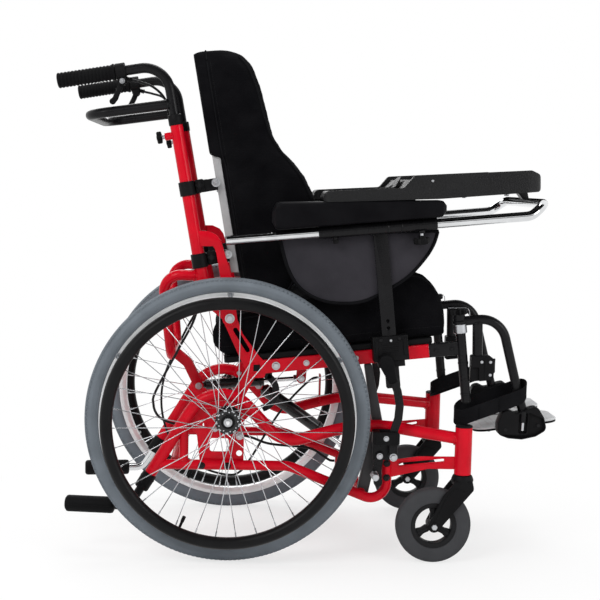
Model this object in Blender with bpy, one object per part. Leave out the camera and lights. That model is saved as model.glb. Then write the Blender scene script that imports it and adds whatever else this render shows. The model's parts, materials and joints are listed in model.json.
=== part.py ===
"""A pediatric positioning wheelchair: a tilt-in-space frame with a reclining back.

Sizes are in metres. X runs forward, Y to the chair's left and Z up. The chair is drawn from a
point on the floor under its rear axle and then moved along X, so that its length is centred.
"""

import math

import bmesh
import bpy
from mathutils import Matrix, Vector

# Gaps and facets
GAP = 0.0003
RUNNING_GAP = 0.0006
BEND_STEP = math.radians(30)
FINE_SIDES = 10
TUBE_SIDES = 8
THIN_SIDES = 6
CABLE_SIDES = 8
SPOKE_SIDES = 3
SHARP_EDGE = math.radians(38)
FLAT_ANGLE = math.radians(0.3)

# Half the seat frame's width: the other widths follow it
SEAT_BAR_HALF = 0.1765

# Rear wheels
WHEEL_RADIUS = 0.280
TYRE_SECTION = 0.036
TYRE_Y = SEAT_BAR_HALF + 0.0485
TYRE_SEAT = WHEEL_RADIUS - 0.0277
RIM_HALF_WIDTH = 0.012
RIM_INNER = TYRE_SEAT - 0.0173
WHEEL_STEPS = 32
HUB_HALF = 0.028
HUB_BARREL = 0.014
HUB_FLANGE = 0.025
HUB_FLANGE_AT = 0.0225
HUB_FLANGE_THICK = 0.003
SPOKES = 36
SPOKE_RADIUS = 0.001
SPOKE_CIRCLE = 0.0222
SPOKE_LEAD = math.radians(54)
AXLE_PIN = 0.006
AXLE_INNER_END = SEAT_BAR_HALF - 0.0265
AXLE_NUT = 0.010
HANDRIM_Y = SEAT_BAR_HALF + 0.0985
HANDRIM_CIRCLE = WHEEL_RADIUS - 0.0465
HANDRIM_TUBE = 0.0125
HANDRIM_STUBS = 6
HANDRIM_STUB_RADIUS = 0.004

# Casters
CASTER_RADIUS = 0.075
CASTER_WIDTH = 0.030
CASTER_BORE = 0.0045
CASTER_STEPS = 20
FORK_X = 0.467
FORK_Y = SEAT_BAR_HALF + 0.0405
CASTER_X = 0.411
FORK_WIDTH = 0.043
FORK_ROOM = CASTER_WIDTH / 2 + 0.0015
FORK_CROWN_TOP = 0.1762
FORK_CROWN_RADIUS = 0.019
FORK_STEM = 0.010
FORK_STEM_TOP = 0.2500
HEAD_TUBE = 0.017
HEAD_BOTTOM = 0.177
HEAD_TOP = 0.272

# Side frames
FRAME_Y = SEAT_BAR_HALF + 0.0085
MAIN_TUBE = 0.012
LOWER_TUBE = 0.010
STRUT_TUBE = 0.009
LOWER_Z = 0.182
PLATE_NEAR = SEAT_BAR_HALF - 0.0045
PLATE_FAR = SEAT_BAR_HALF + 0.0005
GUSSET_THICK = 0.004
CROSS_TUBE = 0.010
REAR_CROSS_X = -0.105
FRONT_CROSS_X = 0.268
FRONT_CROSS_Z = 0.1255
TIP_TUBE = 0.0085
TIP_GRIP = 0.0165
TILT_X = 0.020
TILT_Z = 0.319
TILT_PIN = 0.005
TILT_PIN_INNER = SEAT_BAR_HALF - 0.0285
MAIN_REAR = (-0.153, 0.163)
MAIN_ARCH = (-0.026, 0.370)
REST_NEAR = SEAT_BAR_HALF - 0.0265
REST_FAR = SEAT_BAR_HALF - 0.0065

# Parking brakes
BRAKE_PLATE_NEAR = SEAT_BAR_HALF + 0.0208
BRAKE_PLATE_FAR = SEAT_BAR_HALF + 0.0258
BRAKE_LEVER_X = 0.327
BRAKE_LEVER_Z = 0.211
BRAKE_LEVER_NEAR = SEAT_BAR_HALF + 0.047
BRAKE_LEVER_FAR = SEAT_BAR_HALF + 0.052
BRAKE_SHOE_X = 0.302
BRAKE_SHOE_Z = 0.209
BRAKE_SHOE_NEAR = SEAT_BAR_HALF + 0.027
BRAKE_SHOE_FAR = SEAT_BAR_HALF + 0.032
BRAKE_PIN = 0.004
BRAKE_PEG = 0.007

# Seat
SEAT_SLOPE = math.radians(6.6)
SEAT_REF_X = 0.049
SEAT_REF_Z = 0.3765
RAIL_NEAR = SEAT_BAR_HALF - 0.0185
RAIL_FAR = SEAT_BAR_HALF - 0.0015
RAIL_HALF = 0.0135
RAIL_FRONT = 0.352
RAIL_REAR = 0.012
SEAT_BAR = 0.020
LINK_NEAR = SEAT_BAR_HALF - 0.0075
LINK_FAR = SEAT_BAR_HALF - 0.002
TILT_LUG_NEAR = SEAT_BAR_HALF - 0.0265
TILT_LUG_FAR = SEAT_BAR_HALF - 0.019
PAN_LOW = 0.0138
PAN_HIGH = 0.0258
PAN_HALF = SEAT_BAR_HALF - 0.0085
PAN_REAR = -0.058
PAN_FRONT = 0.362
CUSHION_HALF = SEAT_BAR_HALF - 0.0115
CUSHION_EDGE_HEIGHT = 0.135
CUSHION_CROWN = 0.013
CUSHION_CHANNEL = 0.007
CUSHION_BACK_D = -0.0775
CUSHION_FRONT_D = 0.3925
CUSHION_UNDER = PAN_HIGH + 0.0004
RECLINE_X = -0.001
RECLINE_Z = 0.475
RECLINE_PIN = 0.005
TONGUE_THICK = 0.0120
TONGUE_HEIGHT = 0.0220
TONGUE_LENGTH = 0.080
RECLINE_BAR_D = 0.105
FRONT_BAR_D = 0.300

# Gas springs of tilt and recline
TILT_SPRING_Y = 0.045
TILT_TOP_X = 0.062
TILT_TOP_Z = 0.309
TILT_LOW_X = 0.255
TILT_LOW_Z = 0.175
TILT_CYLINDER = 0.0135
TILT_CYLINDER_LENGTH = 0.165
TILT_CYLINDER_BORE = 0.0085
TILT_ROD = 0.0055
TILT_ROD_LENGTH = 0.122
RECLINE_SPRING_Y = -0.030
RECLINE_BACK_X = -0.064
RECLINE_BACK_Z = 0.318
RECLINE_SEAT_X = 0.150
RECLINE_SEAT_Z = 0.337
RECLINE_CYLINDER = 0.0105
RECLINE_CYLINDER_LENGTH = 0.137
RECLINE_CYLINDER_BORE = 0.0072
RECLINE_ROD = 0.0045
RECLINE_ROD_LENGTH = 0.127
SPRING_EYE = 0.010
SPRING_EYE_WIDTH = 0.012
SPRING_PIN = 0.004
EAR_THICK = 0.004

# Back
POST_Y = SEAT_BAR_HALF - 0.0045
POST_TUBE = 0.0125
POST_SLOPE = 0.188
POST_X = -0.057
POST_Z = 0.554
POST_LOW = 0.512
POST_TOP = 0.873
ARCH_NEAR = SEAT_BAR_HALF - 0.0012
ARCH_FAR = SEAT_BAR_HALF + 0.0048
HOOP_TUBE = 0.0105
HOOP_SPAN = SEAT_BAR_HALF - 0.0565
BOARD_HALF = SEAT_BAR_HALF - 0.0215
BOARD_THICK = 0.016
BOARD_LOW = 0.565
BOARD_TOP = 0.960
BOARD_X = -0.002
BOARD_SLOPE = 0.1839
BOARD_AT = 0.574
CLAMP_OUTER = 0.0155
CLAMP_HEIGHT = 0.028
CLAMP_LEVELS = (0.588, 0.729)
BACK_HALF = SEAT_BAR_HALF - 0.0115
BACK_CENTRE_THICK = 0.085
BACK_SCOOP_HALF = SEAT_BAR_HALF - 0.0565
FLAP_Z = 0.797
FLAP_THICK = 0.003
WING = (
    (0.500, 0.110), (0.540, 0.130), (0.580, 0.150), (0.620, 0.165), (0.660, 0.172),
    (0.713, 0.165), (0.756, 0.145), (0.783, 0.124), (0.812, 0.098), (0.839, 0.079),
    (0.881, 0.065), (0.934, 0.050), (0.970, 0.036), (0.990, 0.016), (1.000, -0.012),
)

# Push handle
HANDLE_TUBE = 0.010
HANDLE_BOTTOM = 0.700
GRIP_TUBE = 0.015
GRIP_FRONT = -0.2332
GRIP_REAR = -0.345
U_BAR = 0.0100
LEVER_X = -0.219
LEVER_Z = 0.935

# Arm supports
ARM_Y = SEAT_BAR_HALF + 0.0415
ARM_SLEEVE = 0.012
ARM_SLOPE = 0.1027
ARM_X = -0.011
ARM_Z = 0.631
ARM_REAR = 0.168
ARM_FRONT = 0.400
UPRIGHT_D = 0.2713
UPRIGHT_HALF = 0.014
UPRIGHT_NEAR = SEAT_BAR_HALF + 0.0235
UPRIGHT_FAR = SEAT_BAR_HALF + 0.0315
PANEL_NEAR = SEAT_BAR_HALF + 0.0045
PANEL_FAR = SEAT_BAR_HALF + 0.0231
PAD_NEAR = SEAT_BAR_HALF + 0.0195
PAD_FAR = SEAT_BAR_HALF + 0.0735
RECEIVER_NEAR = RAIL_FAR + GAP
RECEIVER_FAR = SEAT_BAR_HALF + 0.038

# Tray
TRAY_TUBE = 0.0095
TRAY_HALF = SEAT_BAR_HALF + 0.0685
TRAY_FRONT = 0.602
TRAY_REAR = 0.172
BELLY_HALF = 0.125
BELLY_FRONT = 0.335
TRAY_RIM = 0.015

# Footrests
HANGER_Y = SEAT_BAR_HALF - 0.0065
PIVOT_D = 0.4186
PIVOT_TUBE = 0.010
PIVOT_PIN = 0.006
PIVOT_COLLAR_LOW = 0.0297
HANGER_BOX_END = PIVOT_D - 0.0066
HANGER_TUBE = 0.0095
FOOT_TUBE = 0.0103
FOOT_NEAR = 0.012
FOOT_FAR = SEAT_BAR_HALF - 0.0315
FOOT_REAR = 0.500
FOOT_FRONT = 0.672
FOOT_THICK = 0.008
FOOT_PITCH = math.radians(8.6)
FOOT_HINGE_X = 0.588
FOOT_HINGE_Z = 0.270
FOOT_PIN = 0.0035
FOOT_HINGE_Y = SEAT_BAR_HALF - 0.0305
FOOT_EAR = 0.007
EAR_REAR = (0.548, 0.5562)
EAR_FRONT = (0.6198, 0.628)
FOOT_FRONT_LOCAL = FOOT_HINGE_X + (FOOT_FRONT - FOOT_HINGE_X) / math.cos(FOOT_PITCH)

# Brake cables
CABLE = 0.0025

# The rear axle lies here once the length is centred on the origin
AXLE_X = -(FOOT_FRONT + GRIP_REAR) / 2

SIDES = (("R", -1), ("L", 1))

RED = ("red_enamel", (0.68, 0.004, 0.022), 0.28, 0.0)
TYRE_GREY = ("grey_tyre", (0.16, 0.19, 0.21), 0.75, 0.0)
BLACK = ("black_plastic", (0.018, 0.018, 0.020), 0.5, 0.0)
RUBBER = ("black_rubber", (0.015, 0.015, 0.016), 0.7, 0.0)
CHARCOAL = ("charcoal_panel", (0.045, 0.042, 0.045), 0.6, 0.0)
GREY_BOARD = ("grey_board", (0.22, 0.22, 0.22), 0.55, 0.0)
DARK_METAL = ("dark_coated_metal", (0.05, 0.05, 0.055), 0.45, 0.6)
CHROME = ("chrome", (0.72, 0.72, 0.74), 0.12, 1.0)
STEEL = ("brushed_steel", (0.55, 0.56, 0.58), 0.32, 1.0)
FOOT_GREY = ("pale_grey_plastic", (0.40, 0.41, 0.43), 0.45, 0.0)
FABRIC = ("black_fabric", (0.02, 0.02, 0.022), 0.9, 0.0)


def clear_scene():
    for thing in list(bpy.data.objects):
        bpy.data.objects.remove(thing)


def material(look):
    name, colour, roughness, metallic = look
    made = bpy.data.materials.get(name)
    if made is None:
        made = bpy.data.materials.new(name)
        made.use_nodes = True
        shader = made.node_tree.nodes["Principled BSDF"]
        shader.inputs["Base Color"].default_value = (*colour, 1.0)
        shader.inputs["Roughness"].default_value = roughness
        shader.inputs["Metallic"].default_value = metallic
    return made


def body(name, x, y, z, parent=None):
    """An empty on a joint's axis. What moves together hangs from it."""
    empty = bpy.data.objects.new(name, None)
    bpy.context.collection.objects.link(empty)
    place = Vector((x + AXLE_X, y, z))
    empty["place"] = place
    empty.parent = parent
    empty.location = place - Vector(parent["place"]) if parent else place
    return empty


def plain_faces(mesh):
    """Joins the flat faces that Booleans split, where the solid stays closed without the split."""
    work = bmesh.new()
    work.from_mesh(mesh)
    bmesh.ops.dissolve_limit(
        work, angle_limit=FLAT_ANGLE, verts=work.verts, edges=work.edges, use_dissolve_boundaries=False
    )
    bmesh.ops.triangulate(work, faces=work.faces)
    if all(edge.is_manifold for edge in work.edges):
        work.to_mesh(mesh)
    work.free()


def part(name, mesh, carrier, look):
    """A finished sub-part."""
    plain_faces(mesh)
    place(name, mesh, carrier, look)


def place(name, mesh, carrier, look):
    """Moves the mesh from the drawing's frame to its body's axis and hangs it there."""
    mesh.transform(Matrix.Translation(Vector((AXLE_X, 0, 0)) - Vector(carrier["place"])))
    mesh.name = name
    mesh.materials.clear()
    mesh.materials.append(material(look))
    mesh.shade_smooth()
    mesh.set_sharp_from_angle(angle=SHARP_EDGE)
    made = bpy.data.objects.new(name, mesh)
    bpy.context.collection.objects.link(made)
    made.parent = carrier


def tidy(mesh):
    """Joins points that coincide and turns every face outwards."""
    work = bmesh.new()
    work.from_mesh(mesh)
    bmesh.ops.remove_doubles(work, verts=work.verts, dist=1e-6)
    bmesh.ops.recalc_face_normals(work, faces=work.faces)
    work.to_mesh(mesh)
    work.free()
    return mesh


def mesh_of(data):
    """The mesh of a curve, as its object would show it."""
    holder = bpy.data.objects.new("holder", data)
    bpy.context.collection.objects.link(holder)
    graph = bpy.context.evaluated_depsgraph_get()
    mesh = bpy.data.meshes.new_from_object(holder.evaluated_get(graph))
    bpy.data.objects.remove(holder)
    return tidy(mesh)


def joined(meshes):
    """Separate solids held in one mesh, which then cut or join as one."""
    work = bmesh.new()
    for mesh in meshes:
        work.from_mesh(mesh)
    both = bpy.data.meshes.new("joined")
    work.to_mesh(both)
    work.free()
    return both


def combine(base, tools, operation):
    holder = bpy.data.objects.new("holder", base)
    bpy.context.collection.objects.link(holder)
    cutters = []
    for tool in tools:
        cutter = bpy.data.objects.new("cutter", tool)
        bpy.context.collection.objects.link(cutter)
        cutters.append(cutter)
        modifier = holder.modifiers.new("combine", "BOOLEAN")
        modifier.operation = operation
        modifier.object = cutter
        modifier.solver = "EXACT"
    graph = bpy.context.evaluated_depsgraph_get()
    mesh = bpy.data.meshes.new_from_object(holder.evaluated_get(graph))
    for helper in (holder, *cutters):
        bpy.data.objects.remove(helper)
    return mesh


def fuse(base, *tools):
    return combine(base, tools, "UNION")


def cut(base, *tools):
    return combine(base, tools, "DIFFERENCE")


def common(base, *tools):
    return combine(base, tools, "INTERSECT")


def mirrored(mesh):
    """The same solid on the other side of the chair."""
    other = mesh.copy()
    other.transform(Matrix.Scale(-1, 4, Vector((0, 1, 0))))
    other.flip_normals()
    return other


def rounded(corners, radii):
    """Points along straight runs through the corners, with each inner corner bent to its radius."""
    corners = [Vector(corner) for corner in corners]
    points = [corners[0]]
    for before, corner, after, radius in zip(corners, corners[1:], corners[2:], radii):
        inward = (corner - before).normalized()
        onward = (after - corner).normalized()
        angle = inward.angle(onward)
        if radius == 0 or angle < 1e-4:
            points.append(corner)
            continue
        side = (onward - inward * inward.dot(onward)).normalized()
        start = corner - inward * radius * math.tan(angle / 2)
        centre = start + side * radius
        steps = max(2, math.ceil(angle / BEND_STEP))
        for step in range(steps + 1):
            turn = angle * step / steps
            points.append(centre + (inward * math.sin(turn) - side * math.cos(turn)) * radius)
    points.append(corners[-1])
    return points


def pipe(points, radius, sides=TUBE_SIDES, closed=False):
    """A round bar through the points, with flat ends."""
    curve = bpy.data.curves.new("pipe", "CURVE")
    curve.dimensions = "3D"
    curve.bevel_depth = radius
    curve.bevel_resolution = (sides - 4) // 2
    curve.use_fill_caps = not closed
    spline = curve.splines.new("POLY")
    spline.points.add(len(points) - 1)
    for spot, point in zip(spline.points, points):
        spot.co = (*point, 1)
    spline.use_cyclic_u = closed
    return mesh_of(curve)


def plate(outline, near, far, holes=()):
    """A flat plate whose outline lies in X and Z, from one Y to the other."""
    curve = bpy.data.curves.new("plate", "CURVE")
    curve.dimensions = "2D"
    curve.fill_mode = "BOTH"
    curve.extrude = abs(far - near) / 2
    for loop in (outline, *holes):
        spline = curve.splines.new("POLY")
        spline.points.add(len(loop) - 1)
        for spot, (x, z) in zip(spline.points, loop):
            spot.co = (x, z, 0, 1)
        spline.use_cyclic_u = True
    mesh = mesh_of(curve)
    mesh.transform(Matrix.Translation((0, (near + far) / 2, 0)) @ Matrix.Rotation(math.pi / 2, 4, "X"))
    return mesh


def circle(x, z, radius, steps=FINE_SIDES):
    turns = [2 * math.pi * (step + 0.5) / steps for step in range(steps)]
    return [(x + radius * math.cos(turn), z + radius * math.sin(turn)) for turn in turns]


def slot(start, end, width, steps=6):
    """A long hole with round ends from one point to another in X and Z."""
    (x1, z1), (x2, z2) = start, end
    along = math.atan2(z2 - z1, x2 - x1)
    loop = []
    for (x, z), first in (((x2, z2), along - math.pi / 2), ((x1, z1), along + math.pi / 2)):
        for step in range(steps + 1):
            turn = first + math.pi * step / steps
            loop.append((x + width / 2 * math.cos(turn), z + width / 2 * math.sin(turn)))
    return loop


def block(low, high):
    """A box between two corners."""
    work = bmesh.new()
    bmesh.ops.create_cube(work, size=1)
    size = Vector(high) - Vector(low)
    middle = (Vector(high) + Vector(low)) / 2
    for vert in work.verts:
        vert.co = Vector(a * b for a, b in zip(vert.co, size)) + middle
    mesh = bpy.data.meshes.new("block")
    work.to_mesh(mesh)
    work.free()
    return mesh


def turned(profile, start, end, steps):
    """A solid of revolution: (distance along the axis, radius) pairs, spun about start to end."""
    start, end = Vector(start), Vector(end)
    work = bmesh.new()
    rings = []
    for along, radius in profile:
        ring = []
        for step in range(steps):
            turn = 2 * math.pi * step / steps
            ring.append(work.verts.new((radius * math.cos(turn), radius * math.sin(turn), along)))
        rings.append(ring)
    for ring, following in zip(rings, rings[1:] + rings[:1]):
        for step in range(steps):
            after = (step + 1) % steps
            work.faces.new((ring[step], ring[after], following[after], following[step]))
    mesh = bpy.data.meshes.new("turned")
    work.to_mesh(mesh)
    work.free()
    mesh.transform(facing(start, end))
    return tidy(mesh)


def facing(start, end):
    """Turns +Z to the way from start to end and moves the origin to start."""
    direction = end - start
    return Matrix.Translation(start) @ direction.to_track_quat("Z", "Y").to_matrix().to_4x4()


def rod(start, end, radius, sides=TUBE_SIDES):
    """A straight round bar."""
    start, end = Vector(start), Vector(end)
    work = bmesh.new()
    bmesh.ops.create_cone(
        work, cap_ends=True, segments=sides, radius1=radius, radius2=radius, depth=(end - start).length
    )
    mesh = bpy.data.meshes.new("rod")
    work.to_mesh(mesh)
    work.free()
    mesh.transform(facing(start, end) @ Matrix.Translation((0, 0, (end - start).length / 2)))
    return mesh


def across(x, z, near, far, radius, sides=TUBE_SIDES):
    """A round bar that runs along Y."""
    return rod((x, near, z), (x, far, z), radius, sides)


def bore(x, z, near, far, radius, sides=TUBE_SIDES):
    """A cutter along Y whose flats, not its corners, clear the radius."""
    return across(x, z, near - 0.002, far + 0.002, (radius + GAP) / math.cos(math.pi / sides), sides)


def seat_point(d, h):
    """A point d forward and h up along the sloping seat, in X and Z."""
    x = SEAT_REF_X + d * math.cos(SEAT_SLOPE) - h * math.sin(SEAT_SLOPE)
    z = SEAT_REF_Z + d * math.sin(SEAT_SLOPE) + h * math.cos(SEAT_SLOPE)
    return x, z


def seat_block(d_from, d_to, h_from, h_to, near, far):
    """A box square to the seat's slope."""
    corners = ((d_from, h_from), (d_to, h_from), (d_to, h_to), (d_from, h_to))
    return plate([seat_point(d, h) for d, h in corners], near, far)


def post_x(z):
    """Where the back post's middle line is at this height."""
    return POST_X - (z - POST_Z) * POST_SLOPE


def arm_z(x):
    """Where the arm sleeve's middle line is at this X."""
    return ARM_Z + ARM_SLOPE * (x - ARM_X)


def board_x(z):
    """The back board's rear face at this height."""
    return BOARD_X - (z - BOARD_AT) * BOARD_SLOPE


def flats_at(radius, steps):
    """The corner radius of a many-sided wheel whose flats, not its corners, reach the radius."""
    return radius / math.cos(math.pi / steps)


def about_y(x, y, z):
    """Two points that set an axis along Y."""
    return (x, y, z), (x, y + 1, z)


def rear_tyre():
    """The pneumatic tyre: a round section, flat where it sits on the rim."""
    section = TYRE_SECTION / 2
    middle = WHEEL_RADIUS - section
    seat = math.asin((middle - TYRE_SEAT) / section)
    arc_steps = 6
    profile = []
    for step in range(arc_steps + 1):
        turn = -seat + (math.pi + 2 * seat) * step / arc_steps
        radius = middle + section * math.sin(turn)
        profile.append((section * math.cos(turn), flats_at(radius, WHEEL_STEPS)))
    return turned(profile, *about_y(0, -TYRE_Y, WHEEL_RADIUS), WHEEL_STEPS)


def rim():
    outer = flats_at(TYRE_SEAT - GAP, WHEEL_STEPS)
    inner = flats_at(RIM_INNER, WHEEL_STEPS)
    side = outer - 0.009
    profile = [(RIM_HALF_WIDTH, outer), (RIM_HALF_WIDTH, side), (RIM_HALF_WIDTH / 2, inner)]
    profile += [(-along, radius) for along, radius in reversed(profile)]
    return turned(profile, *about_y(0, -TYRE_Y, WHEEL_RADIUS), WHEEL_STEPS)


def hub():
    steps = 12
    hole = flats_at(AXLE_PIN + RUNNING_GAP, steps)
    flange_in = HUB_FLANGE_AT - HUB_FLANGE_THICK / 2
    flange_out = HUB_FLANGE_AT + HUB_FLANGE_THICK / 2
    waist = HUB_BARREL - 0.0015
    profile = [(HUB_HALF, hole), (HUB_HALF, waist), (flange_out, HUB_BARREL)]
    profile += [(flange_out, HUB_FLANGE), (flange_in, HUB_FLANGE), (flange_in, waist)]
    profile += [(-along, radius) for along, radius in reversed(profile)]
    return turned(profile, *about_y(0, -TYRE_Y, WHEEL_RADIUS), steps)


def spokes():
    """Crossed spokes: each flange carries leading ones outside and trailing ones inside."""
    lines = []
    for number in range(SPOKES):
        flange = 1 if number % 2 else -1
        lead = 1 if (number // 2) % 2 else -1
        rim_turn = 2 * math.pi * (number + 0.5) / SPOKES
        hub_turn = rim_turn + lead * SPOKE_LEAD
        hub_y = flange * (HUB_FLANGE_AT + lead * (HUB_FLANGE_THICK / 2 + SPOKE_RADIUS * 0.5))
        rim_y = flange * (0.003 + lead * 0.0015)
        rim_end = RIM_INNER + 0.0015
        near = (SPOKE_CIRCLE * math.cos(hub_turn), hub_y, SPOKE_CIRCLE * math.sin(hub_turn))
        far = (rim_end * math.cos(rim_turn), rim_y, rim_end * math.sin(rim_turn))
        lines.append(rod(near, far, SPOKE_RADIUS * 1.2, SPOKE_SIDES))
    bundle = joined(lines)
    bundle.transform(Matrix.Translation((0, -TYRE_Y, WHEEL_RADIUS)))
    return bundle


def rear_wheel():
    return fuse(rim(), spokes(), hub())


def handrim():
    """The push ring, with stubs that meet the side of the rim."""
    centre = Vector((0, -HANDRIM_Y, WHEEL_RADIUS))
    ring = []
    for step in range(WHEEL_STEPS):
        turn = 2 * math.pi * (step + 0.5) / WHEEL_STEPS
        ring.append(centre + Vector((math.cos(turn), 0, math.sin(turn))) * HANDRIM_CIRCLE)
    stub_radius = flats_at(TYRE_SEAT - GAP, WHEEL_STEPS) - 0.0052
    stub_y = HANDRIM_Y - TYRE_Y - RIM_HALF_WIDTH - GAP
    stubs = []
    for number in range(HANDRIM_STUBS):
        turn = 2 * math.pi * (number + 0.5) / HANDRIM_STUBS
        out = Vector((math.cos(turn), 0, math.sin(turn)))
        seat = centre + out * stub_radius + Vector((0, stub_y, 0))
        knee = seat - Vector((0, 0.008, 0))
        stubs.append(pipe([seat, knee, centre + out * HANDRIM_CIRCLE], HANDRIM_STUB_RADIUS, THIN_SIDES))
    return fuse(pipe(ring, HANDRIM_TUBE, THIN_SIDES, closed=True), joined(stubs))


def axle():
    """The quick-release axle with its inner nut and outer button."""
    z = WHEEL_RADIUS
    hub_end = TYRE_Y + HUB_HALF + RUNNING_GAP
    pin = across(0, z, -AXLE_INNER_END, -hub_end - 0.006, AXLE_PIN)
    nut = across(0, z, -AXLE_INNER_END, -AXLE_INNER_END - 0.0145, AXLE_NUT, 6)
    head = across(0, z, -hub_end, -hub_end - 0.004, 0.0085, FINE_SIDES)
    button = across(0, z, -hub_end - 0.002, -hub_end - 0.0085, 0.0045, THIN_SIDES)
    return fuse(pin, nut, head, button)


def caster_fork():
    """The one-piece fork: crown, two raked arms, stem and wheel bolt."""
    eye = 0.012
    axle_z = CASTER_RADIUS
    rear = math.radians(155)
    sweep = math.radians(180)
    arc = []
    for step in range(7):
        turn = rear + sweep * step / 6
        arc.append((CASTER_X + eye * math.cos(turn), axle_z + eye * math.sin(turn)))
    crown_z = FORK_CROWN_TOP - 0.011
    outline = [(FORK_X - 0.022, crown_z), (FORK_X - 0.040, crown_z - 0.029)]
    outline += [*arc, (FORK_X + 0.022, crown_z - 0.016), (FORK_X + 0.020, crown_z)]
    near, far = -FORK_Y - FORK_WIDTH / 2, -FORK_Y + FORK_WIDTH / 2
    arms = plate(outline, near, far)
    room = across(
        CASTER_X, axle_z, -FORK_Y - FORK_ROOM, -FORK_Y + FORK_ROOM, CASTER_RADIUS + 0.007, CASTER_STEPS
    )
    arms = cut(arms, room)
    crown = rod((FORK_X, -FORK_Y, crown_z - 0.004), (FORK_X, -FORK_Y, FORK_CROWN_TOP), FORK_CROWN_RADIUS, 16)
    stem = rod((FORK_X, -FORK_Y, crown_z), (FORK_X, -FORK_Y, FORK_STEM_TOP), FORK_STEM)
    bolt = across(CASTER_X, axle_z, near + 0.001, far - 0.001, 0.004)
    heads = []
    for y, way in ((near, -1), (far, 1)):
        heads.append(across(CASTER_X, axle_z, y - way * 0.001, y + way * 0.005, 0.007, 6))
    return fuse(arms, crown, stem, bolt, *heads)


def caster_wheel():
    """The solid tyre on a three-spoke centre."""
    centre = about_y(CASTER_X, -FORK_Y, CASTER_RADIUS)
    half = CASTER_WIDTH / 2
    shoulder = CASTER_RADIUS - 0.009
    ring_inner, ring_outer = 0.036, 0.047
    profile = [(half - 0.005, ring_inner), (half - 0.005, ring_outer), (half, ring_outer + 0.004)]
    profile += [(half, shoulder), (half - 0.006, CASTER_RADIUS)]
    profile += [(-along, radius) for along, radius in reversed(profile)]
    profile = [(along, flats_at(radius, CASTER_STEPS)) for along, radius in profile]
    tyre = turned(profile, *centre, CASTER_STEPS)
    core_radius = 0.012
    core_half = FORK_ROOM - RUNNING_GAP
    core = across(CASTER_X, CASTER_RADIUS, -FORK_Y - core_half, -FORK_Y + core_half, core_radius)
    arms = []
    for number in range(3):
        arm = block((-0.006, -0.007, core_radius - 0.004), (0.006, 0.007, ring_inner + 0.003))
        arm.transform(Matrix.Rotation(2 * math.pi * number / 3, 4, "Y"))
        arms.append(arm)
    spider = joined(arms)
    spider.transform(Matrix.Translation((CASTER_X, -FORK_Y, CASTER_RADIUS)))
    hole = bore(CASTER_X, CASTER_RADIUS, -FORK_Y - core_half, -FORK_Y + core_half, CASTER_BORE)
    return cut(fuse(tyre, core, spider), hole)


def ribbon(points, half_width):
    """The outline of a bent flat bar with round ends, along points in X and Z."""
    points = [Vector(point) for point in points]
    left, right = [], []
    for number, point in enumerate(points):
        before = points[max(number - 1, 0)]
        after = points[min(number + 1, len(points) - 1)]
        along = (after - before).normalized()
        across_way = Vector((-along.y, along.x)) * half_width
        left.append(point + across_way)
        right.append(point - across_way)
    loop = []
    for row, end, before in ((left, points[-1], points[-2]), (right[::-1], points[0], points[1])):
        loop += row
        along = (end - before).normalized()
        aside = Vector((-along.y, along.x))
        for turn in (math.radians(30), math.radians(0), math.radians(-30)):
            loop.append(end + (along * math.cos(turn) + aside * math.sin(turn)) * half_width)
    return [(spot.x, spot.y) for spot in loop]


def eye(x, z, y):
    """The ring at the end of a gas spring, round its pin."""
    half = SPRING_EYE_WIDTH / 2
    return across(x, z, y - half, y + half, SPRING_EYE, FINE_SIDES)


def eye_bore(x, z, y):
    half = SPRING_EYE_WIDTH / 2
    return bore(x, z, y - half, y + half, SPRING_PIN)


def ears(line, y):
    """Two lugs beside a gas spring's eye, along a line that ends at the pin through them."""
    inner = SPRING_EYE_WIDTH / 2 + RUNNING_GAP
    outline = ribbon(line, SPRING_EYE)
    lugs = [
        plate(outline, y + inner, y + inner + EAR_THICK),
        plate(outline, y - inner - EAR_THICK, y - inner),
    ]
    reach = inner + EAR_THICK + 0.002
    pin = across(*line[-1], y - reach, y + reach, SPRING_PIN)
    return [*lugs, pin]


def main_tube_path():
    y = -FRAME_Y
    corners = [(MAIN_REAR[0], y, MAIN_REAR[1]), (MAIN_ARCH[0], y, MAIN_ARCH[1])]
    corners += [(0.109, y, 0.227), (0.267, y, 0.271), (0.335, y, 0.2629), (FORK_X, -FORK_Y, 0.2471)]
    return rounded(corners, (0.073, 0.065, 0.30, 0.06))


def lower_tube_path():
    y = -FRAME_Y
    rear_x = MAIN_REAR[0] + (LOWER_Z - MAIN_REAR[1]) * 0.614
    corners = [(rear_x, y, LOWER_Z), (0.122, y, LOWER_Z), (0.320, y, 0.105), (0.318, y, 0.262)]
    return rounded(corners, (0.06, 0.032))


def tube_end_axis():
    """The rear end of the main tube and the way it points down."""
    end = Vector((MAIN_REAR[0], -FRAME_Y, MAIN_REAR[1]))
    arch = Vector((MAIN_ARCH[0], -FRAME_Y, MAIN_ARCH[1]))
    return end, (end - arch).normalized()


def axle_plate():
    outline = [(-0.055, LOWER_Z), (-0.062, 0.240), (-0.080, 0.258), (-0.0923, 0.262)]
    outline += [(-0.0727, 0.294), (0.0457, 0.294), (0.0457, 0.285), (0.032, 0.270), (0.032, LOWER_Z)]
    window = [(-0.036, 0.207), (0.002, 0.207), (0.002, 0.234), (-0.036, 0.234)]
    holes = (circle(-0.045, 0.260, 0.006), circle(0.023, 0.204, 0.006), window)
    return plate(outline, -PLATE_NEAR, -PLATE_FAR, holes)


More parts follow.
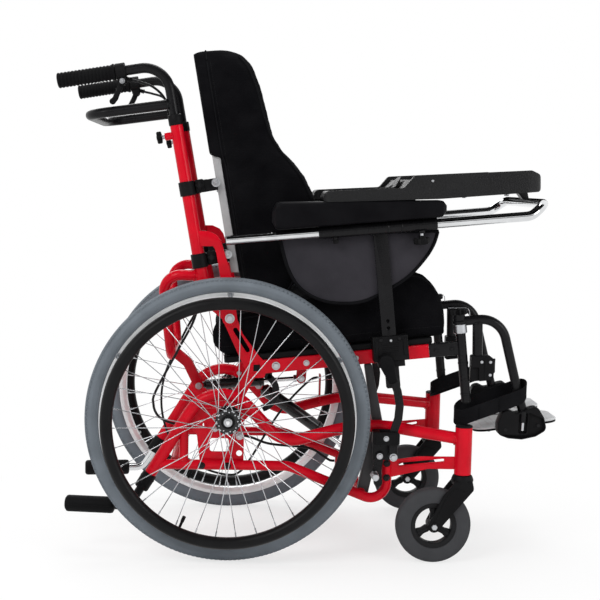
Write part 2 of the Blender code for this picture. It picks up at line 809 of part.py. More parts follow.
def gusset():
    """The slotted web between the frame's front upright and the caster's head tube."""
    front_x = 0.318
    outline = [(front_x, 0.196), (0.380, 0.208), (FORK_X, 0.2125), (FORK_X, 0.187)]
    outline += [(0.400, 0.184), (0.345, 0.168), (front_x, 0.160)]
    window = slot((0.345, 0.1905), (0.428, 0.2035), 0.008)
    web = plate(outline, -FRAME_Y - GUSSET_THICK / 2, -FRAME_Y + GUSSET_THICK / 2, (window,))
    splay = (FORK_Y - FRAME_Y) / (FORK_X - front_x)
    for vert in web.vertices:
        vert.co.y -= (vert.co.x - front_x) * splay
    return web


def side_frame(cable_tab):
    """One welded side: bent main tube, lower tube, strut, plates, head tube and pins."""
    y = -FRAME_Y
    main = pipe(main_tube_path(), MAIN_TUBE, TUBE_SIDES)
    lower = pipe(lower_tube_path(), LOWER_TUBE, TUBE_SIDES)
    strut = rod((-0.087, y, LOWER_Z), (-0.087, y, 0.262), STRUT_TUBE)
    head = rod((FORK_X, -FORK_Y, HEAD_BOTTOM), (FORK_X, -FORK_Y, HEAD_TOP), HEAD_TUBE, 16)
    sleeve = across(0, WHEEL_RADIUS, -AXLE_INNER_END - 0.015, -FRAME_Y - 0.0115, 0.012, FINE_SIDES)
    pin = across(TILT_X, TILT_Z, y, -TILT_PIN_INNER, TILT_PIN)
    bolts = []
    for x, z in ((-0.051, LOWER_Z), (0.0, LOWER_Z), (0.3185, 0.192), (0.3185, 0.163)):
        bolts.append(across(x, z, y - LOWER_TUBE + 0.002, y - LOWER_TUBE - 0.004, 0.006, 6))
    bolts.append(across(0.023, 0.239, -PLATE_FAR + 0.001, -PLATE_FAR - 0.005, 0.006, 6))
    welded = fuse(main, lower, strut, axle_plate(), gusset(), head, sleeve, pin, joined(bolts), cable_tab)
    end, down = tube_end_axis()
    socket = rod(end + down * 0.002, end - down * 0.060, flats_at(TIP_TUBE + RUNNING_GAP, TUBE_SIDES))
    stem = rod(
        (FORK_X, -FORK_Y, HEAD_BOTTOM - 0.004),
        (FORK_X, -FORK_Y, FORK_STEM_TOP + 0.003),
        flats_at(FORK_STEM + RUNNING_GAP, TUBE_SIDES),
    )
    axle_hole = bore(0, WHEEL_RADIUS, -AXLE_INNER_END - 0.005, -FRAME_Y - 0.015, AXLE_PIN)
    return cut(welded, socket, stem, axle_hole)


def right_cable_tab():
    return block((0.2165, -FRAME_Y, 0.140), (0.2205, -RAIL_NEAR, 0.197))


def left_cable_tab():
    """Drawn on the right, like the rest of its frame, and mirrored with it."""
    return block((0.200, -FRAME_Y, 0.250), (0.204, -RAIL_NEAR, 0.317))


def rear_cross_tube():
    end = FRAME_Y - LOWER_TUBE - GAP
    return across(REAR_CROSS_X, LOWER_Z, -end, end, CROSS_TUBE)


def seat_rest():
    """The slanting bar that holds the seat rail up when the seat is level."""
    top_d = 0.2265
    top = [seat_point(top_d + step, -RAIL_HALF - GAP) for step in (0.009, -0.006)]
    outline = [(0.284, 0.122), (0.312, 0.262), *top, (0.290, 0.265), (0.262, 0.130)]
    return plate(outline, -REST_NEAR, -REST_FAR)


def front_cross_tube():
    end = FRAME_Y - LOWER_TUBE - GAP
    tube = across(FRONT_CROSS_X, FRONT_CROSS_Z, -end, end, CROSS_TUBE)
    line = [(FRONT_CROSS_X, FRONT_CROSS_Z), (TILT_LOW_X, TILT_LOW_Z)]
    lugs = ears(line, TILT_SPRING_Y)
    return fuse(tube, seat_rest(), *lugs)


def tipping_lever():
    """The bent tube that a foot pushes down, with its grip and the collar on the frame's end."""
    end, down = tube_end_axis()
    grip_z = 0.0965
    knee = end + down * ((end.z - grip_z) / -down.z)
    tail = Vector((-0.3215, -FRAME_Y + 0.017, grip_z))
    path = rounded([end - down * 0.045, knee, tail], (0.03,))
    tube = pipe(path, TIP_TUBE)
    collar = rod(end + down * GAP, end + down * 0.035, 0.0145, FINE_SIDES)
    along = (knee - tail).normalized()
    grip = rod(tail + along * 0.098, tail, TIP_GRIP, FINE_SIDES)
    return fuse(tube, collar, grip)


def brake_bracket():
    """The plate bolted to the frame, with both pivots and the cover over the lever."""
    near, far = -BRAKE_PLATE_NEAR, -BRAKE_PLATE_FAR
    outline = [(0.288, 0.200), (0.330, 0.200), (0.338, 0.208), (0.338, 0.248), (0.331, 0.262), (0.288, 0.262)]
    back = plate(outline, near, far)
    cover_in = BRAKE_LEVER_FAR + RUNNING_GAP
    cover_outline = [(0.285, 0.236), (0.338, 0.236), (0.338, 0.258), (0.334, 0.262), (0.285, 0.262)]
    cover = plate(cover_outline, -cover_in, -cover_in - 0.006)
    bridge = block((0.285, -cover_in - 0.001, 0.237), (0.299, far + 0.001, 0.261))
    spacer_end = BRAKE_LEVER_NEAR - GAP
    spacer = across(BRAKE_LEVER_X, BRAKE_LEVER_Z, near, -spacer_end, 0.008)
    lever_pin = across(BRAKE_LEVER_X, BRAKE_LEVER_Z, near, -BRAKE_LEVER_FAR - 0.002, BRAKE_PIN)
    shoe_seat = across(BRAKE_SHOE_X, BRAKE_SHOE_Z, near, -BRAKE_SHOE_NEAR + GAP, 0.007)
    shoe_pin = across(BRAKE_SHOE_X, BRAKE_SHOE_Z, near, -BRAKE_SHOE_FAR - 0.002, BRAKE_PIN)
    return fuse(back, bridge, cover, spacer, lever_pin, shoe_seat, shoe_pin)


def brake_lever():
    """The cranked flat lever with its thick grip."""
    path = [(BRAKE_LEVER_X, BRAKE_LEVER_Z), (0.329, 0.240), (0.333, 0.262), (0.344, 0.275)]
    path += [(0.346, 0.292), (0.342, 0.312), (0.330, 0.358), (0.322, 0.380)]
    bar = plate(ribbon(path, 0.008), -BRAKE_LEVER_NEAR, -BRAKE_LEVER_FAR)
    middle = -(BRAKE_LEVER_NEAR + BRAKE_LEVER_FAR) / 2
    grip = rod((0.330, middle, 0.358), (0.311, middle, 0.409), 0.0088, FINE_SIDES)
    ends = (-BRAKE_LEVER_FAR - 0.0015, -BRAKE_LEVER_NEAR + 0.0015)
    hole = bore(BRAKE_LEVER_X, BRAKE_LEVER_Z, *ends, BRAKE_PIN)
    return cut(fuse(bar, grip), hole)


def brake_shoe():
    """The arm that swings the silver peg against the tyre."""
    path = [(BRAKE_SHOE_X, BRAKE_SHOE_Z), (0.297, 0.180), (0.300, 0.156)]
    arm = plate(ribbon(path, 0.0085), -BRAKE_SHOE_NEAR, -BRAKE_SHOE_FAR)
    peg = across(0.292, 0.172, -BRAKE_SHOE_NEAR - 0.001, -TYRE_Y - 0.015, BRAKE_PEG, FINE_SIDES)
    hole = bore(BRAKE_SHOE_X, BRAKE_SHOE_Z, -BRAKE_SHOE_FAR - 0.0015, -BRAKE_SHOE_NEAR + 0.0015, BRAKE_PIN)
    return cut(fuse(arm, peg), hole)


def tube_in_seat(d, radius, half):
    """A cross tube on the seat frame's middle line."""
    return across(*seat_point(d, 0), -half, half, radius)


def seat_rail():
    """The right rail, hollow at its front for the footrest's tongue."""
    rail = seat_block(RAIL_REAR, RAIL_FRONT, -RAIL_HALF, RAIL_HALF, -RAIL_NEAR, -RAIL_FAR)
    middle = -(RAIL_NEAR + RAIL_FAR) / 2
    half_wide = TONGUE_THICK / 2 + GAP
    half_high = TONGUE_HEIGHT / 2 + GAP
    deep = RAIL_FRONT - TONGUE_LENGTH - 0.006
    room = seat_block(deep, RAIL_FRONT + 0.01, -half_high, half_high, middle - half_wide, middle + half_wide)
    return rail, room


def link_plate():
    """The upright plate at the rail's rear that carries the back's pivot, with its long slot."""
    turn_from = math.radians(205)
    boss = 0.0145
    arc = []
    for step in range(6):
        turn = turn_from - math.radians(175) * step / 5
        arc.append((RECLINE_X + boss * math.cos(turn), RECLINE_Z + boss * math.sin(turn)))
    outline = [(0.0365, 0.3625), *arc, (0.0250, 0.445), (0.0600, 0.399), (0.0745, 0.386)]
    outline += [(0.0745, 0.372), (0.070, 0.357), (0.043, 0.356)]
    window = slot((0.0105, 0.452), (0.0355, 0.412), 0.009)
    return plate(outline, -LINK_NEAR, -LINK_FAR, (window,))


def seat_frame():
    """Rails, cross tubes, back links, tilt lugs and gas spring ears, welded together."""
    reach = SEAT_BAR / 2
    bar = seat_block(-reach, reach, -reach, reach, -SEAT_BAR_HALF, SEAT_BAR_HALF)
    rail, room = seat_rail()
    lug_line = [(SEAT_REF_X, SEAT_REF_Z - 0.002), (TILT_X, TILT_Z)]
    lug = plate(ribbon(lug_line, 0.0115), -TILT_LUG_NEAR, -TILT_LUG_FAR)
    bolt_at = seat_point(0.044, 0)
    bolt = across(*bolt_at, -RAIL_FAR + 0.001, -RAIL_FAR - 0.004, 0.0065, 6)
    link = link_plate()
    sides = [rail, lug, link, bolt]
    inner = RAIL_NEAR + 0.003
    recline_bar = tube_in_seat(RECLINE_BAR_D, 0.009, inner)
    front_bar = tube_in_seat(FRONT_BAR_D, CROSS_TUBE, inner)
    tilt_ears = ears([seat_point(0, 0), (TILT_TOP_X, TILT_TOP_Z)], TILT_SPRING_Y)
    recline_line = [seat_point(RECLINE_BAR_D, 0), (RECLINE_SEAT_X, RECLINE_SEAT_Z)]
    recline_ears = ears(recline_line, RECLINE_SPRING_Y)
    both = [piece for side in sides for piece in (side, mirrored(side))]
    welded = fuse(bar, *both, recline_bar, front_bar, *tilt_ears, *recline_ears)
    tilt_hole = bore(TILT_X, TILT_Z, -TILT_LUG_FAR, -TILT_LUG_NEAR, TILT_PIN)
    pivot_hole = bore(RECLINE_X, RECLINE_Z, -LINK_FAR, -LINK_NEAR, RECLINE_PIN)
    holes = [piece for hole in (tilt_hole, pivot_hole, room) for piece in (hole, mirrored(hole))]
    return cut(welded, *holes)


def seat_pan():
    """The board under the cushion, with its front corners taken off and two finger holes."""
    flat = seat_block(PAN_REAR, PAN_FRONT, PAN_LOW, PAN_HIGH, -PAN_HALF, PAN_HALF)
    holes = []
    for d in (0.03, 0.27):
        low = (*seat_point(d, PAN_LOW - 0.01), 0)
        high = (*seat_point(d, PAN_HIGH + 0.01), 0)
        holes.append(rod((low[0], 0, low[1]), (high[0], 0, high[1]), 0.014, 16))
    return cut(flat, *holes)


def along_profile(profile, at):
    """The value at this place of a smooth line through (place, value) pairs."""
    for (start, low), (end, high) in zip(profile, profile[1:]):
        if at <= end:
            share = max(0.0, (at - start) / (end - start))
            return low + (high - low) * share
    return profile[-1][1]


def loft(rings):
    """A closed solid through rings of equally many points, with flat ends."""
    work = bmesh.new()
    rows = [[work.verts.new(point) for point in ring] for ring in rings]
    for row, following in zip(rows, rows[1:]):
        for number in range(len(row)):
            after = (number + 1) % len(row)
            work.faces.new((row[number], row[after], following[after], following[number]))
    work.faces.new(rows[0])
    work.faces.new(rows[-1])
    bmesh.ops.recalc_face_normals(work, faces=work.faces)
    mesh = bpy.data.meshes.new("loft")
    work.to_mesh(mesh)
    work.free()
    return mesh


def cushion_side_top(d):
    edge = CUSHION_EDGE_HEIGHT
    profile = [(-0.0775, edge - 0.050), (-0.062, edge - 0.033), (0.0, edge - 0.024), (0.06, edge - 0.017)]
    profile += [(0.11, edge), (0.16, edge + 0.015), (0.25, edge + 0.024), (0.330, edge + 0.029)]
    profile += [(0.352, edge + 0.024), (0.372, edge + 0.004), (0.386, edge - 0.022), (0.3925, edge - 0.050)]
    return along_profile(profile, d)


def cushion_middle_top(d):
    edge = CUSHION_EDGE_HEIGHT
    profile = [(-0.0775, edge - 0.056), (-0.062, edge - 0.040), (0.0, edge - 0.032), (0.2, edge - 0.020)]
    profile += [(0.330, edge - 0.012), (0.352, edge - 0.015), (0.372, edge - 0.024), (0.3925, edge - 0.055)]
    return along_profile(profile, d)


def cushion_under(d):
    """The cushion overhangs its pan at the rear, where its lower edge rises."""
    profile = [(-0.0775, 0.052), (-0.062, 0.034), (-0.050, CUSHION_UNDER), (0.385, CUSHION_UNDER)]
    profile += [(0.3925, CUSHION_UNDER + 0.006)]
    return along_profile(profile, d)


def seat_cushion():
    """A contoured cushion: raised sides, two thigh channels, a low pommel and drawn-in flanks."""
    stations = [-0.0775, -0.070, -0.060, -0.045, -0.015, 0.03, 0.07, 0.11, 0.16, 0.21, 0.26]
    stations += [0.300, 0.330, 0.350, 0.366, 0.380, 0.389, 0.3925]
    stations[0], stations[-1] = CUSHION_BACK_D, CUSHION_FRONT_D
    rings = []
    for d in stations:
        under, side, middle = cushion_under(d), cushion_side_top(d), cushion_middle_top(d)
        from_end = min(d - CUSHION_BACK_D, CUSHION_FRONT_D - d)
        round_in = 0.010 * max(0.0, 1 - from_end / 0.014) ** 2
        half = CUSHION_HALF - round_in
        right = [(half - 0.008, under), (half - 0.001, under + 0.012), (half - 0.003, (under + side) / 2)]
        right += [(half, side - 0.022), (half - 0.006, side - 0.006), (half - 0.018, side)]
        for share in (0.80, 0.62, 0.44, 0.26, 0.12):
            lift = (max(share - 0.35, 0) / 0.65) ** 2
            channel = CUSHION_CHANNEL * math.sin(math.pi * min(share / 0.8, 1)) ** 2
            crown = CUSHION_CROWN * 0.3 * (1 - share)
            right.append((half * share, middle + (side - middle) * lift - channel + crown))
        top = [(0.0, middle + CUSHION_CROWN * 0.3)]
        loop = right + top + [(-y, h) for y, h in reversed(right)]
        ring = []
        for y, h in loop:
            x, z = seat_point(d, h)
            ring.append((x, y, z))
        rings.append(ring)
    return loft(rings)


def tilt_stop_plate():
    """The open ring under the right rail that limits the tilt, with the tab that holds it."""
    centre_x, centre_z = 0.059, 0.327
    outer, inner = 0.0425, 0.029
    near, far = -TILT_LUG_FAR + 0.0055, -RAIL_NEAR + GAP
    loop = []
    for radius, angles in ((outer, (62, 38, 14, -10, -34, -58, -80)), (inner, (-80, -50, -20, 10, 40, 62))):
        for angle in angles:
            turn = math.radians(angle)
            loop.append((centre_x + radius * math.cos(turn), centre_z + radius * math.sin(turn)))
    ring = plate(loop, near, far)
    tab = plate([(0.070, 0.352), (0.086, 0.352), (0.086, 0.384), (0.070, 0.384)], near, far)
    return fuse(ring, tab)


def arm_receiver():
    """The moulded block that clamps the arm's upright to the rail."""
    low, high = -0.0075, 0.0425
    body_block = seat_block(UPRIGHT_D - 0.0343, UPRIGHT_D + 0.0357, low, high, -RECEIVER_NEAR, -RECEIVER_FAR)
    skirt_ends = (UPRIGHT_D - 0.0253, UPRIGHT_D + 0.0267)
    skirt = seat_block(*skirt_ends, low - 0.012, low + 0.002, -RECEIVER_NEAR, -RECEIVER_FAR + 0.004)
    ribs = []
    rib_near, rib_far = -RECEIVER_FAR + 0.001, -RECEIVER_FAR - 0.002
    for d in (UPRIGHT_D - 0.0303, UPRIGHT_D + 0.0257):
        ribs.append(seat_block(d, d + 0.006, low + 0.010, high - 0.006, rib_near, rib_far))
    slot_half = UPRIGHT_HALF + GAP
    ends = (UPRIGHT_D - slot_half, UPRIGHT_D + slot_half)
    way = seat_block(*ends, low - 0.02, high + 0.01, -UPRIGHT_NEAR + GAP, -UPRIGHT_FAR - GAP)
    return cut(fuse(body_block, skirt, *ribs), way)


def hanger_mount():
    """The tongue in the rail, its box and the upright pivot tube with its pin."""
    middle = -(RAIL_NEAR + RAIL_FAR) / 2
    start = RAIL_FRONT - TONGUE_LENGTH
    half_high, half_wide = TONGUE_HEIGHT / 2, TONGUE_THICK / 2
    tongue = seat_block(start, 0.36, -half_high, half_high, middle - half_wide, middle + half_wide)
    box = seat_block(RAIL_FRONT + GAP, HANGER_BOX_END, -RAIL_HALF, RAIL_HALF, -RAIL_NEAR, -RAIL_FAR)
    low, top, pin_top = (seat_point(PIVOT_D, h) for h in (-0.110, 0.0294, 0.075))
    y = -HANGER_Y
    tube = rod((low[0], y, low[1]), (top[0], y, top[1]), PIVOT_TUBE, FINE_SIDES)
    pin = rod((low[0], y, low[1]), (pin_top[0], y, pin_top[1]), PIVOT_PIN)
    return fuse(box, tongue, tube, pin)


def spring_axis(start, end, y):
    start = Vector((start[0], y, start[1]))
    end = Vector((end[0], y, end[1]))
    return start, (end - start).normalized()


def gas_cylinder(start, end, y, radius, length, hole):
    """The body of a gas spring: an eye on its pin and a tube open at the rod's end."""
    base, way = spring_axis(start, end, y)
    tube = rod(base + way * 0.004, base + way * length, radius, FINE_SIDES)
    room = rod(base + way * 0.030, base + way * (length + 0.002), hole, THIN_SIDES)
    half = SPRING_EYE_WIDTH / 2
    trims = []
    for side in (1, -1):
        low = y + side * half
        corner = (base.x, base.z)
        trims.append(across(*corner, low, low + side * 0.03, SPRING_EYE + 0.004, 16))
    narrowed = cut(fuse(tube, eye(*start, y)), *trims)
    return cut(narrowed, room, eye_bore(*start, y))


def gas_rod(start, end, y, radius, length):
    base, way = spring_axis(start, end, y)
    bar = rod(base + way * 0.006, base + way * length, radius, THIN_SIDES)
    return cut(fuse(bar, eye(*start, y)), eye_bore(*start, y))


def tilt_cylinder():
    ends = (TILT_TOP_X, TILT_TOP_Z), (TILT_LOW_X, TILT_LOW_Z)
    return gas_cylinder(*ends, TILT_SPRING_Y, TILT_CYLINDER, TILT_CYLINDER_LENGTH, TILT_CYLINDER_BORE)


def tilt_rod():
    ends = (TILT_LOW_X, TILT_LOW_Z), (TILT_TOP_X, TILT_TOP_Z)
    return gas_rod(*ends, TILT_SPRING_Y, TILT_ROD, TILT_ROD_LENGTH)


def recline_cylinder():
    ends = (RECLINE_BACK_X, RECLINE_BACK_Z), (RECLINE_SEAT_X, RECLINE_SEAT_Z)
    return gas_cylinder(
        *ends, RECLINE_SPRING_Y, RECLINE_CYLINDER, RECLINE_CYLINDER_LENGTH, RECLINE_CYLINDER_BORE
    )


def recline_rod():
    ends = (RECLINE_SEAT_X, RECLINE_SEAT_Z), (RECLINE_BACK_X, RECLINE_BACK_Z)
    return gas_rod(*ends, RECLINE_SPRING_Y, RECLINE_ROD, RECLINE_ROD_LENGTH)


def post_way():
    """The unit vector up the sloping posts."""
    return Vector((-POST_SLOPE, 0, 1)).normalized()


def on_post(z, y=-POST_Y):
    return Vector((post_x(z), y, z))


def star_knob(start, end, radius):
    """A hand knob with five lobes."""
    start, end = Vector(start), Vector(end)
    work = bmesh.new()
    rows = []
    for along in (0.0, (end - start).length):
        row = []
        for step in range(10):
            turn = math.pi * step / 5
            reach = radius if step % 2 else radius * 0.68
            row.append(work.verts.new((reach * math.cos(turn), reach * math.sin(turn), along)))
        rows.append(row)
    for step in range(10):
        after = (step + 1) % 10
        work.faces.new((rows[0][step], rows[0][after], rows[1][after], rows[1][step]))
    work.faces.new(rows[0])
    work.faces.new(rows[1])
    bmesh.ops.recalc_face_normals(work, faces=work.faces)
    mesh = bpy.data.meshes.new("knob")
    work.to_mesh(mesh)
    work.free()
    mesh.transform(facing(start, end))
    return mesh


def arch_bracket():
    """The bent plate from the post over to the back's pivot, with its lower brace."""
    boss = 0.015
    arc = []
    for step in range(7):
        turn = math.radians(15 - 210 * step / 6)
        arc.append((RECLINE_X + boss * math.cos(turn), RECLINE_Z + boss * math.sin(turn)))
    outline = [(-0.070, 0.647), (-0.046, 0.647), (-0.026, 0.638), (-0.018, 0.622), (-0.0145, 0.608)]
    outline += [(0.0015, 0.557), *arc, (-0.0215, 0.557), (-0.032, 0.612), (-0.037, 0.620)]
    outline += [(-0.044, 0.617), (-0.070, 0.617)]
    arch = plate(outline, -ARCH_NEAR, -ARCH_FAR)
    brace_line = [(-0.052, 0.523), (-0.036, 0.503), (RECLINE_X, RECLINE_Z)]
    brace = plate(ribbon(brace_line, 0.0105), -ARCH_NEAR, -ARCH_FAR)
    return arch, brace


def back_frame():
    """Posts, arched brackets, hoop and gas spring lever, welded into one frame."""
    pieces = []
    way = post_way()
    sleeve_low = POST_TOP - 0.020
    for side in (-1, 1):
        y = side * POST_Y
        pieces.append(rod(on_post(POST_LOW, y), on_post(sleeve_low, y), POST_TUBE, FINE_SIDES))
        sleeve = (on_post(sleeve_low - 0.002, y), on_post(POST_TOP, y))
        pieces.append(rod(*sleeve, POST_TUBE + 0.0015, FINE_SIDES))
        knob_root = on_post(0.834, y)
        aside = Vector((-1, 0, -POST_SLOPE)).normalized()
        boss_end = knob_root + aside * 0.026
        knob_end = boss_end + aside * 0.016
        pieces.append(rod(knob_root, boss_end, 0.0075, THIN_SIDES))
        pieces.append(rod(boss_end - aside * 0.001, boss_end + aside * 0.006, 0.0045, THIN_SIDES))
        pieces.append(star_knob(boss_end + aside * 0.005, knob_end, 0.0125))
    arch, brace = arch_bracket()
    pin = across(RECLINE_X, RECLINE_Z, -LINK_NEAR + 0.001, -ARCH_FAR - 0.002, RECLINE_PIN)
    head = across(RECLINE_X, RECLINE_Z, -ARCH_FAR + 0.001, -ARCH_FAR - 0.005, 0.0075, 6)
    for piece in (arch, brace, pin, head):
        pieces += [piece, mirrored(piece)]
    corners = [(-0.058, 0.558), (-0.136, 0.560), (-0.118, 0.390)]
    spans = (POST_Y, POST_Y, HOOP_SPAN)
    right = [(x, -span, z) for (x, z), span in zip(corners, spans)]
    left = [(x, span, z) for (x, z), span in zip(corners, spans)]
    hoop = pipe(rounded(right + left[::-1], (0.035, 0.035, 0.035, 0.035)), HOOP_TUBE)
    line = [(-0.118, 0.390), (-0.088, 0.366), (RECLINE_BACK_X, RECLINE_BACK_Z)]
    lever = ears(line, RECLINE_SPRING_Y)
    welded = fuse(pieces[0], *pieces[1:], hoop, *lever)
    tools = []
    for side in (-1, 1):
        y = side * POST_Y
        low = on_post(HANDLE_BOTTOM - 0.008, y)
        wide = flats_at(HANDLE_TUBE + RUNNING_GAP, FINE_SIDES)
        tools.append(rod(low, on_post(POST_TOP + 0.01, y), wide, FINE_SIDES))
    return cut(welded, *tools)


def back_board():
    """The board behind the cushion, with the four clamps that grip the posts."""
    corners = [(board_x(z), z) for z in (BOARD_LOW, BOARD_TOP)]
    thick = BOARD_THICK
    outline = [corners[0], corners[1], (corners[1][0] + thick, BOARD_TOP), (corners[0][0] + thick, BOARD_LOW)]
    pieces = [plate(outline, -BOARD_HALF, BOARD_HALF)]
    tools = []
    way = post_way()
    half = CLAMP_HEIGHT / 2
    for side in (-1, 1):
        for level in CLAMP_LEVELS:
            middle = on_post(level, side * POST_Y)
            pieces.append(rod(middle - way * half, middle + way * half, CLAMP_OUTER, FINE_SIDES))
            inner, outer = sorted((side * (POST_Y - 0.029), side * (POST_Y - 0.005)))
            low = (middle.x + 0.006, inner, level - 0.012)
            pieces.append(block(low, (board_x(level) + 0.004, outer, level + 0.012)))
            bolt_x = (middle.x + board_x(level)) / 2 + 0.006
            ends = sorted((side * (POST_Y - 0.006), side * (POST_Y - 0.001)))
            pieces.append(across(bolt_x, level, *ends, 0.007, 6))
        y = side * POST_Y
        room = flats_at(POST_TUBE + GAP, FINE_SIDES)
        tools.append(rod(on_post(0.55, y), on_post(0.80, y), room, FINE_SIDES))
    return cut(fuse(*pieces), *tools)


def back_cushion():
    """A deep shell of a cushion: side wings round the trunk, a padded middle and a pocket over the board."""
    rings = []
    for z, wing in WING:
        front_of_board = board_x(z) + BOARD_THICK + GAP + 0.0002
        rear = front_of_board if z < FLAP_Z - 0.005 else board_x(z) - FLAP_THICK
        if z > BOARD_TOP + 0.02:
            rear += (z - BOARD_TOP - 0.02) * 0.5
        middle = min(front_of_board + BACK_CENTRE_THICK, wing - 0.012)
        half = BACK_HALF - max(0.0, z - 0.965) * 0.35
        right = [(half - 0.012, rear), (half - 0.002, rear + 0.010), (half, (rear + wing) / 2)]
        right += [(half - 0.001, wing - 0.020), (half - 0.008, wing - 0.005), (half - 0.020, wing)]
        inner = BACK_SCOOP_HALF * half / BACK_HALF
        right += [(half - 0.034, wing - 0.008), (inner, middle + (wing - middle) * 0.45)]
        right += [(inner * 0.88, middle + 0.003), (inner * 0.55, middle), (inner * 0.25, middle + 0.004)]
        loop = [(0.0, rear)] + right + [(0.0, middle + 0.005)] + [(-y, x) for y, x in reversed(right)]
        droop = max(0.0, 1 - (z - 0.500) / 0.08) * 0.13
        rings.append([(x, y, z + (x - 0.020) * droop) for y, x in loop])
    solid = loft(rings)
    pocket_rear = board_x(BOARD_LOW - 0.05) - GAP
    top = BOARD_TOP + GAP
    rear_low, rear_top = pocket_rear, board_x(top) - GAP
    front = BOARD_THICK + 2 * GAP
    low = BOARD_LOW - 0.05
    outline = [(rear_low, low), (rear_top, top), (rear_top + front, top), (rear_low + front, low)]
    wide = BOARD_HALF + GAP
    return cut(solid, plate(outline, -wide, wide))


def handle_z(x):
    """The grip tube's middle line, which falls slightly to the rear."""
    return 0.9695 + (x + 0.1352) * 0.1785


def push_handle():
    """Both grip tubes and the cross bar in one bent frame, with the brake levers' clamps."""
    pieces = []
    for side in (-1, 1):
        y = side * POST_Y
        corner = Vector((-0.1352, y, handle_z(-0.1352)))
        path = [on_post(HANDLE_BOTTOM, y), corner, (-0.338, y, handle_z(-0.338))]
        pieces.append(pipe(rounded(path, (0.05,)), HANDLE_TUBE))
        collar = ((-0.2322, y, handle_z(-0.2322)), (-0.213, y, handle_z(-0.213)))
        pieces.append(rod(*collar, 0.0160, FINE_SIDES))
        inner, outer = sorted((side * (POST_Y - 0.0085), side * (POST_Y + 0.0085)))
        cheeks = ribbon([(-0.222, 0.950), (LEVER_X, LEVER_Z)], 0.0085)
        pieces.append(plate(cheeks, inner, outer))
        pieces.append(rod((-0.218, y, 0.9405), (-0.201, y, 0.9375), 0.0045, THIN_SIDES))
    bar_z = 0.8935
    corners = [on_post(bar_z, -POST_Y), Vector((-0.2840, -POST_Y, 0.8687))]
    path = rounded([*corners, (-0.2840, POST_Y, 0.8687), on_post(bar_z, POST_Y)], (0.04, 0.04))
    pieces.append(pipe(path, U_BAR))
    welded = fuse(*pieces)
    rooms, pins = [], []
    for side in (-1, 1):
        inner, outer = sorted((side * (POST_Y - 0.003), side * (POST_Y + 0.003)))
        shape = [(-0.2290, 0.9436), (-0.2085, 0.9436), (-0.2085, 0.922), (-0.2290, 0.922)]
        rooms.append(plate(shape, inner, outer))
        ends = (side * (POST_Y - 0.008), side * (POST_Y + 0.008))
        pins.append(across(LEVER_X, LEVER_Z, *ends, 0.003, THIN_SIDES))
    return fuse(cut(welded, *rooms), *pins)


def hand_grip():
    y = -POST_Y
    front, rear = (GRIP_FRONT, y, handle_z(GRIP_FRONT)), (GRIP_REAR, y, handle_z(GRIP_REAR))
    grip = rod(front, rear, GRIP_TUBE, FINE_SIDES)
    flange = rod(front, (GRIP_FRONT - 0.004, y, handle_z(GRIP_FRONT - 0.004)), GRIP_TUBE + 0.0015, FINE_SIDES)
    room_end = -0.338 - GAP
    room = ((-0.22, y, handle_z(-0.22)), (room_end, y, handle_z(room_end)))
    return cut(fuse(grip, flange), rod(*room, flats_at(HANDLE_TUBE + GAP, TUBE_SIDES)))


def hand_lever():
    """The blade that pulls the cable, curled at its tip."""
    path = [(LEVER_X, LEVER_Z), (-0.2235, 0.922), (-0.2295, 0.910), (-0.2325, 0.901), (-0.2375, 0.8955)]
    blade = plate(ribbon(path, 0.0055), -0.1697, -0.1743)
    tip = across(-0.2375, 0.8955, -0.1690, -0.1750, 0.0062)
    return cut(fuse(blade, tip), bore(LEVER_X, LEVER_Z, -0.175, -0.169, 0.003))


def arm_frame():
    """The sleeve that the tray's tube slides in, on its flat upright."""
    sleeve_ends = [(x, -ARM_Y, arm_z(x)) for x in (ARM_REAR, ARM_FRONT)]
    sleeve = rod(*sleeve_ends, ARM_SLEEVE, FINE_SIDES)
    upright = seat_block(
        UPRIGHT_D - UPRIGHT_HALF, UPRIGHT_D + UPRIGHT_HALF, -0.062, 0.256, -UPRIGHT_NEAR, -UPRIGHT_FAR
    )
    knob_x = 0.384
    knob_z = arm_z(knob_x)
    boss = rod((knob_x, -ARM_Y, knob_z - 0.009), (knob_x + 0.001, -ARM_Y, knob_z - 0.020), 0.006, THIN_SIDES)
    knob = star_knob(
        (knob_x + 0.001, -ARM_Y, knob_z - 0.0195), (knob_x + 0.0025, -ARM_Y, knob_z - 0.033), 0.0115
    )
    through = (-UPRIGHT_NEAR + 0.01, -UPRIGHT_FAR - 0.012)
    hole_marks = [across(*seat_point(UPRIGHT_D, h), *through, 0.0032, THIN_SIDES) for h in (0.058, 0.072)]
    ways = [(x, -ARM_Y, arm_z(x)) for x in (ARM_REAR - 0.02, ARM_FRONT + 0.02)]
    way = rod(*ways, flats_at(TRAY_TUBE + RUNNING_GAP, FINE_SIDES), FINE_SIDES)
    return cut(fuse(sleeve, upright, boss, knob), way, *hole_marks)


def arm_pad():
    outline = [(0.083, 0.664), (0.408, 0.670), (0.415, 0.676), (0.413, 0.704), (0.405, 0.711)]
    outline += [(0.092, 0.7055), (0.080, 0.697), (0.077, 0.672)]
    pad = plate(outline, -PAD_NEAR, -PAD_FAR)
    ends = [(x, -ARM_Y, arm_z(x)) for x in (0.05, 0.45)]
    groove = rod(*ends, flats_at(ARM_SLEEVE + GAP, FINE_SIDES), FINE_SIDES)
    return cut(pad, groove)


def side_panel():
    """The padded guard beside the seat: straight along the arm, a deep round belly below."""
    outline = [(0.093, 0.655), (0.096, 0.622), (0.112, 0.575), (0.138, 0.541), (0.178, 0.521)]
    outline += [(0.221, 0.516), (0.262, 0.521), (0.305, 0.541), (0.350, 0.570), (0.383, 0.606)]
    outline += [(0.400, 0.634), (0.406, 0.655)]
    core = plate(outline, -PANEL_NEAR, -PANEL_FAR)
    return core


